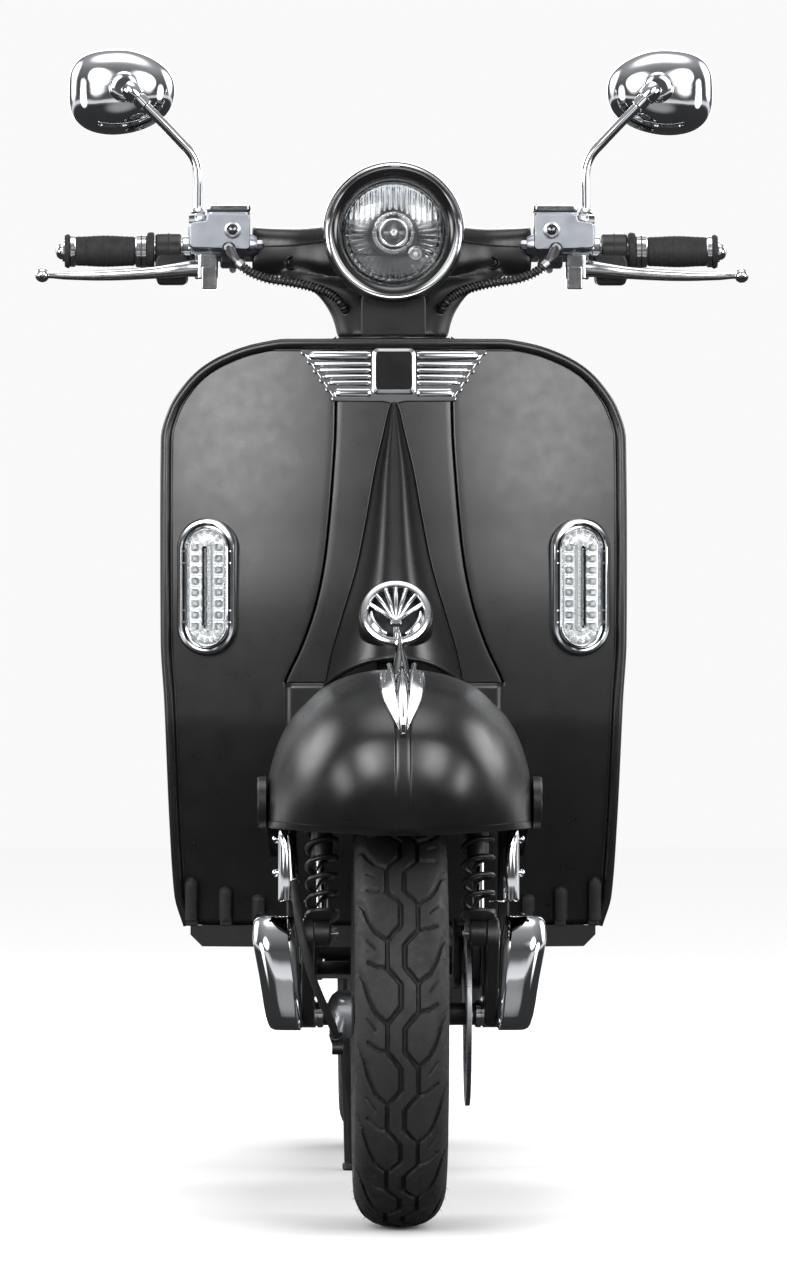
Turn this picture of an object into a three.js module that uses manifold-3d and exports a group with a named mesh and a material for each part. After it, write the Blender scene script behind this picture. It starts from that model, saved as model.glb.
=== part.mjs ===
// A moped scooter with a leading-link fork, built piece by piece as it comes apart on a bench.
// Millimetres, +Z up. The front wheel points to -Y, and +X is the rider's left.
import * as THREE from "three";
import { mergeVertices } from "three/addons/utils/BufferGeometryUtils.js";
import Module from "manifold-3d";

const wasm = await Module();
wasm.setup();

// ---------------------------------------------------------------- driving dimensions

const GAP = 0.4; // between pieces that rest on each other
const BORE_GAP = 0.9; // round the bar, whose bores are drawn with flat sides
const HALF_LENGTH = 893;
const TYRE_RADIUS = 208.5; // a 3.50-10 tyre
const TYRE_WIDTH = 90;
const RIM_RADIUS = 127;
const AXLE_Z = TYRE_RADIUS;
const FRONT_AXLE = { y: -667, z: AXLE_Z };
const REAR_AXLE = { y: 603, z: AXLE_Z + 8.5 }; // the centre stand holds the rear wheel just clear
const RAKE = THREE.MathUtils.degToRad(27);
const STEER_FOOT_Y = -752; // where the steering axis meets the ground

const BAR = { y: -222, z: 977, radius: 11, end: 338 };
const LAMP = { z: 990, radius: 66, front: -350, back: -222 };
const LINK_PIVOT = { y: -590, z: 245 };
const SHOCK_FOOT = { y: -742, z: 290 };
const SHOCK_TOP = { y: -668, z: 470 };
const SHOCK_X = 76;
const ARM = { inside: 83, outside: 96 };
const LEG = { inside: 99.5, outside: 110 };
const DISC = { inside: 64.5, outside: 69, radius: 90 };
const UNIT_PIVOT = { y: 262, z: 300 };
const CRANK = { y: 325, z: 305 };
const REAR_SHOCK_FOOT = { y: 625, z: 296 };
const REAR_SHOCK_TOP = { y: 613, z: 530 };
const REAR_SHOCK_X = 98;
const STAND_PIVOT = { y: 150, z: 222 };
const STAND_FOOT_Y = 190;
const SEAT_HINGE = { y: 60, z: 688 };
const KICK_PIVOT = { y: 400, z: 282 };
const MIRROR_YAW = { x: 200, y: -250 };
const MIRROR_BALL = { x: 274, y: -242, z: 1147 };
const LEVER_PIVOT = { x: 187, y: -252 };

const onSteeringAxis = (z) => STEER_FOOT_Y + z * Math.tan(RAKE);

// ---------------------------------------------------------------- solids

function solidOf(geometry) {
  const bare = new THREE.BufferGeometry();
  bare.setAttribute("position", geometry.getAttribute("position"));
  if (geometry.index) bare.setIndex(geometry.index);
  const merged = mergeVertices(bare, 1e-3);
  const kept = [];
  const index = merged.index.array;
  for (let i = 0; i < index.length; i += 3) {
    const [a, b, c] = [index[i], index[i + 1], index[i + 2]];
    if (a !== b && b !== c && c !== a) kept.push(a, b, c);
  }
  const build = (triangles) =>
    new wasm.Manifold(
      new wasm.Mesh({
        numProp: 3,
        vertProperties: Float32Array.from(merged.attributes.position.array),
        triVerts: Uint32Array.from(triangles),
      }),
    );
  const made = build(kept);
  return made.volume() < 0 ? build(kept.reverse()) : made;
}

function geometryOf(solid) {
  const { numProp, vertProperties, triVerts } = solid.getMesh();
  const count = vertProperties.length / numProp;
  const position = new Float32Array(count * 3);
  for (let i = 0; i < count; i++)
    position.set(vertProperties.subarray(i * numProp, i * numProp + 3), i * 3);
  const geometry = new THREE.BufferGeometry();
  geometry.setAttribute("position", new THREE.BufferAttribute(position, 3));
  geometry.setIndex(new THREE.BufferAttribute(triVerts, 1));
  geometry.computeVertexNormals();
  return geometry;
}

const join = (...solids) => solids.reduce((whole, next) => whole.add(next));
const cut = (solid, ...tools) => tools.reduce((left, tool) => left.subtract(tool), solid);
const mirrored = (solid) => solid.mirror([1, 0, 0]);
const largest = (solid) =>
  solid.decompose().reduce((best, next) => (next.volume() > best.volume() ? next : best));

// A box between two corners.
function box([x0, x1], [y0, y1], [z0, z1]) {
  const geometry = new THREE.BoxGeometry(x1 - x0, y1 - y0, z1 - z0);
  geometry.translate((x0 + x1) / 2, (y0 + y1) / 2, (z0 + z1) / 2);
  return solidOf(geometry);
}

// A round bar from one point to another; its radius may change along it.
function rod(from, to, radius, sides = 12, endRadius = radius) {
  const a = new THREE.Vector3(...from);
  const b = new THREE.Vector3(...to);
  const along = b.clone().sub(a);
  const geometry = new THREE.CylinderGeometry(endRadius, radius, along.length(), sides);
  const turn = new THREE.Quaternion();
  turn.setFromUnitVectors(new THREE.Vector3(0, 1, 0), along.clone().normalize());
  geometry.applyQuaternion(turn);
  geometry.translate(...a.add(b).multiplyScalar(0.5).toArray());
  return solidOf(geometry);
}

// A round bar across the scooter, between two values of x.
const crossRod = ([x0, x1], { y, z }, radius, sides = 12) =>
  rod([x0, y, z], [x1, y, z], radius, sides);

function ball([x, y, z], radius, detail = 10) {
  const geometry = new THREE.SphereGeometry(radius, detail, detail / 2);
  geometry.translate(x, y, z);
  return solidOf(geometry);
}

// A tube that follows a smooth curve through its points.
function tube(points, radius, steps, sides = 8) {
  const section = new THREE.Shape();
  for (let i = 0; i < sides; i++) {
    const angle = (2 * Math.PI * i) / sides;
    const [u, v] = [radius * Math.cos(angle), radius * Math.sin(angle)];
    if (i) section.lineTo(u, v);
    else section.moveTo(u, v);
  }
  const extrudePath = new THREE.CatmullRomCurve3(points.map((p) => new THREE.Vector3(...p)));
  return solidOf(new THREE.ExtrudeGeometry(section, { steps, extrudePath, bevelEnabled: false }));
}

const shapeOf = (points) => new THREE.Shape(points.map(([u, v]) => new THREE.Vector2(u, v)));

// An outline in a plane, extruded across it. "x": outline of (y, z). "y": of (x, z). "z": of (x, y).
function extrude(points, axis, [from, to]) {
  const depth = to - from;
  const shape = Array.isArray(points) ? shapeOf(points) : points;
  const settings = { depth, bevelEnabled: false, curveSegments: 6 };
  const geometry = new THREE.ExtrudeGeometry(shape, settings);
  const X = new THREE.Vector3(1, 0, 0);
  const Y = new THREE.Vector3(0, 1, 0);
  const Z = new THREE.Vector3(0, 0, 1);
  const basis = new THREE.Matrix4();
  if (axis === "x") basis.makeBasis(Y, Z, X).setPosition(from, 0, 0);
  if (axis === "y") basis.makeBasis(X, Z, Y.negate()).setPosition(0, to, 0);
  if (axis === "z") basis.makeBasis(X, Y, Z).setPosition(0, 0, from);
  return solidOf(geometry.applyMatrix4(basis));
}

// A turned piece: its profile is [radius, distance along the axis], and it ends on the axis or is closed.
function turned(profile, axis, centre, segments) {
  const closed = profile[0][0] === 0 ? profile : [...profile, profile[0]];
  const points = closed.map(([r, h]) => new THREE.Vector2(r, h));
  const geometry = new THREE.LatheGeometry(points, segments);
  if (axis === "x") geometry.rotateZ(-Math.PI / 2);
  if (axis === "z") geometry.rotateX(Math.PI / 2);
  geometry.translate(...centre);
  return solidOf(geometry);
}

// A body through rings of equal count, closed by flat caps.
function loft(rings) {
  const count = rings[0].length;
  const index = [];
  rings.slice(1).forEach((_, r) => {
    for (let i = 0; i < count; i++) {
      const j = (i + 1) % count;
      const [a, b, c, d] = [r * count + i, r * count + j, (r + 1) * count + i, (r + 1) * count + j];
      index.push(a, b, d, a, d, c);
    }
  });
  const cap = (ring, offset, alongWalls) => {
    const size = new THREE.Box3().setFromPoints(ring.map((p) => new THREE.Vector3(...p)));
    const spread = size.getSize(new THREE.Vector3()).toArray();
    const thin = spread.indexOf(Math.min(...spread));
    const [u, v] = [(thin + 1) % 3, (thin + 2) % 3];
    const outline = ring.map((p) => new THREE.Vector2(p[u], p[v]));
    const triangles = THREE.ShapeUtils.triangulateShape(outline, []);
    const areaOf = (points) => THREE.ShapeUtils.area(points);
    const sum = triangles.reduce((total, t) => total + areaOf(t.map((i) => outline[i])), 0);
    const same = sum * areaOf(outline) > 0;
    for (const [a, b, c] of triangles) {
      const ends = same === alongWalls ? [b, c] : [c, b];
      index.push(offset + a, offset + ends[0], offset + ends[1]);
    }
  };
  cap(rings[0], 0, false);
  cap(rings.at(-1), (rings.length - 1) * count, true);
  const geometry = new THREE.BufferGeometry();
  geometry.setAttribute("position", new THREE.Float32BufferAttribute(rings.flat(2), 3));
  geometry.setIndex(index);
  return solidOf(geometry);
}

// A shell between an outer and an inner grid of points, both [row][column].
function shell(outer, inner) {
  return loft(outer.map((row, r) => [...row, ...inner[r].slice().reverse()]));
}

// The value at t on a line through [t, value] pairs.
function along(table, t) {
  const last = table.length - 1;
  const found = table.findIndex(([at]) => at >= t);
  const next = found < 0 ? last : Math.max(found, 1);
  const [[t0, v0], [t1, v1]] = [table[next - 1], table[next]];
  return v0 + ((v1 - v0) * (t - t0)) / (t1 - t0);
}

const steps = (count) => Array.from({ length: count + 1 }, (_, i) => i / count);
const toBothSides = (list) => [...list.slice().reverse().map((v) => -v), 0, ...list];

// ---------------------------------------------------------------- leg shield and what sits on it

const SHIELD_THICK = 5;
const SHIELD_SWEEP = 35; // how far the edges stand back from the middle
const SHIELD_HALF = 236.5;
const SHIELD_WIDTH = [
  [284, 214], [315, 223], [392, 228], [514, 233], [575, 236.5], [792, 237],
  [819, 224], [846, 202], [867, 163], [878, 114], [881, 59],
];
const SHIELD_MIDDLE = [
  [284, -349], [300, -352], [400, -376], [458, -388], [500, -394], [600, -398],
  [700, -392], [800, -380], [881, -366],
];
const shieldY = (x, z) => along(SHIELD_MIDDLE, z) + SHIELD_SWEEP * (x / SHIELD_HALF) ** 2;

// The skin's own sheet, from `front` ahead of its surface to `back` behind it.
function shieldSheet(front, back, inset = 0) {
  const columns = toBothSides([0.2, 0.45, 0.72, 1]);
  const levels = [284, 400, 458, 514, 600, 700, 792, 819, 846, 867, 878, 881];
  const face = (offset) =>
    levels.map((z) =>
      columns.map((u) => {
        const x = u * (along(SHIELD_WIDTH, z) - inset);
        return [x, shieldY(x, z) + offset, z];
      }),
    );
  return shell(face(-front), face(back));
}

function legShield() {
  const edge = [-1, 1].map((side) =>
    SHIELD_WIDTH.map(([z, x]) => [side * (x - 4), shieldY(x, z) + 2, Math.min(z, 877)]),
  );
  const bead = tube([...edge[0], ...edge[1].reverse()], 4.5, 18, 5);
  const ribs = [
    [205, 340], [170.5, 331], [137, 323],
  ].flatMap(([x, top]) =>
    [-1, 1].map((side) => {
      const foot = [side * x, shieldY(x, 292) - 4, 292];
      const head = [side * x, shieldY(x, top - 8) - 4, top - 8];
      return rod(foot, head, 8, 6, 5);
    }),
  );
  const slot = box([-35, 35], [-420, -340], [520, 800]);
  return cut(join(shieldSheet(0, SHIELD_THICK), bead, ...ribs), slot);
}

// Everything behind the front surface, to trim what lies on it.
const behindShield = () => shieldSheet(GAP, 60);

const SPINE = [
  // z, half width, front
  [528, 69.7, -524], [557, 64, -513], [569, 61, -507], [600, 52, -492], [650, 37.5, -464],
  [700, 27.5, -438], [750, 18.5, -414], [790, 9, -396], [817, 3, -385],
];
const GRILLE = { y: -492, z: 601, outer: 34.8, inner: 27.4 };
const GRILLE_NORMAL = new THREE.Vector3(0, -Math.cos(0.45), Math.sin(0.45));
const onGrille = (distance) => [
  0,
  GRILLE.y + GRILLE_NORMAL.y * distance,
  GRILLE.z + GRILLE_NORMAL.z * distance,
];

function hornCover() {
  const across = toBothSides([0.4, 0.75, 1]);
  const face = (inset) =>
    SPINE.map(([z, half, front]) => {
      const base = along(SHIELD_MIDDLE, z) - 0.6;
      const width = Math.max(half - inset, half * 0.4);
      const depth = Math.max(base - front - inset, 1.5);
      return across.map((u) => [u * width, base - depth * (1 - Math.abs(u) ** 2.4), z]);
    });
  const boss = cut(rod(onGrille(-48), onGrille(-GAP), GRILLE.outer + 1, 20), loft(face(4)));
  const bore = rod(onGrille(-90), onGrille(9), GRILLE.inner, 16);
  const arch = rod([0, -600, 459], [0, -380, 459], 98, 20);
  const behind = box([-80, 80], [-400, -300], [520, 830]);
  const skin = shell(face(0), face(4));
  return cut(join(skin, cut(boss, behind)), bore, arch);
}

function hornGrille() {
  const ring = cut(
    rod(onGrille(0), onGrille(6), GRILLE.outer, 16),
    rod(onGrille(-2), onGrille(9), GRILLE.inner, 16),
  );
  const hub = onGrille(2);
  hub[2] -= 20;
  hub[1] -= 9;
  const tip = (angle) => {
    const up = new THREE.Vector3(0, GRILLE_NORMAL.z, -GRILLE_NORMAL.y);
    const reach = GRILLE.inner + 3;
    const centre = new THREE.Vector3(...onGrille(3.2));
    const point = up.multiplyScalar(reach * Math.cos(angle)).add(centre);
    return [reach * Math.sin(angle), point.y, point.z];
  };
  const foot = rod(tip(Math.PI), hub, 2.6, 6);
  const vanes = [-1, -0.5, 0, 0.5, 1].map((side) => rod(hub, tip(side * 0.95), 2, 6, 2.6));
  return join(ring, foot, ball(hub, 4.5, 6), ...vanes);
}

// A ribbed plate with stepped ends; the blank plaque is its middle.
function trimPlate() {
  const STEPS = 5;
  const [low, high] = [819, 870];
  const height = (high - low) / STEPS;
  const outline = (count) =>
    steps(count - 1).flatMap((t, i) => {
      const half = 62 + 30 * t;
      return [[half, low + i * height], [half + 2, low + (i + 1) * height - 2]];
    });
  const right = outline(STEPS);
  const left = right.map(([x, z]) => [-x, z]).reverse();
  const plate = extrude([...right, ...left], "y", [-400, -340]);
  return plate.intersect(shieldSheet(8, -GAP));
}

const INDICATOR = { x: 189, z: 629, halfWidth: 30.5, halfHeight: 69.5 };

// An upright oval with flat sides, extruded across the skin at its own slant.
function indicatorOval(halfWidth, halfHeight, [from, to]) {
  const straight = halfHeight - halfWidth;
  const shape = new THREE.Shape();
  shape.absarc(0, straight, halfWidth, 0, Math.PI);
  shape.absarc(0, -straight, halfWidth, Math.PI, 2 * Math.PI);
  const slant = Math.atan((2 * SHIELD_SWEEP * INDICATOR.x) / SHIELD_HALF ** 2);
  return extrude(shape, "y", [from, to])
    .rotate([0, 0, THREE.MathUtils.radToDeg(slant)])
    .translate([INDICATOR.x, shieldY(INDICATOR.x, INDICATOR.z), INDICATOR.z]);
}

function indicatorBezel() {
  const { halfWidth, halfHeight } = INDICATOR;
  const ring = cut(
    indicatorOval(halfWidth, halfHeight, [-15, 8]),
    indicatorOval(halfWidth - 6, halfHeight - 6, [-30, 30]),
  );
  return cut(ring, behindShield());
}

function indicatorLens() {
  const { halfWidth, halfHeight } = INDICATOR;
  return cut(indicatorOval(halfWidth - 7, halfHeight - 7, [-12, 8]), behindShield());
}

// ---------------------------------------------------------------- inner shield, floor, bodywork

const INNER_BACK = -262;

// The rider's side of the shield: flat over the steering tube, falling away to the edges.
function innerShield() {
  const columns = toBothSides([0.3, 0.5, 0.75, 1]);
  const levels = [301, 560, 780, 820, 858];
  const face = (offset) =>
    levels.map((z) =>
      columns.map((u) => {
        const half = along(SHIELD_WIDTH, z) - 22;
        const x = u * half;
        const skin = shieldY(x, z) + SHIELD_THICK + 1;
        const level = Math.min(Math.max((Math.abs(x) - 70) / (half - 75), 0), 1);
        const bulge = 0.5 + 0.5 * Math.cos(Math.PI * level);
        return [x, skin + (INNER_BACK - skin) * bulge + offset, z];
      }),
    );
  const wall = shell(face(0), face(4));
  const top = face(2).at(-1);
  const front = top.map(([x, y]) => [x, Math.min(shieldY(x, 862) + SHIELD_THICK + 6, y - 1)]);
  const lid = extrude([...top, ...front.reverse()].map(([x, y]) => [x, y]), "z", [853, 858]);
  const stemHole = rod([0, onSteeringAxis(800), 800], [0, onSteeringAxis(900), 900], 34, 24);
  return cut(join(wall, lid), stemHole);
}

const FLOOR = { top: 300, thick: 16, half: 205, front: -344, back: 56, keel: 228 };

function floorboard() {
  const deck = extrude(
    [
      [-FLOOR.half, FLOOR.front], [FLOOR.half, FLOOR.front], [FLOOR.half, -60],
      [150, FLOOR.back], [-150, FLOOR.back], [-FLOOR.half, -60],
    ],
    "z",
    [FLOOR.top - FLOOR.thick, FLOOR.top],
  );
  const edge = 22.5; // the front lip hangs this far below the skin
  const lipOutline = [[-195, 262], [195, 262], [207, 274], [207, 283.6], [-207, 283.6], [-207, 274]];
  const lowSheet = shieldSheet(0, 8).translate([0, 0, -edge]);
  const lip = extrude(lipOutline, "y", [-380, -280]).intersect(lowSheet);
  const sill = box([-195, 195], [-360, -290], [276, 292]);
  const beforeLip = shieldSheet(60, 0).translate([0, 0, -edge]);
  const beforeDeck = shieldSheet(60, SHIELD_THICK + GAP);
  const keelOuter = box([-95, 95], [-300, FLOOR.back], [FLOOR.keel, FLOOR.top - 10]);
  const keelInner = box([-91, 91], [-400, 100], [FLOOR.keel + 4, FLOOR.top - FLOOR.thick]);
  const tubeNotch = box([-32, 32], [-346, -238], [270, 310]);
  const front = join(cut(join(deck, sill), beforeDeck, beforeLip), lip);
  return largest(cut(join(front, cut(keelOuter, keelInner)), tubeNotch));
}

const COWL = [
  // y, top edge x, top z, half width, z of the widest point, bottom x, bottom z
  [62, 108, 660, 120, 480, 116, 300], [110, 106, 684, 150, 495, 144, 306],
  [200, 106, 686, 172, 508, 158, 320], [350, 106, 686, 180, 512, 160, 335],
  [500, 104, 684, 178, 515, 155, 348], [620, 62, 672, 168, 535, 148, 372],
  [740, 22, 648, 138, 555, 126, 410], [820, 8, 615, 96, 562, 84, 460],
  [850, 6, 588, 62, 558, 56, 500],
];
const COWL_THICK = 4;

function cowlLeft() {
  const face = (inset) =>
    COWL.map(([y, topX, topZ, half, wideZ, footX, footZ]) => {
      const upper = steps(5).slice(0, 5).map((t) => {
        const angle = (t * Math.PI) / 2;
        return [
          topX + (half - topX) * Math.sin(angle) - inset * t,
          y,
          wideZ + (topZ - wideZ) * Math.cos(angle) - inset * (1 - t),
        ];
      });
      const lower = steps(3).map((t) => [
        half + (footX - half) * t * t - inset,
        y,
        wideZ + (footZ - wideZ) * t,
      ]);
      return [...upper, ...lower];
    });
  const skin = shell(face(0), face(COWL_THICK));
  const nose = box([GAP, 117], [62, 66], [300.5, 655]);
  const tail = box([GAP, 58], [846, 850], [502, 586]);
  const strip = box([GAP, 24], [742, 850], [583, 587]);
  return join(skin, nose, tail, strip);
}

const BUCKET = { half: 100, front: 112, back: 470, floor: 480, rim: 682, wall: 4 };

function seatBucket() {
  const { half, front, back, floor, rim, wall } = BUCKET;
  return cut(
    box([-half, half], [front, back], [floor, rim]),
    box([wall - half, half - wall], [front + wall, back - wall], [floor + wall, rim + 9]),
  );
}

const tailLamp = () =>
  join(
    box([-46, 46], [850 + GAP, 866], [515, 572]),
    extrude([[-40, 866], [40, 866], [26, 880], [-26, 880]], "z", [520, 567]),
  );

function rearFender() {
  const arc = (radius) =>
    [20, 34, 48, 62, 76, 90].map((degrees) => {
      const angle = THREE.MathUtils.degToRad(degrees);
      return [REAR_AXLE.y + radius * Math.cos(angle), REAR_AXLE.z + 34 + radius * Math.sin(angle)];
    });
  const guard = extrude([...arc(238), ...arc(234).reverse()], "x", [-58, 58]);
  const hanger = box([-30, 30], [700, 724], [462, 572]);
  const arm = extrude([[812, 322], [828, 322], [889, 400], [880, 404]], "x", [-20, 20]);
  const plate = box([-85, 85], [884, HALF_LENGTH], [385, 500]);
  return join(guard, hanger, arm, plate);
}

// ---------------------------------------------------------------- frame

const HEAD_TUBE = { low: 600, high: 838, radius: 20 };
const RAIL_X = 75;

function mainFrame() {
  const spot = (z) => [0, onSteeringAxis(z), z];
  const { low, high, radius } = HEAD_TUBE;
  const head = join(
    rod(spot(low), spot(high), radius, 14),
    rod(spot(low), spot(low + 14), 25, 14),
    rod(spot(high - 14), spot(high), 25, 14),
  );
  const bore = rod(spot(low - 20), spot(high + 20), 14.5, 12);
  const down = tube(
    [[0, -378, 700], [0, -338, 600], [0, -318, 470], [0, -296, 340], [0, -275, 258]],
    16,
    5,
    6,
  );
  const rail = tube(
    [
      [RAIL_X, -278, 258], [RAIL_X, -120, 258], [RAIL_X, 60, 258], [92, 118, 330],
      [112, 174, 440], [120, 260, 530], [122, 400, 560], [120, 600, 572], [100, 725, 580],
    ],
    12,
    10,
    6,
  );
  const pivotPlate = extrude(
    [[96, 300], [140, 370], [276, 318], [276, 286], [130, 286]],
    "x",
    [85, 93],
  );
  const standPlate = extrude(
    [[58, 262], [66, 300], [96, 300], [164, 236], [164, 208], [136, 208]],
    "x",
    [68, 78],
  );
  const seatPost = box([84, 94], [74, 86], [430, 676]);
  const seatTie = box([84, 114], [74, 180], [424, 440]);
  const shockPlate = box([117, 127], [599, 627], [518, 575]);
  const shockPin = crossRod([86, 119], REAR_SHOCK_TOP, 6, 10);
  const side = join(rail, pivotPlate, standPlate, seatTie, seatPost);
  const cross = (at, reach, thick = 10) => crossRod([-reach, reach], at, thick, 8);
  const unitBolt = crossRod([-92, 92], UNIT_PIVOT, 6, 12);
  const standBolt = crossRod([-77, 77], STAND_PIVOT, 5, 12);
  const fenderTie = box([-101, 101], [712, 730], [573, 590]);
  return join(
    cut(join(head, down), bore),
    side,
    mirrored(side),
    shockPlate,
    shockPin,
    cross({ y: -275, z: 258 }, RAIL_X),
    cross({ y: 30, z: 258 }, RAIL_X),
    cross({ y: 80, z: 668 }, 92, 5),
    unitBolt,
    standBolt,
    fenderTie,
  );
}

// ---------------------------------------------------------------- fork, fender, headset

function fork() {
  const stem = rod([0, onSteeringAxis(560), 560], [0, onSteeringAxis(905), 905], 13, 12);
  const neck = rod([0, onSteeringAxis(444), 444], [0, onSteeringAxis(572), 572], 19, 10);
  const crown = extrude(
    [
      [-LEG.outside, -577], [LEG.outside, -577], [LEG.outside, -554], [30, -498],
      [-30, -498], [-LEG.outside, -554],
    ],
    "z",
    [426, 446],
  );
  const leg = extrude(
    [
      [-607, 236], [-573, 236], [-554, 432], [-554, 446], [-582, 446], [-582, 436], [-607, 262],
    ],
    "x",
    [LEG.inside, LEG.outside],
  );
  const bracket = extrude(
    [
      [-560, 436], [-560, 452], [-650, 474], [-676, 480], [-680, 462], [-660, 448],
    ],
    "x",
    [94, 108],
  );
  const shockPin = crossRod([SHOCK_X - 12, 98], SHOCK_TOP, 6, 10);
  const side = join(leg, bracket, shockPin);
  const riser = rod([0, onSteeringAxis(900), 900], [0, BAR.y - 16, BAR.z - 14], 11, 8);
  const barBore = crossRod([-40, 40], BAR, BAR.radius + BORE_GAP, 14);
  return cut(join(stem, neck, crown, side, mirrored(side), riser), barBore);
}

// The crest line of the fender, from its nose over the wheel to its tail.
const FENDER_CROWN = [
  [0, -881, 391], [0.1, -893, 440], [0.18, -885, 480], [0.28, -850, 515], [0.4, -790, 535],
  [0.52, -720, 546], [0.64, -640, 546], [0.76, -570, 535], [0.87, -520, 510], [0.94, -488, 468],
  [1, -470, 420],
];
// Its lower edge on one side: how far out, and where along the scooter.
const FENDER_EDGE = [
  [0, 16, -878, 388], [0.1, 58, -862, 390], [0.18, 86, -836, 391], [0.28, 110, -790, 392],
  [0.4, 125, -728, 392], [0.52, 131, -665, 393], [0.64, 131, -620, 392], [0.76, 129, -575, 378],
  [0.87, 128, -530, 362], [0.94, 124, -496, 358], [1, 114, -478, 366],
];
const FENDER_POWER = 2.4; // how square its shoulders are

function fenderPoint(t, a, inset) {
  const pick = (table, k) => along(table.map((row) => [row[0], row[k]]), t);
  const [crownY, crownZ] = [pick(FENDER_CROWN, 1), pick(FENDER_CROWN, 2) - inset];
  const [edgeX, edgeY, edgeZ] = [1, 2, 3].map((k) => pick(FENDER_EDGE, k));
  const out = Math.abs(Math.sin(a)) ** (2 / FENDER_POWER) * Math.sign(a);
  const up = Math.cos(a) ** (2 / FENDER_POWER);
  const squeeze = 1 - inset / 245;
  const y = edgeY + (crownY - edgeY) * up;
  return [(edgeX - inset) * out, -672 + (y + 672) * squeeze, edgeZ + (crownZ - edgeZ) * up];
}

function frontFender() {
  const sweep = [-90, -66, -45, -24, 0, 24, 45, 66, 90].map(THREE.MathUtils.degToRad);
  const face = (inset) =>
    FENDER_CROWN.map(([t]) => sweep.map((a) => fenderPoint(t, a * 0.9999, inset)));
  const skin = shell(face(0), face(4));
  const stemHole = rod([0, onSteeringAxis(440), 440], [0, onSteeringAxis(600), 600], 24, 16);
  return cut(skin, stemHole);
}

function fenderCrest() {
  const profile = [
    [-866, 497], [-852, 532], [-800, 552], [-720, 572], [-640, 586], [-622, 584], [-622, 556],
    [-700, 556], [-790, 540], [-840, 520], [-862, 488],
  ];
  const fin = extrude(profile, "x", [-4, 4]);
  const base = extrude(
    [[0, -866], [18, -800], [13, -700], [5, -622], [-5, -622], [-13, -700], [-18, -800]],
    "z",
    [480, 575],
  );
  const over = (inset) =>
    FENDER_CROWN.slice(1, 9).map(([, y, z]) => [
      [-30, y + 0.01, z - 40], [-30, y, z + 1 - inset], [-14, y, z + 1 - inset],
      [0, y, z + 1 - inset], [14, y, z + 1 - inset], [30, y, z + 1 - inset], [30, y + 0.01, z - 40],
    ]);
  const pad = base.intersect(loft(over(-7)));
  return largest(cut(join(fin, pad), loft(over(-GAP))));
}

function headsetSolid(inset) {
  const can = turned(
    [
      [0, LAMP.front], [LAMP.radius - inset, LAMP.front], [LAMP.radius - inset, -262],
      [58 - inset, -236], [34, LAMP.back - inset], [0, LAMP.back - inset],
    ],
    "y",
    [0, 0, LAMP.z],
    20,
  );
  const armRing = (x, y0, y1, z0, z1) =>
    [[0.2, 0], [0.8, 0], [1, 0.25], [1, 0.75], [0.8, 1], [0.2, 1], [0, 0.75], [0, 0.25]].map(
      ([u, v]) => [
        x,
        y0 + inset + (y1 - y0 - 2 * inset) * u,
        z0 + inset + (z1 - z0 - 2 * inset) * v,
      ],
    );
  const reach = 141 - (inset ? 5 : 0);
  const arm = loft([
    armRing(20, -306, -200, 930, 1016), armRing(66, -292, -202, 944, 1002),
    armRing(104, -270, -204, 950, 1000), armRing(reach, -258, -206, 950, 1006),
  ]);
  const neckRing = (z, halfX, halfY, y) =>
    steps(12).slice(0, 12).map((t) => {
      const angle = 2 * Math.PI * t;
      return [(halfX - inset) * Math.cos(angle), y + (halfY - inset) * Math.sin(angle), z];
    });
  const neck = loft([
    neckRing(884 - (inset ? 9 : 0), 54, 43, -301), neckRing(903, 62, 45, -293),
    neckRing(950, 60, 46, -272),
  ]);
  return join(can, arm, mirrored(arm), neck);
}

function headsetShell() {
  const bore = crossRod([-160, 160], BAR, BAR.radius + BORE_GAP, 14);
  const mouth = rod([0, LAMP.front - 10, LAMP.z], [0, LAMP.front + 20, LAMP.z], LAMP.radius - 4, 24);
  return cut(headsetSolid(0), headsetSolid(4), bore, mouth);
}

const headlightRing = () =>
  turned(
    [
      [54, LAMP.front - GAP], [70, LAMP.front - GAP], [72, LAMP.front - 8], [70, LAMP.front - 22],
      [66, LAMP.front - 24], [58, LAMP.front - 14], [54, LAMP.front - 10],
    ],
    "y",
    [0, 0, LAMP.z],
    24,
  );

const headlightLens = () =>
  turned(
    [
      [0, LAMP.front - 14], [30, LAMP.front - 12], [53.5, LAMP.front - 4],
      [53.5, LAMP.front + 4], [0, LAMP.front - 4],
    ],
    "y",
    [0, 0, LAMP.z],
    20,
  );

// ---------------------------------------------------------------- controls

const GRIP = { from: 245, to: 337.5, radius: 15 };
const onBar = ([x0, x1], radius, sides = 10) =>
  cut(
    crossRod([x0, x1], BAR, radius, sides),
    crossRod([x0 - 5, x1 + 5], BAR, BAR.radius + BORE_GAP, 10),
  );

function handlebar() {
  const side = crossRod([BAR.end + GAP, BAR.end + 9], BAR, GRIP.radius, 16);
  return join(crossRod([-BAR.end - 2, BAR.end + 2], BAR, BAR.radius, 16), side, mirrored(side));
}

const grip = () =>
  join(
    onBar([GRIP.from, 257], GRIP.radius + 2, 10),
    onBar([256, 330], GRIP.radius, 10),
    onBar([329, GRIP.to], GRIP.radius + 1.5, 10),
  );

const SWITCH = { x: [208, 244.5], y: [-240, -206], z: [942, 976] };
const BUTTON = { x: 228, z: 954, radius: 5.5, travel: 3 };

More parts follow.
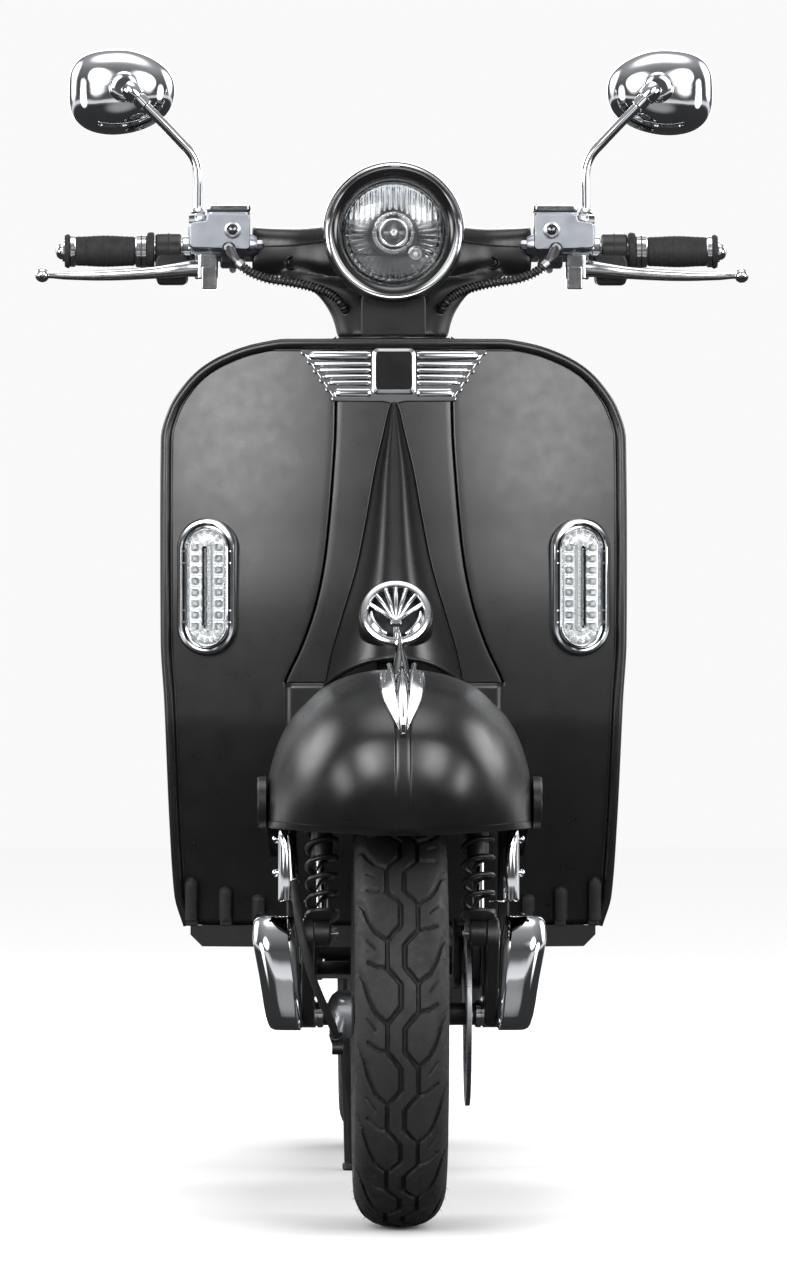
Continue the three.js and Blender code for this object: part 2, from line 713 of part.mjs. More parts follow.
function switchBlock() {
  const collar = onBar([SWITCH.x[0], SWITCH.x[1]], 19, 10);
  const body = box(SWITCH.x, SWITCH.y, SWITCH.z);
  const bore = crossRod([190, 260], BAR, BAR.radius + BORE_GAP, 10);
  const well = rod([BUTTON.x, -214, BUTTON.z], [BUTTON.x, -200, BUTTON.z], BUTTON.radius + 0.6, 12);
  return cut(join(collar, body), bore, well);
}

const pushButton = () =>
  rod([BUTTON.x, -210, BUTTON.z], [BUTTON.x, -201, BUTTON.z], BUTTON.radius, 12);

function masterCylinder() {
  const block = box([142, 182], [-276, -237], [974, 1014]);
  const lid = box([142, 184], [-277, -236], [1013, 1022]);
  const nose = box([180, 206], [-266, -238], [974, 992]);
  const clamp = onBar([150, 178], 18, 16);
  const clampTie = box([150, 175], [-245, -234], [965, 990]);
  const boss = rod([MIRROR_YAW.x, MIRROR_YAW.y, 985], [MIRROR_YAW.x, MIRROR_YAW.y, 1003.6], 9, 12);
  const banjo = rod([168, -286, 981], [168, -270, 981], 6, 10);
  const leverAxis = (z) => [LEVER_PIVOT.x, LEVER_PIVOT.y, z];
  const hinge = rod(leverAxis(968), leverAxis(980), 3.5, 10);
  const bore = crossRod([130, 220], BAR, BAR.radius + BORE_GAP, 10);
  return cut(join(block, lid, nose, clamp, clampTie, boss, banjo, hinge), bore);
}

const LEVER_TIP = { x: 359, y: -275, z: 950 };

function brakeLever() {
  const root = box([178, 200], [-262, -243], [946, 973.5]);
  const blade = loft(
    [
      [186, -252, 960, 8, 11], [215, -256, 956, 5, 8], [262, -263, 952, 4.5, 7],
      [310, -270, 949, 4, 7], [346, -275, 949.5, 3.5, 5], [357, -275, 950, 3.5, 4],
    ].map(([x, y, z, deep, high]) =>
      steps(8).slice(0, 8).map((t) => {
        const angle = 2 * Math.PI * t;
        return [x, y + deep * Math.cos(angle), z + high * Math.sin(angle)];
      }),
    ),
  );
  const tip = ball([LEVER_TIP.x, LEVER_TIP.y, LEVER_TIP.z], 7.5, 10);
  const leverAxis = (z) => [LEVER_PIVOT.x, LEVER_PIVOT.y, z];
  return cut(join(root, blade, tip), rod(leverAxis(966), leverAxis(984), 4.2, 12));
}

// Clipped along its whole length, from the master cylinder to the steering head.
const HOSE = [
  [168, -292, 981], [165, -298, 968], [152, -300, 952], [133, -300, 943], [108, -302, 932],
  [84, -308, 921], [66, -316, 910],
];
const brakeHose = () => tube(HOSE, 4.5, 9, 8);

function mirrorStem() {
  const { x, y } = MIRROR_YAW;
  const post = tube(
    [
      [x, y, 1004], [x, y, 1035], [x, y, 1062], [x + 9, y + 1, 1075], [x + 34, y + 3, 1102],
      [x + 62, y + 6, 1131], [MIRROR_BALL.x - 3, MIRROR_BALL.y, MIRROR_BALL.z - 3],
    ],
    5,
    10,
    6,
  );
  const nut = rod([x, y, 1004], [x, y, 1016], 8, 6);
  return join(post, nut, ball([MIRROR_BALL.x, MIRROR_BALL.y, MIRROR_BALL.z], 7, 8));
}

const MIRROR = { x: 279, z: 1143, halfWidth: 54.5, halfHeight: 44.5, glass: -204 };

function mirrorHead() {
  const outline = (scale) =>
    steps(14).slice(0, 14).map((t) => {
      const angle = 2 * Math.PI * t;
      const square = (v) => Math.sign(v) * Math.abs(v) ** 0.72;
      const [u, v] = [square(Math.cos(angle)), square(Math.sin(angle))];
      const taper = 1 + 0.1 * u;
      return [
        MIRROR.x + MIRROR.halfWidth * u * scale,
        MIRROR.z + MIRROR.halfHeight * v * taper * scale,
      ];
    });
  const ring = (y, scale) => outline(scale).map(([x, z]) => [x, y, z]);
  const head = loft([
    ring(-234, 0.2), ring(-230, 0.55), ring(-218, 0.9), ring(MIRROR.glass, 1),
    ring(MIRROR.glass + 3, 0.97),
  ]);
  const socket = rod(
    [MIRROR_BALL.x, MIRROR_BALL.y + 2, MIRROR_BALL.z],
    [MIRROR_BALL.x, MIRROR_BALL.y + 16, MIRROR_BALL.z],
    9,
    12,
  );
  const seat = ball([MIRROR_BALL.x, MIRROR_BALL.y, MIRROR_BALL.z], 8.2, 10);
  const passage = rod([255, -246, 1120], [274, -242, 1147], 8.5, 10);
  return cut(join(head, socket), seat, passage);
}

// ---------------------------------------------------------------- front suspension and wheels

function frontLink() {
  const arm = extrude(
    [
      [-590, 228], [-574, 245], [-590, 262], [-660, 262], [-736, 306], [-752, 300], [-754, 282],
      [-690, 196], [-667, 188], [-640, 196],
    ],
    "x",
    [ARM.inside, ARM.outside],
  );
  const shockPin = crossRod([SHOCK_X - 12, ARM.inside + 6], SHOCK_FOOT, 5, 10);
  const side = join(arm, shockPin);
  const axle = crossRod([-ARM.outside + 4, ARM.outside - 4], FRONT_AXLE, 8, 12);
  const speedoDrive = crossRod([-70, -48], FRONT_AXLE, 22, 12);
  const driveTie = crossRod([-ARM.outside + 6, -66], FRONT_AXLE, 14, 12);
  return join(side, mirrored(side), axle, speedoDrive, driveTie);
}

// A box open on its inner side, at the back, and on top behind the axle, where the fork leg enters.
function linkCover() {
  const outline = [
    [-705, 206], [-698, 195], [-572, 195], [-560, 210], [-560, 290], [-576, 307], [-692, 307],
    [-705, 294],
  ];
  const outer = extrude(outline, "x", [ARM.outside + GAP, 138]);
  const inner = box([90, 134], [-701, -500], [199, 303]);
  const topSlot = box([90, 133], [-650, -500], [290, 320]);
  return cut(outer, inner, topSlot);
}

function brakeCaliper() {
  const body = extrude(
    [[-628, 232], [-590, 228], [-570, 250], [-574, 296], [-602, 304], [-628, 280]],
    "x",
    [54, ARM.inside - GAP],
  );
  const slot = crossRod([DISC.inside - 2, DISC.outside + 2], FRONT_AXLE, DISC.radius + 3, 30);
  return cut(body, slot);
}

const between = (a, b, t) => ({ y: a.y + (b.y - a.y) * t, z: a.z + (b.z - a.z) * t });
const at = (x, { y, z }) => [x, y, z];

// The spring and damper body of a shock, hung from its upper pin.
function shockBody(x, top, foot, radius, reach) {
  const eye = crossRod([x - 9, x + 7], top, 14, 10);
  const barrel = rod(at(x, between(top, foot, 0.04)), at(x, between(top, foot, reach)), radius, 10);
  const bore = rod(at(x, between(top, foot, 0.16)), at(x, between(top, foot, 1.2)), 7, 8);
  return cut(join(eye, barrel), bore);
}

// The rod of a shock, with the eye on its lower pin.
function shockRod(x, top, foot, from) {
  const eye = crossRod([x - 8, x + 6], foot, 13, 10);
  return join(eye, rod(at(x, between(top, foot, from)), at(x, foot), 6, 8));
}

const pinBore = (pin, x, radius) => crossRod([x - 30, x + 30], pin, radius, 10);

const frontDamper = () =>
  cut(shockBody(SHOCK_X, SHOCK_TOP, SHOCK_FOOT, 17, 0.62), pinBore(SHOCK_TOP, SHOCK_X, 6.6));
const frontShockRod = () =>
  cut(shockRod(SHOCK_X, SHOCK_TOP, SHOCK_FOOT, 0.44), pinBore(SHOCK_FOOT, SHOCK_X, 7));
const rearDamper = () =>
  cut(
    shockBody(REAR_SHOCK_X, REAR_SHOCK_TOP, REAR_SHOCK_FOOT, 17, 0.5),
    pinBore(REAR_SHOCK_TOP, REAR_SHOCK_X, 6.6),
  );
const rearShockRod = () =>
  cut(
    shockRod(REAR_SHOCK_X, REAR_SHOCK_TOP, REAR_SHOCK_FOOT, 0.4),
    pinBore(REAR_SHOCK_FOOT, REAR_SHOCK_X, 8),
  );

const TYRE_THICK = 9;

// Around X at the origin, as every wheel part is.
function tyre() {
  const half = TYRE_WIDTH / 2;
  const outer = [
    [130, 28.5], [140, 31], [158, 42], [172, half], [190, half - 4], [203, 23], [TYRE_RADIUS, 0],
  ];
  const inner = [[131, 21], [168, 37], [188, 32], [TYRE_RADIUS - TYRE_THICK, 0]];
  const side = (list, sign) => list.map(([r, x]) => [r, sign * x]);
  const profile = [
    ...side(outer, 1), ...side(outer.slice(0, -1), -1).reverse(),
    ...side(inner, -1), ...side(inner.slice(0, -1), 1).reverse(),
  ];
  return turned(profile, "x", [0, 0, 0], 24);
}

function rim(hubReach) {
  const flange = [[120, 10], [122, 33], [134, 33], [134, 30.6]];
  const profile = [
    [9.5, 40], [26, 40], ...flange, [RIM_RADIUS, 28.5], [RIM_RADIUS, -28.5],
    ...flange.map(([r, x]) => [r, -x]).reverse(), [26, -40], [9.5, -40],
  ];
  const hub = turned([[9.5, 30], [24, 30], [24, hubReach], [9.5, hubReach]], "x", [0, 0, 0], 12);
  return join(turned(profile, "x", [0, 0, 0], 24), hub);
}

function brakeDisc() {
  const { inside, outside, radius } = DISC;
  return turned(
    [[14, inside], [radius, inside], [radius, outside], [14, outside]],
    "x",
    [0, 0, 0],
    28,
  );
}

// From the fender's lower edge down to the speedometer drive on the axle.
const CABLE = [
  [-80, -640, 386], [-79, -628, 350], [-77, -622, 310], [-74, -622, 275], [-67, -632, 246],
  [-60, -650, 231],
];
const speedometerCable = () => tube(CABLE, 3.5, 10, 8);

// ---------------------------------------------------------------- power unit, stand, seat

function engineUnit() {
  const crankcase = crossRod([-60, 60], CRANK, 68, 18);
  const barrel = rod([0, CRANK.y, CRANK.z + 40], [0, CRANK.y, 452], 44, 14);
  const boss = crossRod([-82, 82], UNIT_PIVOT, 17, 14);
  const CASE = 60;
  const arc = (centre, from, to) =>
    steps(6).map((t) => {
      const angle = THREE.MathUtils.degToRad(from + (to - from) * t);
      return [centre.y + CASE * Math.cos(angle), centre.z + CASE * Math.sin(angle)];
    });
  const belt = extrude([...arc({ y: CRANK.y + 22, z: CRANK.z }, 74, 254), ...arc(REAR_AXLE, 254, 434)], "x", [58, 118]);
  const hub = crossRod([10, 60], REAR_AXLE, 8.8, 14);
  const gearbox = crossRod([46, 60], REAR_AXLE, 34, 16);
  const lug = extrude([[602, 262], [650, 250], [640, 308], [612, 308]], "x", [66, 84]);
  const lugPin = crossRod([80, 108], REAR_SHOCK_FOOT, 6, 10);
  const bolt = crossRod([-100, 100], UNIT_PIVOT, 6 + GAP, 12);
  const kickShaft = crossRod([110, 150], KICK_PIVOT, 8.5, 12);
  return cut(join(crankcase, barrel, boss, belt, hub, gearbox, lug, lugPin), bolt, kickShaft);
}

const EXHAUST_X = -108;

function exhaust() {
  const can = rod([EXHAUST_X, 430, 262], [EXHAUST_X, 760, 282], 38, 14);
  const pipe = tube(
    [
      [-26, 392 - GAP, 400], [-40, 410, 370], [-70, 420, 320], [EXHAUST_X, 424, 280],
      [EXHAUST_X, 440, 264],
    ],
    13,
    6,
    6,
  );
  const tail = rod([EXHAUST_X, 755, 282], [EXHAUST_X, 785, 280], 10, 10);
  return cut(join(can, pipe, tail), rod([0, CRANK.y, 330], [0, CRANK.y, 480], 45, 16));
}

function kickLever() {
  const shaft = crossRod([112, 132], KICK_PIVOT, 7.8, 12);
  const arm = loft(
    [[KICK_PIVOT.y - 10, 284, 11], [470, 276, 9], [556, 246, 7]].map(([y, z, high]) => [
      [122, y, z - high], [131, y, z - high], [131, y, z + high], [122, y, z + high],
    ]),
  );
  const pedal = crossRod([122, 150], { y: 556, z: 246 }, 8, 10);
  return join(shaft, arm, pedal);
}

// Narrow, so that it stands in the shadow of the tyres.
function centreStand() {
  const barrel = crossRod([-66, 66], STAND_PIVOT, 10, 14);
  const leg = join(
    rod([44, STAND_PIVOT.y, STAND_PIVOT.z], [36, STAND_FOOT_Y - 1, 8], 8, 10),
    box([26, 46], [STAND_FOOT_Y - 12, STAND_FOOT_Y + 8], [0, 9]),
  );
  const brace = rod([-42, 164, 140], [42, 164, 140], 5, 8);
  return cut(join(barrel, leg, mirrored(leg), brace), crossRod([-90, 90], STAND_PIVOT, 5.5, 14));
}

const SEAT = [
  // y, half width, top, sag of the edge
  [45, 84, 728, 20], [80, 104, 752, 12], [200, 128, 760, 10], [330, 135, 762, 10],
  [430, 133, 776, 12], [560, 126, 785, 12], [690, 108, 778, 14], [745, 76, 744, 20],
];
const SEAT_BASE = 690;

function seat() {
  return loft(
    SEAT.map(([y, half, top, sag]) => [
      [-half * 0.9, y, SEAT_BASE], [half * 0.9, y, SEAT_BASE], [half, y, SEAT_BASE + 22],
      [half * 0.92, y, top - sag], [half * 0.6, y, top - 2], [0, y, top],
      [-half * 0.6, y, top - 2], [-half * 0.92, y, top - sag], [-half, y, SEAT_BASE + 22],
    ]),
  );
}

// ---------------------------------------------------------------- finishes and assembly

const finish = (color, roughness, metalness) =>
  () => new THREE.MeshStandardMaterial({ color, roughness, metalness });
const satinBlack = finish(0x17181a, 0.42, 0.1);
const glossBlack = finish(0x0c0c0d, 0.15, 0.1);
const frameBlack = finish(0x1d1e20, 0.5, 0.3);
const matteBlack = finish(0x202123, 0.75, 0);
const chrome = finish(0xd7dade, 0.08, 1);
const alloy = finish(0xb6babf, 0.32, 1);
const steel = finish(0x9a9ea3, 0.3, 1);
const rubber = finish(0x151515, 0.85, 0);
const clearLens = finish(0xe6edf2, 0.08, 0);
const redLens = finish(0x8f1210, 0.2, 0);
const seatCover = finish(0x1a1a1b, 0.65, 0);

// A group whose own origin is the pivot that its pieces turn about.
function pivotGroup(parent, [x, y, z]) {
  const group = new THREE.Group();
  const from = parent.userData.origin ?? [0, 0, 0];
  group.userData.origin = [x, y, z];
  group.position.set(x - from[0], y - from[1], z - from[2]);
  parent.add(group);
  return group;
}

// Hangs a solid on a group: `origin` is the point, in the scooter's frame, that the mesh is placed by.
function place(group, name, solid, material, origin = group.userData.origin) {
  const from = group.userData.origin;
  const local = solid.translate(origin.map((v) => -v));
  const mesh = new THREE.Mesh(geometryOf(local), material());
  mesh.name = name;
  mesh.position.set(...origin.map((v, i) => v - from[i]));
  group.add(mesh);
  return mesh;
}

// The same piece on both sides of the scooter.
function placePair(groupOf, name, solid, material, originOf = () => undefined) {
  const sides = [["left", 1], ["right", -1]];
  for (const [side, sign] of sides)
    place(
      groupOf(sign),
      `${name}_${side}`,
      sign > 0 ? solid : mirrored(solid),
      material,
      originOf(sign),
    );
}

const scooter = new THREE.Group();
scooter.userData.origin = [0, 0, 0];
const chassis = pivotGroup(scooter, [0, 0, 0]);
const steering = pivotGroup(scooter, [0, onSteeringAxis(HEAD_TUBE.low), HEAD_TUBE.low]);
const link = pivotGroup(steering, [0, LINK_PIVOT.y, LINK_PIVOT.z]);
const unit = pivotGroup(scooter, [0, UNIT_PIVOT.y, UNIT_PIVOT.z]);
const onChassis = () => chassis;
const onSteering = () => steering;
const onLink = () => link;

place(chassis, "main_frame", mainFrame(), frameBlack);
place(chassis, "leg_shield", legShield(), satinBlack, [0, shieldY(0, 600), 600]);
place(chassis, "horn_cover", hornCover(), satinBlack, [0, shieldY(0, 700), 700]);
place(chassis, "horn_grille", hornGrille(), chrome, onGrille(0));
place(chassis, "trim_plate", trimPlate(), chrome, [0, shieldY(0, 846), 846]);
place(chassis, "inner_shield", innerShield(), matteBlack, [0, INNER_BACK, 600]);
place(chassis, "floorboard", floorboard(), matteBlack, [0, FLOOR.front, FLOOR.top]);
place(chassis, "seat_bucket", seatBucket(), matteBlack, [0, BUCKET.front, BUCKET.floor]);
place(chassis, "tail_lamp", tailLamp(), redLens, [0, 850, 543]);
place(chassis, "rear_fender", rearFender(), matteBlack, at(0, REAR_AXLE));
const indicatorAt = (sign) => [sign * INDICATOR.x, shieldY(INDICATOR.x, INDICATOR.z), INDICATOR.z];
placePair(onChassis, "indicator_bezel", indicatorBezel(), chrome, indicatorAt);
placePair(onChassis, "indicator_lens", indicatorLens(), clearLens, indicatorAt);
placePair(onChassis, "body_cowl", cowlLeft(), satinBlack, (sign) => [sign * 180, 350, 512]);

place(steering, "fork", fork(), frameBlack);
place(steering, "front_fender", frontFender(), satinBlack, [0, -665, 392]);
place(steering, "fender_crest", fenderCrest(), chrome, [0, -800, 535]);
place(steering, "headset_shell", headsetShell(), satinBlack, [0, LAMP.front, LAMP.z]);
place(steering, "headlight_ring", headlightRing(), chrome, [0, LAMP.front, LAMP.z]);
place(steering, "headlight_lens", headlightLens(), clearLens, [0, LAMP.front, LAMP.z]);
place(steering, "handlebar", handlebar(), chrome, at(0, BAR));
place(steering, "speedometer_cable", speedometerCable(), rubber, CABLE[0]);
const barAt = (x) => (sign) => at(sign * x, BAR);
placePair(onSteering, "master_cylinder", masterCylinder(), alloy, barAt(160));
placePair(onSteering, "switch_block", switchBlock(), glossBlack, barAt(BUTTON.x));
const hoseAt = (sign) => [sign * HOSE[0][0], HOSE[0][1], HOSE[0][2]];
placePair(onSteering, "brake_hose", brakeHose(), rubber, hoseAt);
placePair(onSteering, "front_damper", frontDamper(), steel, (sign) => at(sign * SHOCK_X, SHOCK_TOP));
placePair(onSteering, "front_shock_rod", frontShockRod(), chrome, (sign) =>
  at(sign * SHOCK_X, SHOCK_FOOT),
);
placePair(onSteering, "brake_lever", brakeLever(), alloy, (sign) => [
  sign * LEVER_PIVOT.x,
  LEVER_PIVOT.y,
  LEVER_TIP.z,
]);
place(steering, "grip_left", grip(), rubber, at(GRIP.from, BAR));
place(steering, "throttle_grip", mirrored(grip()), rubber, at(-GRIP.from, BAR));
place(steering, "horn_button", pushButton(), glossBlack, [BUTTON.x, -205, BUTTON.z]);
place(steering, "starter_button", mirrored(pushButton()), glossBlack, [-BUTTON.x, -205, BUTTON.z]);

const yawGroups = {};
for (const sign of [1, -1])
  yawGroups[sign] = pivotGroup(steering, [sign * MIRROR_YAW.x, MIRROR_YAW.y, 1004]);
placePair((sign) => yawGroups[sign], "mirror_stem", mirrorStem(), chrome);
placePair((sign) => yawGroups[sign], "mirror_head", mirrorHead(), chrome, (sign) => [
  sign * MIRROR_BALL.x,
  MIRROR_BALL.y,
  MIRROR_BALL.z,
]);

place(link, "front_link", frontLink(), frameBlack);
place(link, "brake_caliper", brakeCaliper(), frameBlack, [70, -600, 265]);
placePair(onLink, "link_cover", linkCover(), chrome, (sign) => [sign * 118, -630, 250]);

// A wheel's parts are made around the origin, and its group holds the axle.
function placeWheel(parent, name, axle, hubReach) {
  const group = pivotGroup(parent, [0, axle.y, axle.z]);
  const centred = (solid) => solid.translate(at(0, axle));
  place(group, `${name}_tyre`, centred(tyre()), rubber);
  place(group, `${name}_rim`, centred(rim(hubReach)), alloy);
  return { group, centred };
}
const front = placeWheel(link, "front", FRONT_AXLE, DISC.inside - GAP);
place(front.group, "brake_disc", front.centred(brakeDisc()), steel);
placeWheel(unit, "rear", REAR_AXLE, 43);

place(unit, "engine_unit", engineUnit(), alloy);
place(unit, "exhaust", exhaust(), frameBlack, [EXHAUST_X, 430, 262]);
place(unit, "kick_lever", kickLever(), steel, at(122, KICK_PIVOT));
place(chassis, "rear_shock_rod", rearShockRod(), chrome, at(REAR_SHOCK_X, REAR_SHOCK_FOOT));
place(chassis, "rear_damper", rearDamper(), steel, at(REAR_SHOCK_X, REAR_SHOCK_TOP));
place(chassis, "centre_stand", centreStand(), frameBlack, at(0, STAND_PIVOT));
place(chassis, "seat", seat(), seatCover, at(0, SEAT_HINGE));

export default scooter;
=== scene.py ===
"""A satin-black moped scooter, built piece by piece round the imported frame."""

import math

import bmesh
import bpy
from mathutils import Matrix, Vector


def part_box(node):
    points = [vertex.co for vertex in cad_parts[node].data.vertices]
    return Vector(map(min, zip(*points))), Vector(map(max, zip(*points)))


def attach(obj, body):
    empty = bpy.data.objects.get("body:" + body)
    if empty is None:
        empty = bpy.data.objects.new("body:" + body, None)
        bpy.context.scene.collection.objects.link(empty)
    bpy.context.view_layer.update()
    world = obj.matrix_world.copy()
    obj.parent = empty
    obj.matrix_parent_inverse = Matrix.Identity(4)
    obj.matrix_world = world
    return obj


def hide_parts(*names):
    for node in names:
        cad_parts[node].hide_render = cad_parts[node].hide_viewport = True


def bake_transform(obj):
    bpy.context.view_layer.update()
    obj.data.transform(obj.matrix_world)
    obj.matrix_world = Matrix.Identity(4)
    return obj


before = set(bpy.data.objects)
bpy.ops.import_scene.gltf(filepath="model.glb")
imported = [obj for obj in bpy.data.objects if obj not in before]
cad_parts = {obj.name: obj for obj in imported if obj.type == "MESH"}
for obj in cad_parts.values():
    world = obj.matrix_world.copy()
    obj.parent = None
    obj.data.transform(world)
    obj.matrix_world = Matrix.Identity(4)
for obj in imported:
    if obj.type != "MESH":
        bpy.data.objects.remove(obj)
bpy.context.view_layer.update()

MM = 0.001
RAD = math.radians


# ---------------------------------------------------------------- camera, light and floor

EYE_DISTANCE = 8.0
FRAME_HEIGHT = 1.2545  # metres of height that the picture holds at the front axle
EYE_HEIGHT = 0.575
SENSOR_HEIGHT = 24
DOME_RADIUS = 13.0
FLOOR_RADIUS = 14.0


def point_at(obj, target):
    obj.rotation_euler = (Vector(target) - obj.location).to_track_quat("-Z", "Y").to_euler()


def make_camera():
    camera = bpy.data.cameras.new("camera")
    obj = bpy.data.objects.new("camera", camera)
    bpy.context.collection.objects.link(obj)
    axle_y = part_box("brake_disc")[0][1] + 0.09
    yaw = RAD(1.0)
    obj.location = (-0.0055 - math.sin(yaw) * EYE_DISTANCE, axle_y - math.cos(yaw) * EYE_DISTANCE, EYE_HEIGHT)
    obj.rotation_euler = (RAD(90), 0, -yaw)
    camera.sensor_fit = "VERTICAL"
    camera.sensor_height = SENSOR_HEIGHT
    camera.lens = SENSOR_HEIGHT * EYE_DISTANCE / FRAME_HEIGHT
    camera.clip_end = 60
    bpy.context.scene.camera = obj


def area_light(name, place, target, size, watts, colour=(1, 1, 1)):
    light = bpy.data.lights.new(name, "AREA")
    light.shape = "RECTANGLE"
    light.size, light.size_y = size
    light.energy = watts
    light.color = colour
    obj = bpy.data.objects.new(name, light)
    obj.location = place
    bpy.context.collection.objects.link(obj)
    obj.visible_glossy = False
    point_at(obj, target)


GLOWS = (
    # azimuth from straight ahead, elevation, inner and outer reach, strength
    (-25, 23, 0.06, 0.36, 11), (25, 23, 0.06, 0.36, 9.5), (-60, 3, 0.04, 0.3, 7), (60, 3, 0.04, 0.3, 7),
    (-115, 24, 0.1, 0.5, 4.5), (115, 24, 0.1, 0.5, 4.5), (180, 20, 0.1, 0.5, 5), (0, 84, 0.1, 0.6, 2.6),
    (0, -13, 0.04, 0.3, 0.3),
)


def make_dome():
    """A grey studio that only reflections see: soft lamps on walls that darken towards the ground."""
    mesh = bpy.data.meshes.new("dome")
    bm = bmesh.new()
    bmesh.ops.create_uvsphere(bm, u_segments=48, v_segments=24, radius=DOME_RADIUS)
    bm.to_mesh(mesh)
    bm.free()
    dome = bpy.data.objects.new("dome", mesh)
    bpy.context.collection.objects.link(dome)
    dome.visible_camera = False
    dome.visible_diffuse = False
    dome.visible_shadow = False
    dome.visible_transmission = False
    paint = bpy.data.materials.new("dome")
    paint.use_nodes = True
    tree = paint.node_tree
    tree.nodes.clear()

    def add(kind, *inputs, **settings):
        node = tree.nodes.new(kind)
        for key, value in settings.items():
            setattr(node, key, value)
        for socket, value in inputs:
            if isinstance(value, bpy.types.NodeSocket):
                tree.links.new(value, node.inputs[socket])
            else:
                node.inputs[socket].default_value = value
        return node

    place = add("ShaderNodeTexCoord").outputs["Object"]
    height = add("ShaderNodeSeparateXYZ", (0, place)).outputs["Z"]
    span = add("ShaderNodeMapRange", ("Value", height), ("From Min", -DOME_RADIUS),
               ("From Max", DOME_RADIUS)).outputs["Result"]
    ramp = add("ShaderNodeValToRGB", ("Fac", span))
    stops = ((0.0, 0.03), (0.44, 0.04), (0.466, 0.14), (0.476, 0.8), (0.503, 0.7), (0.52, 0.1), (0.6, 0.08),
             (0.8, 0.2), (1.0, 0.5))
    marks = ramp.color_ramp.elements
    while len(marks) < len(stops):
        marks.new(0.5)
    for mark, (at, shade) in zip(marks, stops):
        mark.position = at
        mark.color = (shade, shade, shade * 1.02, 1)
    total = ramp.outputs["Color"]
    for azimuth, elevation, inner, outer, strength in GLOWS:
        a, e = RAD(azimuth), RAD(elevation)
        centre = Vector((math.sin(a) * math.cos(e), -math.cos(a) * math.cos(e), math.sin(e))) * DOME_RADIUS
        away = add("ShaderNodeVectorMath", (0, place), (1, centre), operation="DISTANCE").outputs["Value"]
        lit = add("ShaderNodeMapRange", ("Value", away), ("From Min", DOME_RADIUS * inner),
                  ("From Max", DOME_RADIUS * outer), ("To Min", strength), ("To Max", 0),
                  interpolation_type="SMOOTHERSTEP").outputs["Result"]
        total = add("ShaderNodeVectorMath", (0, total), (1, lit), operation="ADD").outputs[0]
    glow = add("ShaderNodeEmission", ("Color", total))
    add("ShaderNodeOutputMaterial", ("Surface", glow.outputs["Emission"]))
    mesh.materials.append(paint)


def make_stage():
    mesh = bpy.data.meshes.new("floor")
    ring = [(FLOOR_RADIUS * math.cos(RAD(a)), FLOOR_RADIUS * math.sin(RAD(a)), 0) for a in range(0, 360, 6)]
    mesh.from_pydata(ring, [], [tuple(range(len(ring)))])
    floor = bpy.data.objects.new("floor", mesh)
    bpy.context.collection.objects.link(floor)
    paint = bpy.data.materials.new("floor")
    paint.use_nodes = True
    shader = paint.node_tree.nodes["Principled BSDF"]
    shader.inputs["Base Color"].default_value = (0.97, 0.97, 0.97, 1)
    shader.inputs["Roughness"].default_value = 1
    shader.inputs["Specular IOR Level"].default_value = 0
    mesh.materials.append(paint)
    floor.visible_glossy = False

    world = bpy.data.worlds.new("studio")
    world.use_nodes = True
    world.node_tree.nodes["Background"].inputs["Color"].default_value = (1, 1, 1, 1)
    world.node_tree.nodes["Background"].inputs["Strength"].default_value = 0.95
    bpy.context.scene.world = world
    bpy.context.scene.view_settings.view_transform = "Standard"

    area_light("key", (-1.9, -5.4, 3.0), (0, -0.5, 0.75), (2.4, 1.4), 85)
    area_light("fill", (2.1, -5.2, 2.7), (0, -0.5, 0.75), (2.0, 1.2), 55)
    area_light("left_strip", (4.2, -1.6, 1.6), (0, 0, 0.7), (0.7, 2.6), 50)
    area_light("right_strip", (-4.2, -1.2, 1.6), (0, 0, 0.7), (0.7, 2.6), 50)
    area_light("top", (0, 0.4, 4.2), (0, 0.1, 0.5), (2.4, 1.6), 60)
    area_light("back", (1.2, 4.6, 2.6), (0, 0.3, 0.5), (2.2, 1.2), 80)


make_camera()
make_dome()
make_stage()


# ---------------------------------------------------------------- materials

MATERIALS = {}
TEXTURE_LOW, TEXTURE_HIGH = 0.3, 0.7  # the stretch of a texture's values that is used


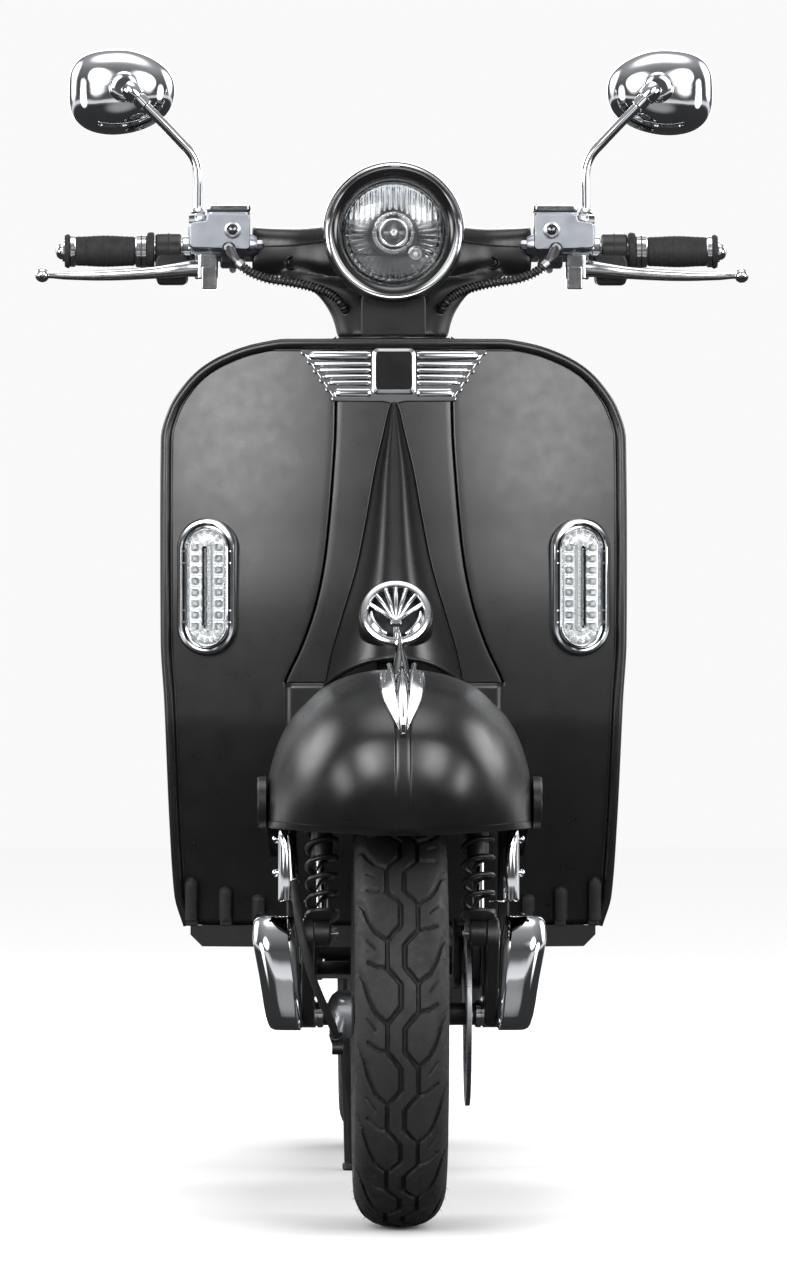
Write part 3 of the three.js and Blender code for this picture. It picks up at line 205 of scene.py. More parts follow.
class Nodes:
    """Short calls for the nodes of one material, in object space, so a grain keeps its real size."""

    def __init__(self, name):
        self.material = bpy.data.materials.new(name)
        self.material.use_nodes = True
        self.tree = self.material.node_tree
        self.shader = self.tree.nodes["Principled BSDF"]
        self.place = self.add("ShaderNodeTexCoord").outputs["Object"]
        MATERIALS[name] = self.material

    def add(self, kind, **settings):
        node = self.tree.nodes.new(kind)
        for key, value in settings.items():
            setattr(node, key, value)
        return node

    def link(self, output, socket):
        self.tree.links.new(output, socket)

    def set(self, **values):
        for key, value in values.items():
            self.shader.inputs[key.replace("_", " ")].default_value = value

    def noise(self, scale, detail=4, stretch=(1, 1, 1)):
        mapping = self.add("ShaderNodeMapping")
        mapping.inputs["Scale"].default_value = stretch
        self.link(self.place, mapping.inputs["Vector"])
        noise = self.add("ShaderNodeTexNoise")
        noise.inputs["Scale"].default_value = scale
        noise.inputs["Detail"].default_value = detail
        noise.inputs["Roughness"].default_value = 0.5
        self.link(mapping.outputs["Vector"], noise.inputs["Vector"])
        return noise.outputs["Fac"]

    def cells(self, scale):
        cells = self.add("ShaderNodeTexVoronoi", feature="F1")
        cells.inputs["Scale"].default_value = scale
        self.link(self.place, cells.inputs["Vector"])
        return cells.outputs["Distance"]

    def spread(self, value, low, high):
        """A texture's value as a number from low to high."""
        span = self.add("ShaderNodeMapRange")
        span.inputs["From Min"].default_value = TEXTURE_LOW
        span.inputs["From Max"].default_value = TEXTURE_HIGH
        span.inputs["To Min"].default_value = low
        span.inputs["To Max"].default_value = high
        self.link(value, span.inputs["Value"])
        return span.outputs["Result"]

    def colours(self, value, first, second):
        ramp = self.add("ShaderNodeValToRGB")
        ramp.color_ramp.elements[0].position = TEXTURE_LOW
        ramp.color_ramp.elements[0].color = (*first, 1)
        ramp.color_ramp.elements[1].position = TEXTURE_HIGH
        ramp.color_ramp.elements[1].color = (*second, 1)
        self.link(value, ramp.inputs["Fac"])
        self.link(ramp.outputs["Color"], self.shader.inputs["Base Color"])

    def roughness(self, value, low, high):
        self.link(self.spread(value, low, high), self.shader.inputs["Roughness"])

    def bump(self, value, height_mm, strength=1.0):
        bump = self.add("ShaderNodeBump")
        bump.inputs["Distance"].default_value = height_mm * MM
        bump.inputs["Strength"].default_value = strength
        self.link(value, bump.inputs["Height"])
        before = self.shader.inputs["Normal"].links
        if before:
            self.link(before[0].from_socket, bump.inputs["Normal"])
        self.link(bump.outputs["Normal"], self.shader.inputs["Normal"])


def paint_black(name, colour, low, high, coat, coat_roughness):
    """Sprayed paint: faint cloudiness, orange peel, and fine dust in the sheen."""
    n = Nodes(name)
    n.colours(n.noise(5), colour, tuple(c * 1.35 for c in colour))
    n.roughness(n.noise(60, detail=6), low, high)
    n.bump(n.noise(420, detail=2), 0.02, 0.35)
    n.bump(n.noise(1900, detail=2), 0.006, 0.4)
    n.set(Coat_Weight=coat, Coat_Roughness=coat_roughness, Specular_IOR_Level=0.5)


def metal(name, colour, low, high, grain=0.0, grain_scale=300, stretch=(1, 1, 1)):
    """Bare or plated metal: smears in the polish, and a cast or brushed grain where grain is over 0."""
    n = Nodes(name)
    n.colours(n.noise(24, detail=5), tuple(c * 0.93 for c in colour), colour)
    n.roughness(n.noise(90, detail=6, stretch=stretch), low, high)
    n.set(Metallic=1.0)
    if grain:
        n.bump(n.noise(grain_scale, detail=4, stretch=stretch), grain, 0.6)


def soft_black(name, colour, low, high, grain, scale, speckle=0.0):
    """Moulded plastic or rubber with a fine leathery grain."""
    n = Nodes(name)
    n.colours(n.noise(14, detail=6), colour, tuple(c * 1.6 for c in colour))
    n.roughness(n.noise(120, detail=5), low, high)
    n.bump(n.cells(scale), grain, 0.5)
    if speckle:
        n.bump(n.noise(scale * 2.3, detail=3), speckle, 0.5)


def make_materials():
    paint_black("satin paint", (0.0042, 0.0043, 0.0047), 0.27, 0.34, 0.15, 0.3)
    paint_black("gloss paint", (0.006, 0.006, 0.0065), 0.1, 0.16, 0.8, 0.04)
    paint_black("frame paint", (0.006, 0.006, 0.0065), 0.32, 0.5, 0.1, 0.3)
    soft_black("moulded plastic", (0.008, 0.008, 0.0085), 0.5, 0.64, 0.05, 1400)
    soft_black("smooth plastic", (0.006, 0.006, 0.0062), 0.28, 0.38, 0.015, 1700)
    soft_black("rubber", (0.007, 0.007, 0.0072), 0.6, 0.8, 0.04, 1500, 0.02)
    soft_black("tyre rubber", (0.006, 0.006, 0.0064), 0.55, 0.78, 0.05, 1100, 0.03)
    metal("chrome", (0.83, 0.85, 0.87), 0.03, 0.07)
    metal("cast alloy", (0.46, 0.48, 0.53), 0.3, 0.38, 0.008, 500)
    metal("polished alloy", (0.78, 0.79, 0.81), 0.12, 0.2, 0.01, 500)
    metal("rim alloy", (0.55, 0.56, 0.58), 0.28, 0.4, 0.03, 500)
    metal("steel", (0.5, 0.51, 0.53), 0.25, 0.4, 0.01, 260, (1, 1, 6))
    metal("dark steel", (0.1, 0.1, 0.105), 0.3, 0.45, 0.02, 500)
    metal("engine alloy", (0.42, 0.43, 0.45), 0.38, 0.55, 0.05, 400)

    n = Nodes("seat vinyl")
    n.colours(n.noise(9, detail=5), (0.012, 0.012, 0.0125), (0.02, 0.02, 0.021))
    n.roughness(n.cells(900), 0.38, 0.52)
    n.bump(n.cells(900), 0.16, 0.6)
    n.bump(n.noise(40, detail=4), 0.3, 0.3)

    n = Nodes("clear lens")
    n.colours(n.noise(30), (0.95, 0.97, 0.98), (1, 1, 1))
    n.set(Transmission_Weight=1.0, IOR=1.46, Roughness=0.02)

    n = Nodes("reflector")
    n.colours(n.noise(60), (0.84, 0.85, 0.86), (0.92, 0.93, 0.94))
    n.set(Metallic=1.0, Roughness=0.06)

    # The same reflector with its colour darkened: painted shade for the lower half of the headlight bowl.
    n = Nodes("reflector with painted shade")
    n.colours(n.noise(60), (0.2, 0.205, 0.21), (0.42, 0.43, 0.44))
    n.set(Metallic=1.0, Roughness=0.08)

    n = Nodes("reflector foil")
    n.colours(n.cells(420), (0.72, 0.75, 0.78), (0.9, 0.92, 0.94))
    n.bump(n.cells(420), 0.3, 0.6)
    n.set(Metallic=0.9, Roughness=0.16)

    n = Nodes("led")
    n.colours(n.noise(500), (0.85, 0.87, 0.84), (1, 1, 0.96))
    n.set(Roughness=0.12, Coat_Weight=1.0, Coat_Roughness=0.03, Transmission_Weight=0.25)

    for name, low, high in (
        ("red lens", (0.42, 0.01, 0.008), (0.6, 0.02, 0.015)),
        ("amber lens", (0.5, 0.13, 0.01), (0.62, 0.18, 0.02)),
    ):
        n = Nodes(name)
        n.colours(n.cells(260), low, high)
        n.bump(n.cells(260), 0.25, 0.5)
        n.set(Roughness=0.14, Coat_Weight=1.0, Coat_Roughness=0.03)

    n = Nodes("dark glass")
    n.colours(n.noise(40), (0.01, 0.01, 0.011), (0.03, 0.03, 0.032))
    n.set(Roughness=0.06, Coat_Weight=1.0, Coat_Roughness=0.02)

    n = Nodes("white enamel")
    n.colours(n.noise(30), (0.68, 0.69, 0.7), (0.78, 0.79, 0.8))
    n.bump(n.noise(500, detail=2), 0.015, 0.4)
    n.set(Roughness=0.22, Coat_Weight=0.6, Coat_Roughness=0.08)

    n = Nodes("mirror glass")
    n.colours(n.noise(2), (0.86, 0.88, 0.89), (0.9, 0.92, 0.93))
    n.set(Metallic=1.0, Roughness=0.02)


make_materials()


# ---------------------------------------------------------------- curves and meshes, in millimetres

SIDES = (("left", 1), ("right", -1))


def spread(start, stop, count):
    """count + 1 numbers from start to stop."""
    return [start + (stop - start) * i / count for i in range(count + 1)]


def whole_turn(count):
    """count angles, evenly spaced round a whole turn."""
    return spread(0, 2 * math.pi, count)[:-1]


def soft(value, power):
    """A sine or cosine bent towards a squarer outline, with its sign kept."""
    return math.copysign(abs(value) ** power, value)


def smooth(table):
    """A smooth curve through (t, value) pairs that never overshoots them."""
    t = [row[0] for row in table]
    v = [row[1] for row in table]
    slopes = [(v[i + 1] - v[i]) / (t[i + 1] - t[i]) for i in range(len(t) - 1)]
    tangents = [slopes[0]]
    for a, b in zip(slopes, slopes[1:]):
        tangents.append(0 if a * b <= 0 else 2 * a * b / (a + b))
    tangents.append(slopes[-1])

    def curve(at):
        at = min(max(at, t[0]), t[-1])
        i = next((k for k in range(len(t) - 1) if at <= t[k + 1]), len(t) - 2)
        h = t[i + 1] - t[i]
        s = (at - t[i]) / h
        return (v[i] * (1 + 2 * s) * (1 - s) ** 2 + v[i + 1] * s * s * (3 - 2 * s)
                + h * (tangents[i] * s * (1 - s) ** 2 - tangents[i + 1] * s * s * (1 - s)))

    return curve


def path_through(points, count):
    """count + 1 points on a smooth curve through the given ones."""
    points = [Vector(p) for p in points]
    ends = [2 * points[0] - points[1], *points, 2 * points[-1] - points[-2]]
    found = []
    for k in range(count + 1):
        s = k / count * (len(points) - 1)
        i = min(int(s), len(points) - 2)
        t = s - i
        a, b, c, d = ends[i:i + 4]
        found.append(0.5 * ((2 * b) + (c - a) * t + (2 * a - 5 * b + 4 * c - d) * t * t
                            + (3 * b - 3 * c + d - a) * t ** 3))
    return found


def make(name, verts, faces, material, body, slot=None, nodes=(), flip=1, bevel=0, segments=3,
         thick=0, subdivide=0, angle=35):
    """A named piece from a mesh in millimetres; flip of -1 mirrors it to the other side."""
    mesh = bpy.data.meshes.new(name)
    mesh.from_pydata([(v[0] * MM * flip, v[1] * MM, v[2] * MM) for v in verts], [], faces)
    bm = bmesh.new()
    bm.from_mesh(mesh)
    bmesh.ops.remove_doubles(bm, verts=bm.verts, dist=1e-6)
    bmesh.ops.recalc_face_normals(bm, faces=bm.faces)
    bm.to_mesh(mesh)
    bm.free()
    mesh.materials.append(MATERIALS[material])
    mesh.polygons.foreach_set("use_smooth", [True] * len(mesh.polygons))
    mesh.set_sharp_from_angle(angle=RAD(angle))
    obj = bpy.data.objects.new(name, mesh)
    bpy.context.collection.objects.link(obj)
    if thick:
        solid = obj.modifiers.new("thickness", "SOLIDIFY")
        solid.thickness = abs(thick) * MM
        solid.offset = -1 if thick > 0 else 1
    if bevel:
        round_off = obj.modifiers.new("rounding", "BEVEL")
        round_off.width = bevel * MM
        round_off.segments = segments
        round_off.limit_method = "ANGLE"
        round_off.angle_limit = RAD(30)
        round_off.harden_normals = True
    if subdivide:
        fine = obj.modifiers.new("fine", "SUBSURF")
        fine.levels = subdivide
        fine.render_levels = subdivide
    if body:
        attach(obj, body)
    if nodes:
        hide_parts(*nodes)
    return obj


def grid_faces(rows, columns, closed=False):
    faces = []
    for r in range(rows - 1):
        for c in range(columns if closed else columns - 1):
            d = (c + 1) % columns
            faces.append((r * columns + c, r * columns + d, (r + 1) * columns + d, (r + 1) * columns + c))
    return faces


def loft(name, rings, material, body, caps=True, **how):
    """A skin over closed rings of equal count, with flat ends."""
    count = len(rings[0])
    verts = [p for ring in rings for p in ring]
    faces = grid_faces(len(rings), count, closed=True)
    if caps:
        faces.append(tuple(range(count)))
        faces.append(tuple((len(rings) - 1) * count + i for i in range(count)))
    return make(name, verts, faces, material, body, **how)


def lathe(name, profile, axis, centre, material, body, segments=72, **how):
    """A turned piece. profile is (radius, distance along axis); equal ends close it into a ring."""
    axis = Vector(axis).normalized()
    across = axis.orthogonal().normalized()
    up = axis.cross(across)
    centre = Vector(centre)
    rings = []
    for i in range(segments):
        turn = 2 * math.pi * i / segments
        out = across * math.cos(turn) + up * math.sin(turn)
        rings.append([tuple(centre + out * r + axis * h) for r, h in profile])
    count = len(profile)
    verts = [p for ring in rings for p in ring]
    faces = []
    for i in range(segments):
        j = (i + 1) % segments
        faces += [(i * count + c, j * count + c, j * count + c + 1, i * count + c + 1)
                  for c in range(count - 1)]
    return make(name, verts, faces, material, body, **how)


def tube_rings(points, radius, sides):
    """Rings round a path, carried along it without twist. radius is a number or a function of 0 to 1."""
    points = [Vector(p) for p in points]
    size = radius if callable(radius) else lambda t: radius
    side = None
    rings = []
    for i, p in enumerate(points):
        ahead = points[min(i + 1, len(points) - 1)] - points[max(i - 1, 0)]
        ahead.normalize()
        side = (side - ahead * side.dot(ahead)).normalized() if side else ahead.orthogonal().normalized()
        up = ahead.cross(side)
        r = size(i / (len(points) - 1))
        rings.append([tuple(p + side * r * math.cos(2 * math.pi * k / sides)
                            + up * r * math.sin(2 * math.pi * k / sides)) for k in range(sides)])
    return rings


def tube(name, points, radius, material, body, sides=20, **how):
    return loft(name, tube_rings(points, radius, sides), material, body, **how)


def rod(name, start, end, radius, material, body, sides=40, bevel=0.6, **how):
    return loft(name, tube_rings([start, end], radius, sides), material, body, bevel=bevel, **how)


def slab(name, outline, axis, low, high, material, body, bevel=1.0, **how):
    """An outline in a plane, made solid from low to high across it. "x": (y, z). "y": (x, z). "z": (x, y)."""
    place = {
        "x": lambda u, v, w: (w, u, v),
        "y": lambda u, v, w: (u, w, v),
        "z": lambda u, v, w: (u, v, w),
    }[axis]
    rings = [[place(u, v, w) for u, v in outline] for w in (low, high)]
    return loft(name, rings, material, body, bevel=bevel, **how)


def block(name, low, high, material, body, bevel=2.0, **how):
    outline = [(low[0], low[1]), (high[0], low[1]), (high[0], high[1]), (low[0], high[1])]
    return slab(name, outline, "z", low[2], high[2], material, body, bevel=bevel, **how)


def rounded(points, radius, steps=6):
    """An outline with its corners rounded off."""
    found = []
    count = len(points)
    for i in range(count):
        corner = Vector(points[i])
        before = Vector(points[i - 1]) - corner
        after = Vector(points[(i + 1) % count]) - corner
        reach = min(radius, before.length * 0.45, after.length * 0.45)
        a = corner + before.normalized() * reach
        b = corner + after.normalized() * reach
        for t in spread(0, 1, steps):
            found.append(tuple((1 - t) ** 2 * a + 2 * t * (1 - t) * corner + t * t * b))
    return found


def rounded_box(left, low, right, high, radius, steps=6):
    return rounded([(left, low), (right, low), (right, high), (left, high)], radius, steps)


def circle(centre, radius, count):
    return [(centre[0] + radius * math.cos(a), centre[1] + radius * math.sin(a)) for a in whole_turn(count)]


def oval(half_width, half_height, count=24):
    """An upright oval with straight sides, anticlockwise from its right."""
    straight = half_height - half_width
    top = [(half_width * math.cos(a), straight + half_width * math.sin(a)) for a in spread(0, math.pi, count)]
    low = [(-x, -z) for x, z in top]
    return top + low


def bolt(name, at, axis, radius, material, body, height=4.0, **how):
    """A hexagon-socket bolt head."""
    socket = radius * 0.52
    profile = [(0, height * 0.35), (socket, height * 0.35), (socket, height), (radius * 0.86, height),
               (radius, height * 0.8), (radius, 0), (0, 0)]
    return lathe(name, profile, axis, at, material, body, segments=30, angle=30, **how)


def row_curve(table):
    """Smooth curves for every column of a table, over the length of its own line."""
    at = [0.0]
    for a, b in zip(table, table[1:]):
        at.append(at[-1] + math.dist(a, b))
    curves = [smooth([(s, row[k]) for s, row in zip(at, table)]) for k in range(len(table[0]))]
    return lambda t: [curve(t * at[-1]) for curve in curves]


def by_first(table, column=1):
    """A smooth curve from a table's first column to another one."""
    return smooth([(row[0], row[column]) for row in table])


def flute(value, pitch):
    """A rounded wave from 0 to 1 with sharp valleys."""
    return abs(math.sin(math.pi * value / pitch))


# ---------------------------------------------------------------- leg shield

SHIELD_EDGE = [(284, 214), (315, 223), (392, 228), (514, 233), (575, 236.5), (700, 237), (780, 236.5),
               (808, 229), (830, 215.5), (848, 198), (861, 176), (871, 148), (877, 114), (880.5, 80),
               (881, 59)]
shield_middle = by_first([(284, -349), (300, -352), (400, -376), (458, -388), (500, -394), (600, -398),
                          (700, -392), (800, -380), (881, -366)])
seam_x = by_first([(530, 111), (534.5, 109.5), (571, 92.8), (614.5, 78.6), (659.6, 70), (702.8, 65.4),
                   (747, 62), (788, 59.6), (881, 58)])
SHIELD_HALF, SHIELD_SWEEP = 236.5, 35  # half its width, and how far its sides sweep back
SEAM_FOOT = 532
SEAM_HALF = 0.7


def shield_y(x, z):
    return shield_middle(z) + SHIELD_SWEEP * (x / SHIELD_HALF) ** 2


def on_shield(x, z, ahead=0.0):
    """A point that stands ahead of the skin, square to it across the scooter."""
    slope = 2 * SHIELD_SWEEP * x / SHIELD_HALF ** 2
    length = math.hypot(1, slope)
    return (x + ahead * slope / length, shield_y(x, z) - ahead / length, z)


def make_shield():
    edge = row_curve(SHIELD_EDGE)
    rows = [tuple(edge(t)) for t in spread(0, 1, 110)]
    rows += [(SEAM_FOOT + side * SEAM_HALF, 233.6) for side in (-1, 1)]
    rows.sort()
    inner = spread(0, 1, 12)
    outer = spread(0, 1, 26)

    def panel(name, columns_of, keep):
        """columns_of(z, half) gives a row of (x, dip) pairs."""
        verts, faces = [], []
        kept = [r for r in rows if keep(r[0])]
        for z, half in kept:
            verts += [on_shield(x, z, -dip) for x, dip in columns_of(z, half)]
        count = len(verts) // len(kept)
        faces = grid_faces(len(kept), count)
        make(name, verts, faces, "satin paint", "chassis", nodes=["leg_shield"], thick=4.6, angle=50)

    for side, sign in SIDES:
        def outside(z, half, sign=sign):
            start = seam_x(z) + SEAM_HALF if z > SEAM_FOOT else seam_x(0)
            rise = [(0, 1.4), (0.5, 0.5), (1.3, 0.1)] if z > SEAM_FOOT else [(0, 0), (0.5, 0), (1.3, 0)]
            xs = [(start + d, dip) for d, dip in rise]
            xs += [(start + 2.4 + (half - 5 - start - 2.4) * t, 0) for t in outer]
            return [(sign * x, dip) for x, dip in xs]

        panel(f"shield_skin_{side}", outside, lambda z: True)

    def middle(z, half):
        reach = min(seam_x(z) - SEAM_HALF, half - 4)
        xs = [(reach * t * 0.97, 0) for t in inner] + [(reach - 1.2, 0.1), (reach - 0.5, 0.5), (reach, 1.4)]
        return [(-x, dip) for x, dip in reversed(xs)] + xs[1:]

    panel("shield_centre", middle, lambda z: z > SEAM_FOOT)
    panel("shield_foot", lambda z, half: [(seam_x(0) * t, 0) for t in spread(-1, 1, 24)],
          lambda z: z < SEAM_FOOT)

    for side, sign in SIDES:
        line = [on_shield(w - 5, min(z, 876.5), 1.5) for z, w in (edge(t) for t in spread(0, 1, 120))]
        tube(f"shield_bead_{side}", line, 5.2, "satin paint", "chassis", flip=sign, nodes=["leg_shield"])
        groove = [on_shield(w - 11, min(z, 870), 0.1) for z, w in (edge(t) for t in spread(0.01, 1, 120))]
        tube(f"shield_roll_{side}", groove, 1.3, "satin paint", "chassis", sides=10, flip=sign,
             nodes=["leg_shield"])
        sleeve = [on_shield(x, 876.4, 1.5) for x in spread(0, 57, 12)]
        tube(f"bead_sleeve_{side}", sleeve, 6.0, "satin paint", "chassis", flip=sign, nodes=["leg_shield"])
        for number, (x, top) in enumerate(((205, 340), (170.5, 331), (137, 323))):
            path = [on_shield(x, z, 4) for z in spread(290, top - 7, 14)]
            ends = lambda t: 6.6 * min(1, math.sqrt(max(0.02, 1 - max(0, (t - 0.8) / 0.2) ** 2)))
            tube(f"shield_rib_{side}_{number}", path, ends, "rubber", "chassis", flip=sign,
                 slot="matte_black", nodes=["leg_shield"])
            block(f"rib_foot_{side}_{number}", (x - 6, shield_y(x, 288) - 6, 283),
                  (x + 6, shield_y(x, 288) + 1, 293), "rubber", "chassis", flip=sign, slot="matte_black",
                  nodes=["leg_shield"])


# ---------------------------------------------------------------- horn cover and grille

SPINE = [(528, 69.7, -524), (557, 64, -513), (569, 61, -507), (600, 52, -492), (650, 37.5, -464),
         (700, 27.5, -438), (750, 18.5, -414), (790, 9, -396), (808, 5, -388), (817, 1.2, -384)]
spine_half = by_first(SPINE)
spine_front = by_first(SPINE, 2)
GRILLE = Vector((0, -492, 601))
GRILLE_NORMAL = Vector((0, -math.cos(0.45), math.sin(0.45)))
ARCH_Z, ARCH_RADIUS = 459, 98


def on_spine(u, z, inset=0.0):
    base = shield_middle(z) - 0.6
    return (u * spine_half(z), base - (base - spine_front(z) - inset) * (1 - abs(u) ** 2.4), z)


def make_spine():
    columns = [math.sin(a) for a in spread(-math.pi / 2, math.pi / 2, 56)]
    feet = []
    for u in columns:
        z = 528.0
        for _ in range(30):
            z = ARCH_Z + math.sqrt(max(0, ARCH_RADIUS ** 2 - (spine_half(z) * u) ** 2))
        feet.append(z)
    rows = [t ** 1.15 for t in spread(0, 1, 96)]
    verts = [on_spine(u, z0 + (817 - z0) * t) for t in rows for u, z0 in zip(columns, feet)]
    faces = []
    for face in grid_faces(len(rows), len(columns)):
        centre = sum((Vector(verts[i]) for i in face), Vector()) / 4 - GRILLE
        across = centre - GRILLE_NORMAL * centre.dot(GRILLE_NORMAL)
        if across.length > 30.5:
            faces.append(face)
    make("horn_spine", verts, faces, "satin paint", "chassis", nodes=["horn_cover"], thick=3.2, angle=50)
    line = [Vector(on_spine(u, z0)) + Vector((0, 0, 0.6)) for u, z0 in zip(columns, feet)]
    tube("spine_lip", line, 2.6, "satin paint", "chassis", sides=12, nodes=["horn_cover"])
    for side, sign in SIDES:
        edge = [on_shield(spine_half(z) + 1.4, z, 0.5) for z in spread(530, 818, 60)]
        tube(f"spine_flange_{side}", edge, 1.2, "satin paint", "chassis", sides=10, flip=sign,
             nodes=["horn_cover"])
    boss = [(29.4, -30), (37.5, -30), (37.5, -7), (36.6, -3), (34.5, -0.6), (33, 0.6), (29.4, 0.6),
            (29.4, -30)]
    lathe("grille_boss", boss, GRILLE_NORMAL, GRILLE, "satin paint", "chassis", nodes=["horn_cover"])


def make_grille():
    ring = [(27.2, -4), (35.4, -2), (36, 1), (34.8, 4.2), (32, 5.6), (29, 5.4), (27.4, 3.6), (27.2, -4)]
    lathe("grille_ring", ring, GRILLE_NORMAL, GRILLE, "polished alloy", "chassis", segments=96, slot="chrome",
          nodes=["horn_grille"])
    bowl = [(27.8, 1), (26.4, -3), (23.5, -7.5), (18, -12), (10, -14.5), (0.01, -15)]
    lathe("grille_bowl", bowl, GRILLE_NORMAL, GRILLE, "dark steel", "chassis", slot="satin_black", thick=-1.5,
          nodes=["horn_grille"])
    up = Vector((0, GRILLE_NORMAL.z, -GRILLE_NORMAL.y))
    right = Vector((1, 0, 0))

    def spot(x, y, lift):
        return GRILLE + right * x + up * y + GRILLE_NORMAL * lift

    for number, angle in enumerate((-1.22, -0.78, -0.38, 0, 0.38, 0.78, 1.22)):
        tip = spot(27.6 * math.sin(angle), 27.6 * math.cos(angle), 2.2)
        root = spot(3.2 * math.sin(angle), -9 + 3 * math.cos(angle), 3.4)
        middle = root.lerp(tip, 0.5) + GRILLE_NORMAL * 1.8
        width = lambda t: 1.5 + 1.1 * t
        tube(f"grille_vane_{number}", path_through([root, middle, tip], 12), width, "chrome", "chassis",
             sides=14, nodes=["horn_grille"])
    hub = [(0.01, 6.4), (4, 6), (6.4, 3.6), (7.4, 0.5), (7.4, -4), (0.01, -4)]
    lathe("grille_hub", hub, GRILLE_NORMAL, spot(0, -10, 0), "chrome", "chassis", nodes=["horn_grille"])
    for side, sign in SIDES:
        brow = [spot(24.5 * math.sin(a), 24.5 * math.cos(a), 1.5) for a in spread(1.5, 2.75, 12)]
        tube(f"grille_brow_{side}", brow, lambda t: 3.6 * math.sin(math.pi * (0.12 + 0.76 * t)), "chrome",
             "chassis", flip=sign, nodes=["horn_grille"])
    foot = [spot(0, -14, 1.5), spot(0, -20, 2.2), spot(0, -27.5, 1.5)]
    tube("grille_foot", path_through(foot, 10), 3.4, "chrome", "chassis", nodes=["horn_grille"])
    slot_shape = rounded_box(-5.4, -1.6, 5.4, 1.6, 1)
    low = [tuple(spot(x, -15.5 + y, 5.2)) for x, y in slot_shape]
    high = [tuple(spot(x, -15.5 + y, 6.0)) for x, y in slot_shape]
    loft("grille_slot", [low, high], "gloss paint", "chassis", slot="chrome", nodes=["horn_grille"])


# ---------------------------------------------------------------- ribbed trim and indicators

PLAQUE = [(-18.5, 829), (18.5, 829), (18.5, 868), (-18.5, 868)]


def on_trim(outline, ahead):
    return [on_shield(x, z, ahead) for x, z in outline]


def make_trim():
    right = []
    for t in spread(0, 1, 5):
        x, z = 59 + 31 * t, 820.5 + 9.4 * 5 * t
        right += [(x, z - 2.8), (x + 3.4, z - 2.2), (x + 4.6, z), (x + 3.4, z + 2.6)]
    outline = right + [(-x, z) for x, z in reversed(right)]
    foot = [(-12, 817.7), (-5, 816.2), (0, 814.4), (5, 816.2), (12, 817.7)]
    outline = outline + [(-40, 817.7)] + foot + [(40, 817.7)]
    rings = [on_trim(outline, ahead) for ahead in (0.2, 3.0)]
    loft("trim_base", rings, "chrome", "chassis", nodes=["trim_plate"], bevel=0.9, angle=30)
    levels = [(864.5, 88, 4.3)] + [(855.2 - 6.3 * i, 83 - 5.2 * i, 2.2)
                                   for i in range(4)] + [(826.2, 61, 4.3)]
    for side, sign in SIDES:
        for number, (z, reach, half) in enumerate(levels):
            bar = []
            for x in spread(23.5, reach, 16):
                inside = min(1.0, (reach - x) / half, (x - 23.5) / half + 0.35)
                size = half * math.sqrt(max(0.03, 1 - (1 - inside) ** 2))
                bar.append([on_shield(x, z + size * math.cos(a),
                                      3 + 2.2 * max(0, math.sin(a)) ** 0.8 * size / half)
                            for a in whole_turn(20)])
            loft(f"trim_bar_{side}_{number}", bar, "chrome", "chassis", flip=sign, nodes=["trim_plate"])
    ring = rounded(PLAQUE, 5)
    wide = rounded([(x * 1.2, z + (3.4 if z > 850 else -3.4)) for x, z in PLAQUE], 7)
    rings = [on_trim(wide, 1.0), on_trim(wide, 5.2), on_trim(ring, 6.4), on_trim(ring, 2)]
    loft("plaque_frame", rings, "chrome", "chassis", caps=False, nodes=["trim_plate"], bevel=0.5)
    rings = [on_trim(ring, 2.5), on_trim(ring, 4.6)]
    loft("plaque", rings, "gloss paint", "chassis", nodes=["trim_plate"], bevel=0.4)


INDICATOR_X, INDICATOR_Z = 189, 629
LAMP_STRAIGHT = 39
LED_CUP = [(6.4, 1.2), (6.2, 4.4), (5.0, 4.6), (2.8, 1.8), (2.8, 1.2)]
LED_DOME = [(2.7, 1.6), (2.6, 3.4), (1.8, 4.8), (0.3, 5.4)]
SLANT = math.atan(2 * SHIELD_SWEEP * INDICATOR_X / SHIELD_HALF ** 2)


def in_indicator(u, w, lift):
    y = shield_y(INDICATOR_X, INDICATOR_Z)
    return (INDICATOR_X + u * math.cos(SLANT) + lift * math.sin(SLANT),
            y + u * math.sin(SLANT) - lift * math.cos(SLANT), INDICATOR_Z + w)


def indicator_rings(section):
    """section: (half width, lift) pairs of ovals whose half height is LAMP_STRAIGHT more."""
    return [[in_indicator(u, w, lift) for u, w in oval(half, half + LAMP_STRAIGHT)] for half, lift in section]


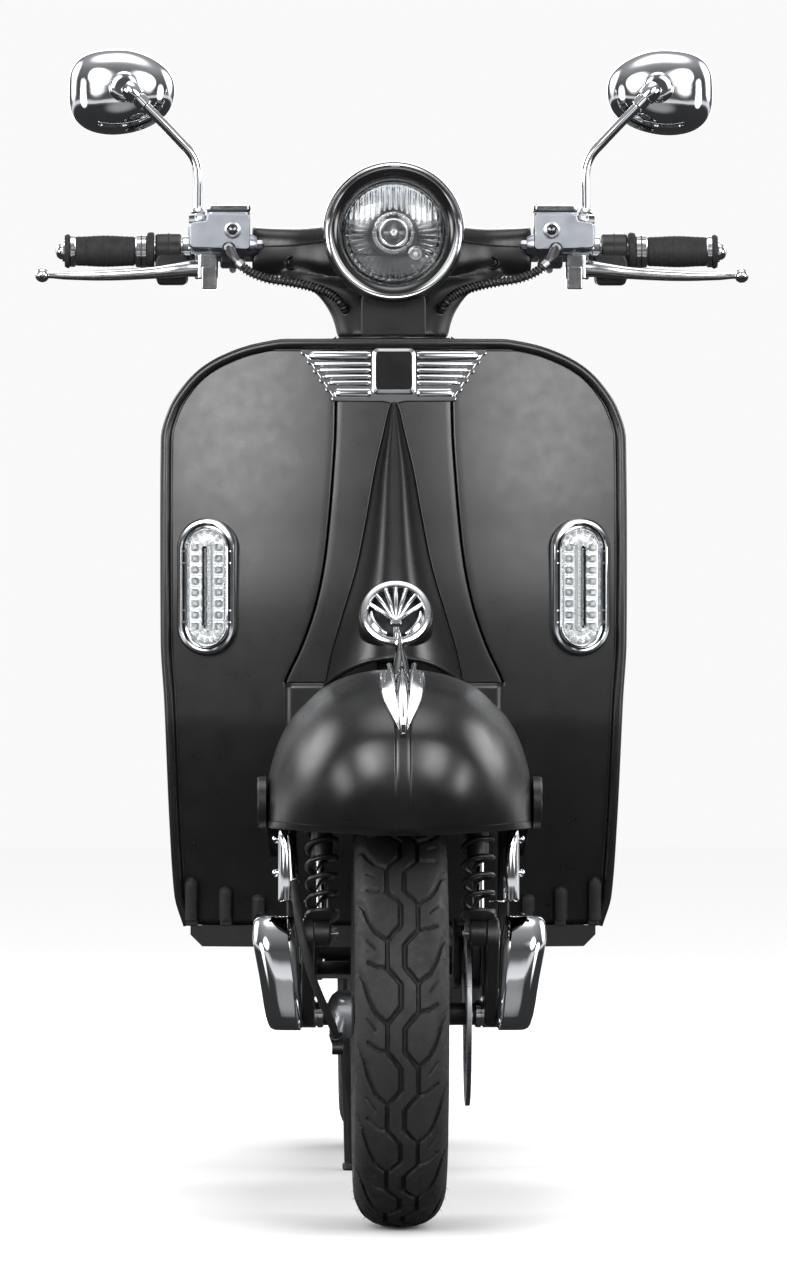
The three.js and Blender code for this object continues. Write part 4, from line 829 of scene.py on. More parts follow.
def make_indicator(side, sign):
    bezel, lens = f"indicator_bezel_{side}", f"indicator_lens_{side}"
    ring = [(24.6, 0), (31, 0), (31.4, 3), (30.6, 6.4), (28.6, 8.6), (26.4, 8.8), (24.8, 7), (24.6, 0)]
    inner = [(19.8, 0), (22.8, 0), (22.9, 6.4), (21.4, 7.6), (20, 6.8), (19.8, 0)]
    for name, section in (("bezel", ring), ("bezel_inner", inner)):
        loft(f"{name}_{side}", indicator_rings(section), "chrome", "chassis", caps=False, flip=sign,
             nodes=[bezel])
    for number, w in enumerate((-36, -24, 24, 36)):
        for edge, u in (("in", -23.6), ("out", 23.6)):
            low, high = in_indicator(u - 1.4, w - 0.8, 1), in_indicator(u + 1.4, w + 0.8, 7)
            corners = [(min(a, b), max(a, b)) for a, b in zip(low, high)]
            block(f"bezel_tie_{side}_{edge}_{number}", [c[0] for c in corners], [c[1] for c in corners],
                  "chrome", "chassis", bevel=0.3, flip=sign, nodes=[bezel])
    loft(f"bezel_base_{side}", indicator_rings([(25, -0.4), (25, 1.2)]), "gloss paint", "chassis", flip=sign,
         nodes=[bezel])
    bowl = [(19.9, 5.4), (18.8, 2.8), (17, 1.6), (9, 1.5), (0.3, 1.5)]
    loft(f"lamp_bowl_{side}", indicator_rings(bowl), "reflector foil", "chassis", caps=False, flip=sign,
         nodes=[lens])
    led = rounded_box(-0.85, -0.8, 0.85, 0.8, 0.4, 3)
    for column, u in enumerate((-12.4, 12.4)):
        for row, w in enumerate(spread(-40, 40, 7)):
            for name, section, paint, slot in (("led_cup", LED_CUP, "reflector foil", "chrome"),
                                               ("led", LED_DOME, "led", "clear_lens")):
                rings = [[in_indicator(u + a * size, w + b * size, lift) for a, b in led]
                         for size, lift in section]
                loft(f"{name}_{side}_{column}_{row}", rings, paint, "chassis", flip=sign, caps=paint == "led",
                     slot=slot, nodes=[lens])
    strip = []
    for w in spread(-45, 45, 96):
        height = 5.4 + 1.6 * flute(w, 3.75)
        row = [(u, height - 1.2 * (u / 4.6) ** 2 + 0.9 * flute(u, 2.3)) for u in spread(-4.6, 4.6, 16)]
        strip.append([in_indicator(u, w, lift) for u, lift in [(-4.8, 1.7), *row, (4.8, 1.7)]])
    loft(f"lamp_strip_{side}", strip, "white enamel", "chassis", flip=sign, nodes=[lens], angle=25)
    number = 0
    for end in (-1, 1):
        for radius, angles in ((14, spread(0.2, math.pi - 0.2, 6)), (7.5, spread(0.45, math.pi - 0.45, 2))):
            for angle in angles:
                u, w = radius * math.cos(angle), end * (40 + radius * math.sin(angle))
                gem = [(2.5, 1.6), (2.3, 4.6), (1.2, 6.0), (0.1, 6.2)]
                rings = [[in_indicator(u + a, w + b, lift) for a, b in circle((0, 0), size, 8)]
                         for size, lift in gem]
                loft(f"lamp_gem_{side}_{number}", rings, "led", "chassis", flip=sign, nodes=[lens], angle=15)
                number += 1
    dome = [(20, 4), (20, 7), (18.8, 8.6), (14, 10.2), (7, 11), (0.3, 11.2)]
    loft(f"lamp_cover_{side}", indicator_rings(dome), "clear lens", "chassis", caps=False, thick=1.0,
         flip=sign, nodes=[lens])


make_shield()
make_spine()
make_grille()
make_trim()
for side, sign in SIDES:
    make_indicator(side, sign)


# ---------------------------------------------------------------- front fender and its crest

CROWN = [(0, -881, 391), (0.1, -892, 440), (0.18, -884, 480), (0.28, -850, 514), (0.4, -790, 535),
         (0.52, -720, 546), (0.64, -640, 546), (0.76, -570, 535), (0.87, -520, 510), (0.94, -488, 468),
         (1, -470, 420)]
HEM = [(0, 16, -878, 388), (0.1, 58, -862, 390), (0.18, 86, -836, 391), (0.28, 110, -790, 392),
       (0.4, 125, -728, 392), (0.52, 131, -665, 393), (0.64, 131, -620, 392), (0.76, 129, -575, 378),
       (0.87, 128, -530, 362), (0.94, 124, -496, 358), (1, 114, -478, 366)]
crown_y, crown_z = by_first(CROWN), by_first(CROWN, 2)
hem_x, hem_y, hem_z = by_first(HEM), by_first(HEM, 2), by_first(HEM, 3)
SHOULDER = 2.4


def on_fender(t, out, dip=0.0):
    up = max(0.0, 1 - min(1, abs(out)) ** SHOULDER) ** (1 / SHOULDER)
    x = hem_x(t) * out
    crease = 2.2 * math.exp(-((abs(x) - 92) / 9) ** 2) * min(1, t * 6)
    return (x * (1 - dip / 130), hem_y(t) + (crown_y(t) - hem_y(t)) * up + dip * (1 - t) * 0.8,
            hem_z(t) + (crown_z(t) - hem_z(t)) * up - dip * min(1, 0.35 + t) - crease * up)


def make_fender():
    rows = spread(0, 1, 96)
    lines = [(0, 0), (3, 0), (6.1, 0), (6.7, 0.4), (7.2, 1.1), (7.7, 0.4), (8.3, 0)]
    verts = []
    for t in rows:
        reach = hem_x(t)
        start = math.asin(min(1, (9.2 / reach) ** 1.2))
        outs = [(x / reach, dip) for x, dip in lines]
        outs += [(math.sin(a) ** (1 / 1.2), 0) for a in spread(start, math.pi / 2, 44)]
        half = [on_fender(t, out, dip) for out, dip in outs]
        verts += [(-x, y, z) for x, y, z in reversed(half[1:])] + half
    make("fender_skin", verts, grid_faces(len(rows), len(verts) // len(rows)), "satin paint", "steering",
         thick=2.6, nodes=["front_fender"], angle=60)
    low, high = [], []
    for t in spread(0.012, 1, 90):
        rise = crown_z(t) - hem_z(t)
        low.append(Vector(on_fender(t, 1)))
        high.append(Vector(on_fender(t, (1 - (6.5 / rise) ** SHOULDER) ** (1 / SHOULDER))))
    low = [Vector((-p.x, p.y, p.z)) for p in reversed(low)] + low
    high = [Vector((-p.x, p.y, p.z)) for p in reversed(high)] + high
    rings = []
    for a, b in zip(low, high):
        away = Vector((a.x, a.y + 672, 0)).normalized()
        rings.append([tuple(p) for p in (a - away * 1.6, a + away * 0.7, a + away * 1.2 + Vector((0, 0, 2)),
                                         b + away * 0.8, b - away * 0.4)])
    loft("fender_hem", rings, "satin paint", "steering", nodes=["front_fender"], angle=40)
    for side, sign in SIDES:
        holder = [(0.01, 6), (20.5, 6), (22, 8.5), (24.2, 9.5), (25.4, 8), (25.4, 1), (23, 0), (0.01, 0)]
        lathe(f"reflector_holder_{side}", holder, (1, 0, 0), (129.5, -690, 416), "smooth plastic", "steering",
              flip=sign, nodes=["front_fender"])
        lens = [(0.01, 8.4), (18, 8.2), (20.4, 7.4), (20.4, 5.5), (0.01, 5.5)]
        lathe(f"reflector_{side}", lens, (1, 0, 0), (129.5, -690, 416), "amber lens", "steering", flip=sign,
              nodes=["front_fender"])


CREST = [
    # low y, low z, high y, high z, half width
    (-880, 483, -891, 486, 3.6), (-874, 490, -890.5, 497, 4.6), (-862, 502, -882, 514, 6.2),
    (-847, 511, -866, 531, 7.8), (-826, 519, -842, 544, 8.6), (-800, 527, -809, 555, 8.2),
    (-760, 536, -765, 565.5, 7.2), (-720, 542, -722, 573.5, 6), (-680, 548, -680, 581, 4.6),
    (-645, 556, -640, 586.5, 3.2), (-628, 566, -622, 584, 1.6),
]


def make_crest():
    spine = row_curve(CREST)
    rings = []
    for t in spread(0, 1, 60):
        y0, z0, y1, z1, half = spine(t)
        middle, reach = Vector((0, (y0 + y1) / 2, (z0 + z1) / 2)), Vector((0, (y1 - y0) / 2, (z1 - z0) / 2))
        rings.append([tuple(middle + reach * math.cos(a)
                            + Vector((half * math.sin(a) * (1 - 0.42 * max(0, math.cos(a))), 0, 0)))
                      for a in whole_turn(28)])
    loft("crest_spine", rings, "chrome", "steering", nodes=["fender_crest"], angle=50)
    outer = row_curve([(3.6, -884, 486), (9, -874, 498), (14.5, -860, 509), (19, -843, 520),
                       (21.8, -824, 530), (22.4, -806, 540)])
    inner = row_curve([(2, -886, 492), (4.5, -878, 507), (6.5, -865, 520), (8, -848, 532), (9.5, -828, 541),
                       (12, -806, 547)])
    for side, sign in SIDES:
        rings = []
        for t in spread(0, 1, 24):
            a, b = Vector(outer(t)), Vector(inner(t))
            lift = Vector((0.15, -0.5, 0.85)) * (2.6 + 1.2 * t)
            rings.append([tuple(p) for p in (a - lift * 1.4, a + lift * 0.3, a.lerp(b, 0.15) + lift * 0.75,
                                             a.lerp(b, 0.5) + lift * 0.35, b + lift * 0.4, b - lift * 1.4)])
        loft(f"crest_wing_{side}", rings, "chrome", "steering", flip=sign, nodes=["fender_crest"],
             bevel=0.5, angle=40)
        rib = path_through([(12, -806, 551), (9.5, -834, 541), (7, -858, 527)], 14)
        tube(f"crest_rib_{side}", rib, lambda t: 2.4 * (1 - 0.7 * t), "chrome", "steering", sides=14,
             flip=sign, nodes=["fender_crest"])
    block("crest_window", (-2.1, -892.2, 486.5), (2.1, -884, 494.5), "gloss paint", "steering", bevel=0.6,
          nodes=["fender_crest"])


# ---------------------------------------------------------------- headset and headlight

LAMP = (0, 0, 990)
BOWL_RADIUS = 51.5
BOWL_SPLIT = 1003  # above this height the bowl is ribbed and bright; below it has rays, and its reflector colour is darkened as painted shade


def fused(name, parts, voxel, rounds, material, body, slot, nodes):
    """Closed shapes melted into one casting. parts: (verts, faces) pairs in millimetres."""
    verts, faces = [], []
    for some, some_faces in parts:
        start = len(verts)
        verts += some
        faces += [tuple(i + start for i in face) for face in some_faces]
    obj = make(name, verts, faces, material, body, slot=slot, nodes=nodes)
    skin = obj.modifiers.new("skin", "REMESH")
    skin.mode = "VOXEL"
    skin.voxel_size = voxel * MM
    skin.use_smooth_shade = True
    soft = obj.modifiers.new("soft", "SMOOTH")
    soft.factor = 0.5
    soft.iterations = rounds
    return obj


def closed(rings):
    count = len(rings[0])
    faces = grid_faces(len(rings), count, closed=True)
    faces.append(tuple(range(count)))
    faces.append(tuple(reversed([(len(rings) - 1) * count + i for i in range(count)])))
    return [p for ring in rings for p in ring], faces


def rounded_ring(x, y0, y1, z0, z1, power=3.0, count=40):
    """A soft-cornered ring across x."""
    ring = []
    for a in whole_turn(count):
        c, s = math.cos(a), math.sin(a)
        ring.append((x, (y0 + y1) / 2 + (y1 - y0) / 2 * soft(c, (2 / power)),
                     (z0 + z1) / 2 + (z1 - z0) / 2 * soft(s, (2 / power))))
    return ring


HEADSET_ARM = [(0, -306, -200, 928, 1018), (20, -305, -200, 930, 1016), (66, -291, -202, 943, 1003),
               (100, -271, -204, 950, 1000), (130, -261, -205, 951, 1001), (144, -256, -207, 952, 1002)]
HEADSET_NECK = [(884, 56.5, 46, -300), (896, 59, 46, -297), (908, 63, 46, -293), (920, 70, 45, -287),
                (931, 79, 42, -279), (938, 92, 37, -271), (944, 108, 31, -263), (950, 116, 27, -257),
                (962, 116, 24, -255)]


def make_headset():
    parts = []
    can = [(0.01, -326), (63, -326), (66, -322), (66, -268), (62, -246), (50, -230), (34, -221), (0.01, -220)]
    parts.append(closed([[(r * math.cos(a), y, 990 + r * math.sin(a)) for a in whole_turn(64)]
                         for r, y in can]))
    arm = row_curve(HEADSET_ARM)
    rings = [rounded_ring(*arm(t)) for t in spread(0, 1, 30)]
    parts.append(closed(rings))
    parts.append(closed([[(-x, y, z) for x, y, z in reversed(ring)] for ring in rings]))
    neck = row_curve(HEADSET_NECK)
    parts.append(closed([[(hx * math.cos(a), y + hy * math.sin(a), z) for a in whole_turn(56)]
                         for z, hx, hy, y in (neck(t) for t in spread(0, 1, 16))]))
    fused("headset", parts, 2.4, 10, "satin paint", "steering", "satin_black", ["headset_shell"])
    panel = [(-33, 885), (33, 885), (33, 924), (28, 930), (-28, 930), (-33, 924)]
    slab("headset_panel", rounded(panel, 3), "y", -349, -318, "satin paint", "steering", bevel=1.6,
         nodes=["headset_shell"])
    for side, sign in SIDES:
        seam = path_through([(68, -293.5, 985), (84, -284, 983), (104, -271.5, 981), (138, -258.2, 980)], 24)
        tube(f"headset_seam_{side}", seam, 0.7, "rubber", "steering", sides=8, flip=sign, slot="matte_black",
             nodes=["headset_shell"])
        well = [(0.01, 1), (4.4, 1), (4.8, -1.6), (6.4, -2.2), (7.4, -0.8), (7.4, 3), (0.01, 3)]
        lathe(f"headset_well_{side}", well, (0.38, 1, 0), (104, -268.5, 963), "smooth plastic", "steering",
              segments=32, flip=sign, slot="satin_black", nodes=["headset_shell"])
        bolt(f"headset_screw_{side}", (104.4, -267.6, 963), (-0.38, -1, 0), 3.6, "dark steel", "steering",
             height=1.6, flip=sign, nodes=["headset_shell"])


def make_headlight():
    shell = [(64, -318), (66.4, -318), (69.5, -332), (71.6, -348), (72.2, -362), (71.4, -369), (69.6, -372.5),
             (68.2, -373), (64, -366), (62, -340), (64, -318)]
    lathe("lamp_shell", shell, (0, 1, 0), LAMP, "gloss paint", "steering", segments=128,
          nodes=["headlight_ring"])
    ring = [(68.6, -370), (69.6, -373), (68.9, -376.2), (67.4, -377.2), (66.2, -376.2), (65.9, -374.6),
            (65.1, -375.6), (63.9, -375.4), (63.2, -373.4), (63.4, -369), (68.6, -370)]
    lathe("lamp_rim", ring, (0, 1, 0), LAMP, "chrome", "steering", segments=128, nodes=["headlight_ring"])
    bezel = [(63.8, -372.4), (61.5, -372), (56.5, -369), (52.8, -363.5), (51.2, -356), (50.9, -340),
             (53, -340), (54, -352), (64, -366), (63.8, -372.4)]
    lathe("lamp_bezel", bezel, (0, 1, 0), LAMP, "gloss paint", "steering", segments=128,
          nodes=["headlight_ring"])
    verts = []
    radii = spread(0.6, BOWL_RADIUS, 60)
    turns = whole_turn(216)
    for r in radii:
        for a in turns:
            x, z = r * math.cos(a), r * math.sin(a)
            bowl = 34 * (1 - (r / BOWL_RADIUS) ** 2) ** 0.75
            upper = 1 / (1 + math.exp(-(z - 11) / 1.2))
            ribs = 1.9 * flute(x, 5.6) * upper
            rays = 2.1 * flute(a, math.pi / 22) * (1 - upper) * min(1, r / 26)
            terrace = 1.6 * (1 if z < -22 else 0)
            fade = min(1, (BOWL_RADIUS - r) / 4)
            verts.append((x, -351 + bowl - (ribs + rays + terrace) * fade, 990 + z))
    faces = grid_faces(len(radii), len(turns), closed=True)
    halves = {"upper": [], "lower": []}
    for face in faces:
        middle = sum(verts[i][2] for i in face) / len(face)
        halves["upper" if middle > BOWL_SPLIT else "lower"].append(face)
    # The lower half takes the darker reflector colour, which is painted shade.
    for name, shade in (("upper", "reflector"), ("lower", "reflector with painted shade")):
        used = sorted({i for face in halves[name] for i in face})
        place = {old: new for new, old in enumerate(used)}
        make(f"lamp_reflector_{name}", [verts[i] for i in used],
             [tuple(place[i] for i in face) for face in halves[name]], shade, "steering", slot="chrome",
             nodes=["headlight_lens"], angle=60, thick=1)
    cup = [(13.2, -338), (14.6, -346), (16.8, -352), (19.2, -353), (20.6, -350), (21.6, -342), (22, -326)]
    lathe("lamp_bulb_cup", cup, (0, 1, 0), LAMP, "reflector", "steering", thick=1, nodes=["headlight_lens"])
    for number, turn in enumerate(whole_turn(20)):
        rod(f"lamp_cup_tooth_{number}", (17 * math.cos(turn), -352.6, 990 + 17 * math.sin(turn)),
            (21 * math.cos(turn), -349.6, 990 + 21 * math.sin(turn)), 0.9, "reflector", "steering", sides=8,
            bevel=0, nodes=["headlight_lens"])
    bulb = [(0.01, -355), (5.5, -354.4), (9.2, -352.4), (10.8, -348.5), (11, -342), (11, -326), (0.01, -326)]
    lathe("lamp_bulb_cap", bulb, (0, 1, 0), LAMP, "dark steel", "steering", nodes=["headlight_lens"])
    rim = [(9.6, -353.6), (11.8, -354.4), (13, -352.4), (12.6, -346), (9.6, -346), (9.6, -353.6)]
    lathe("lamp_bulb_rim", rim, (0, 1, 0), LAMP, "chrome", "steering", nodes=["headlight_lens"])
    side_lamp = [(3.4, -340), (4.4, -349), (6.2, -351.5), (7.8, -350), (8, -336), (3.4, -340)]
    lathe("position_cup", side_lamp, (0, 1, 0), (22.5, 0, 968.5), "reflector", "steering",
          nodes=["headlight_lens"])
    glow = [(0.01, -350.6), (2.2, -350), (3.6, -347.6), (3.8, -338), (0.01, -338)]
    lathe("position_bulb", glow, (0, 1, 0), (22.5, 0, 968.5), "led", "steering", nodes=["headlight_lens"])
    glass = [(51.6, -353), (51, -357), (44, -361), (34, -364), (20, -366.2), (0.01, -367.2)]
    lathe("lamp_glass", glass, (0, 1, 0), LAMP, "clear lens", "steering", segments=96, thick=1.6,
          nodes=["headlight_lens"])


make_fender()
make_crest()
make_headset()
make_headlight()


# ---------------------------------------------------------------- bar, grips and controls

BAR_Y, BAR_Z = -222, 977


def on_bar(name, profile, material, body, sign, **how):
    """A turned piece round the bar. profile is (radius, x)."""
    return lathe(name, profile, (1, 0, 0), (0, BAR_Y, BAR_Z), material, body, flip=sign, **how)


def ringed(inner, outer, start, end, edge=0.8):
    """The closed profile of a ring from start to end with softened edges."""
    return [(inner, start), (outer - edge, start), (outer, start + edge), (outer, end - edge),
            (outer - edge, end), (inner, end), (inner, start)]


def make_bar():
    rod("bar_tube", (-340, BAR_Y, BAR_Z), (340, BAR_Y, BAR_Z), 11, "chrome", "steering", nodes=["handlebar"])
    for side, sign in SIDES:
        cap = [(0.01, 337.6), (8.6, 337.6), (9, 339), (8.4, 342.6), (6.4, 345.4), (3.4, 346.8), (0.01, 347.2)]
        on_bar(f"bar_cap_{side}", cap, "chrome", "steering", sign, nodes=["handlebar"])
        node = "grip_left" if sign > 0 else "throttle_grip"
        body = "steering" if sign > 0 else "throttle"
        sleeve = [(11.4, 262)]
        for x in spread(266, 325, 118):
            belly = 15.2 + 1.1 * math.sin(math.pi * (x - 266) / 59) ** 2
            sleeve.append((belly - 0.5 * (1 - flute(x - 266, 4.9) ** 0.35), x))
        sleeve += [(15, 326.4), (11.4, 326.4), (11.4, 262)]
        on_bar(f"grip_sleeve_{side}", sleeve, "rubber", body, sign, nodes=[node], angle=60)
        on_bar(f"grip_collar_{side}", ringed(11.4, 16.8, 252.5, 264.5, 1.2), "polished alloy", body, sign,
               nodes=[node])
        on_bar(f"grip_collar_line_{side}", ringed(16.5, 17.1, 257.8, 259.2, 0.2), "dark steel", body, sign,
               slot="rubber", nodes=[node])
        flange = [(11.4, 245), (18.2, 245), (19.6, 246.2), (19.8, 248), (19.2, 251.6), (17.2, 252.6),
                  (11.4, 252.6), (11.4, 245)]
        on_bar(f"grip_flange_{side}", flange, "rubber", body, sign, nodes=[node])
        on_bar(f"grip_ring_{side}", ringed(11.4, 16.4, 326.2, 332.4, 1), "polished alloy", body, sign,
               nodes=[node])
        end = [(11.4, 332.2), (16.6, 332.2), (17.6, 333.6), (17.4, 335.6), (16, 337.6), (11.4, 337.8),
               (11.4, 332.2)]
        on_bar(f"grip_end_{side}", end, "rubber", body, sign, nodes=[node])
        on_bar(f"bar_clamp_{side}", ringed(10.6, 15.5, 207, 216, 1), "chrome", "steering", sign,
               nodes=["handlebar"])


def make_switches(side, sign):
    node, button = f"switch_block_{side}", "horn_button" if sign > 0 else "starter_button"
    body = "horn_key" if sign > 0 else "starter_key"
    on_bar(f"switch_collar_{side}", ringed(11.4, 18.6, 217, 244, 1.6), "smooth plastic", "steering", sign,
           nodes=[node])
    on_bar(f"switch_groove_{side}", ringed(18, 18.9, 229.6, 230.8, 0.2), "rubber", "steering", sign,
           slot="gloss_black", nodes=[node])
    case = rounded_box(210, 943, 243, 975, 6)
    hole = circle((228, 954), 6.4, 28)
    front = rounded([(212, 941.5), (241, 941.5), (244, 950), (244, 968), (240, 974), (213, 974), (209, 965)],
                    5)
    slab(f"switch_front_{side}", front, "y", -240, -224, "smooth plastic", "steering", bevel=2.4, flip=sign,
         nodes=[node])
    slab(f"switch_case_{side}", case, "y", -226, -209, "smooth plastic", "steering", bevel=3, flip=sign,
         nodes=[node])
    low, high = [[(x, y, z) for x, z in hole] for y in (-209.6, -207.2)]
    wide = [(228 + (x - 228) * 1.3, -206.6, 954 + (z - 954) * 1.3) for x, z in hole]
    base = [(228 + (x - 228) * 1.3, -209.6, 954 + (z - 954) * 1.3) for x, z in hole]
    loft(f"switch_well_{side}", [base, wide, high, low], "gloss paint", "steering", caps=False, flip=sign,
         nodes=[node])
    profile = [(0.01, 0), (5.2, 0), (5.2, -6.6), (4.4, -7.8), (0.01, -8.4)]
    lathe(f"switch_button_{side}", profile, (0, -1, 0), (228, -209.6, 954), "amber lens" if sign < 0
          else "gloss paint", body, segments=36, flip=sign, slot="gloss_black", nodes=[button])
    rocker = rounded_box(216, 962, 226, 971, 1.6)
    slab(f"switch_rocker_{side}", rocker, "y", -210, -205.6, "gloss paint", "steering", bevel=1, flip=sign,
         nodes=[node])
    for number, (x, z) in enumerate(((214, 946.5), (239.5, 946.5))):
        bolt(f"switch_screw_{side}_{number}", (x, -209.4, z), (0, 1, 0), 2.6, "steel", "steering", height=1.8,
             flip=sign, nodes=[node])


def make_master(side, sign):
    node = f"master_cylinder_{side}"
    how = {"flip": sign, "slot": "alloy", "nodes": [node]}
    tank = rounded_box(146, -276, 190, -238, 5)
    rings = [[(x + (168 - x) * inset, y + (-257 - y) * inset, z) for x, y in tank]
             for z, inset in ((974, 0.16), (977, 0.04), (982, 0), (1014.5, 0), (1015.4, 0.03), (1016, 0.03))]
    loft(f"master_tank_{side}", rings, "cast alloy", "steering", angle=30, bevel=1.2, **how)
    lid = rounded_box(144.8, -277.4, 191.4, -236.6, 5)
    slab(f"master_lid_{side}", lid, "z", 1016.4, 1022.4, "polished alloy", "steering", bevel=1.6, **how)
    gasket = rounded_box(145.8, -276.6, 190.4, -237.4, 5)
    slab(f"master_gasket_{side}", gasket, "z", 1015.6, 1016.6, "rubber", "steering", bevel=0.2, **how)
    for number, x in enumerate((151, 182)):
        bolt(f"master_lid_screw_{side}_{number}", (x, -257, 1022.2), (0, 0, 1), 3.2, "steel", "steering",
             height=1.8, **how)
    face = [(146, 976), (208, 978), (208, 1004), (191, 1006), (190, 1013), (146, 1013)]
    slab(f"master_face_{side}", rounded(face, 5), "y", -277.4, -266, "cast alloy", "steering", bevel=1.4,
         **how)
    sight = [(3.8, -1.2), (4.2, 1.4), (6.4, 2.6), (8.4, 2), (8.8, 0), (8.8, -2), (3.8, -1.2)]
    lathe(f"sight_ring_{side}", sight, (0, -1, 0), (164, -277, 996), "steel", "steering", segments=40,
          flip=sign, nodes=[node])
    glass = [(0.01, 0.2), (4.6, 0.2), (5.8, 1.2), (4.4, 2.2), (0.01, 2.8)]
    lathe(f"sight_glass_{side}", glass, (0, -1, 0), (164, -277, 996), "dark glass", "steering", segments=40,
          flip=sign, nodes=[node])
    nose = [(0.01, 206), (5.5, 206), (8.4, 204.6), (9.2, 201), (9.2, 182), (11, 178), (12.4, 168), (12, 146),
            (9, 139), (0.01, 138)]
    lathe(f"master_bore_{side}", nose, (1, 0, 0), (0, -258, 981.5), "cast alloy", "steering", segments=48,
          **how)
    plunger = [(0.01, 132), (4, 132), (5.4, 134), (5.4, 139), (0.01, 139)]
    lathe(f"master_plug_{side}", plunger, (1, 0, 0), (0, -258, 981.5), "steel", "steering", segments=6, **how)
    on_bar(f"master_clamp_{side}", ringed(11.3, 17.8, 151, 177, 2), "cast alloy", "steering", sign,
           nodes=[node])
    tie = rounded([(-262, 968), (-232, 964), (-226, 992), (-262, 992)], 4)
    slab(f"master_tie_{side}", tie, "x", 151, 176, "cast alloy", "steering", bevel=1.6, **how)
    for number, z in enumerate((958.5, 995.5)):
        bolt(f"master_clamp_bolt_{side}_{number}", (164, -212, z), (0, 1, 0), 3.6, "steel", "steering",
             height=4, **how)
    boss = [(0.01, 982), (9.6, 982), (9.8, 1000), (9, 1003.2), (6, 1003.6), (0.01, 1003.6)]
    lathe(f"mirror_boss_{side}", boss, (0, 0, 1), MIRROR_FOOT, "cast alloy", "steering", segments=48, **how)
    neck = rounded([(176, -270), (209, -270), (209, -240), (176, -242)], 4)
    slab(f"mirror_bracket_{side}", neck, "z", 980, 1001, "cast alloy", "steering", bevel=2, **how)
    fitting = [(0.01, -8), (5, -8), (6.8, -6.4), (6.8, 6.4), (5, 8), (0.01, 8)]
    lathe(f"banjo_{side}", fitting, (0, 1, 0), (168, -284, 977), "dark steel", "steering", segments=40, **how)
    bolt(f"banjo_bolt_{side}", (168, -291, 977), (0, -1, 0), 4.6, "steel", "steering", height=4, **how)


LEVER = [(193, -252, 958, 8, 9.5), (207, -255, 957.5, 6.5, 8.4), (225, -257.5, 955.5, 5.6, 7.4),
         (245, -261, 953.2, 5, 6.4), (265, -263.6, 951.6, 4.6, 6), (290, -267, 950.2, 4.2, 5.6),
         (315, -270.6, 949.4, 3.8, 4.8), (336, -273.6, 949.4, 3.5, 4.2), (350, -275, 949.8, 3.3, 3.4),
         (357, -275, 950, 3.3, 3.3)]


def make_lever(side, sign):
    node, body = f"brake_lever_{side}", f"lever_{side}"
    how = {"flip": sign, "slot": "alloy", "nodes": [node]}
    line = row_curve(LEVER)
    rings = []
    for t in spread(0, 1, 60):
        x, y, z, deep, high = line(t)
        rings.append([(x, y + deep * soft(math.cos(a), 0.8), z + high * soft(math.sin(a), 0.9))
                      for a in whole_turn(28)])
    loft(f"lever_blade_{side}", rings, "polished alloy", body, angle=50, **how)
    tip = [(7.6 * math.sin(a), -7.6 * math.cos(a)) for a in spread(0.001, math.pi - 0.001, 24)]
    lathe(f"lever_ball_{side}", tip, (1, 0, 0), (359.5, -275, 950), "polished alloy", body, segments=40,
          **how)
    root = rounded([(179, -262), (199, -262), (204, -254), (199, -244), (179, -244)], 3)
    slab(f"lever_root_{side}", root, "z", 946.5, 973, "polished alloy", body, bevel=2, **how)
    drop = rounded_box(180, 936, 196, 960, 2.5)
    slab(f"lever_drop_{side}", drop, "y", -264.5, -246, "polished alloy", body, bevel=1.6, **how)
    bolt(f"lever_pin_{side}", (187, -252, 946.8), (0, 0, -1), 5, "steel", body, height=3.4, **how)


HOSE = [(168, -292, 977), (161, -300, 965), (148, -304, 953), (129, -307, 945), (106, -311, 941),
        (85, -317, 936.5), (67, -325, 930), (54, -328, 920), (45, -316, 905)]


def make_hose(side, sign):
    how = {"flip": sign, "slot": "rubber", "nodes": [f"brake_hose_{side}"]}
    line = path_through(HOSE, 96)
    tube(f"hose_{side}", line, 3.6, "rubber", "steering", sides=16, **how)
    tube(f"hose_ferrule_{side}", line[2:17], lambda t: 5.2 - 0.9 * t, "dark steel", "steering", sides=18,
         **how)
    tube(f"hose_crimp_{side}", line[15:20], 5, "steel", "steering", sides=18, **how)
    coil = []
    turns, steps = 34, 14
    stretch = line[20:]
    for k in range(turns * steps + 1):
        s = k / (turns * steps) * (len(stretch) - 1)
        i = min(int(s), len(stretch) - 2)
        p = stretch[i].lerp(stretch[i + 1], s - i)
        ahead = (stretch[i + 1] - stretch[i]).normalized()
        across = ahead.cross(Vector((0, 1, 0))).normalized()
        turn = 2 * math.pi * k / steps
        coil.append(p + (across * math.cos(turn) + ahead.cross(across) * math.sin(turn)) * 4.3)
    tube(f"hose_guard_{side}", coil, 0.85, "dark steel", "steering", sides=7, **how)


# ---------------------------------------------------------------- mirrors

STEM = [(200, -250, 1015), (200, -250, 1035), (200, -250, 1054), (201.5, -249.8, 1066), (207, -249.2, 1077),
        (217, -248, 1088), (234, -246.6, 1106), (251, -244.8, 1123), (262, -243.6, 1134.4)]
MIRROR_FOOT = (200, -250, 0)
MIRROR_MIDDLE = (279, 1143)
MIRROR_OUTLINE = [(54.5, 4), (53, 20), (45, 33.5), (30, 41.5), (8, 44.5), (-12, 43), (-32, 35.5), (-47, 24),
                  (-54, 11), (-54.6, -4), (-51, -17), (-41, -29), (-24, -38.5), (-4, -43.8), (16, -44.6),
                  (35, -40), (48.5, -29), (54, -13)]


def mirror_ring(scale, y, count=72):
    points = [Vector((x, z, 0)) for x, z in MIRROR_OUTLINE]
    line = path_through([*points, points[0]], count)[:-1]
    return [(MIRROR_MIDDLE[0] + p.x * scale, y, MIRROR_MIDDLE[1] + p.y * scale) for p in line]


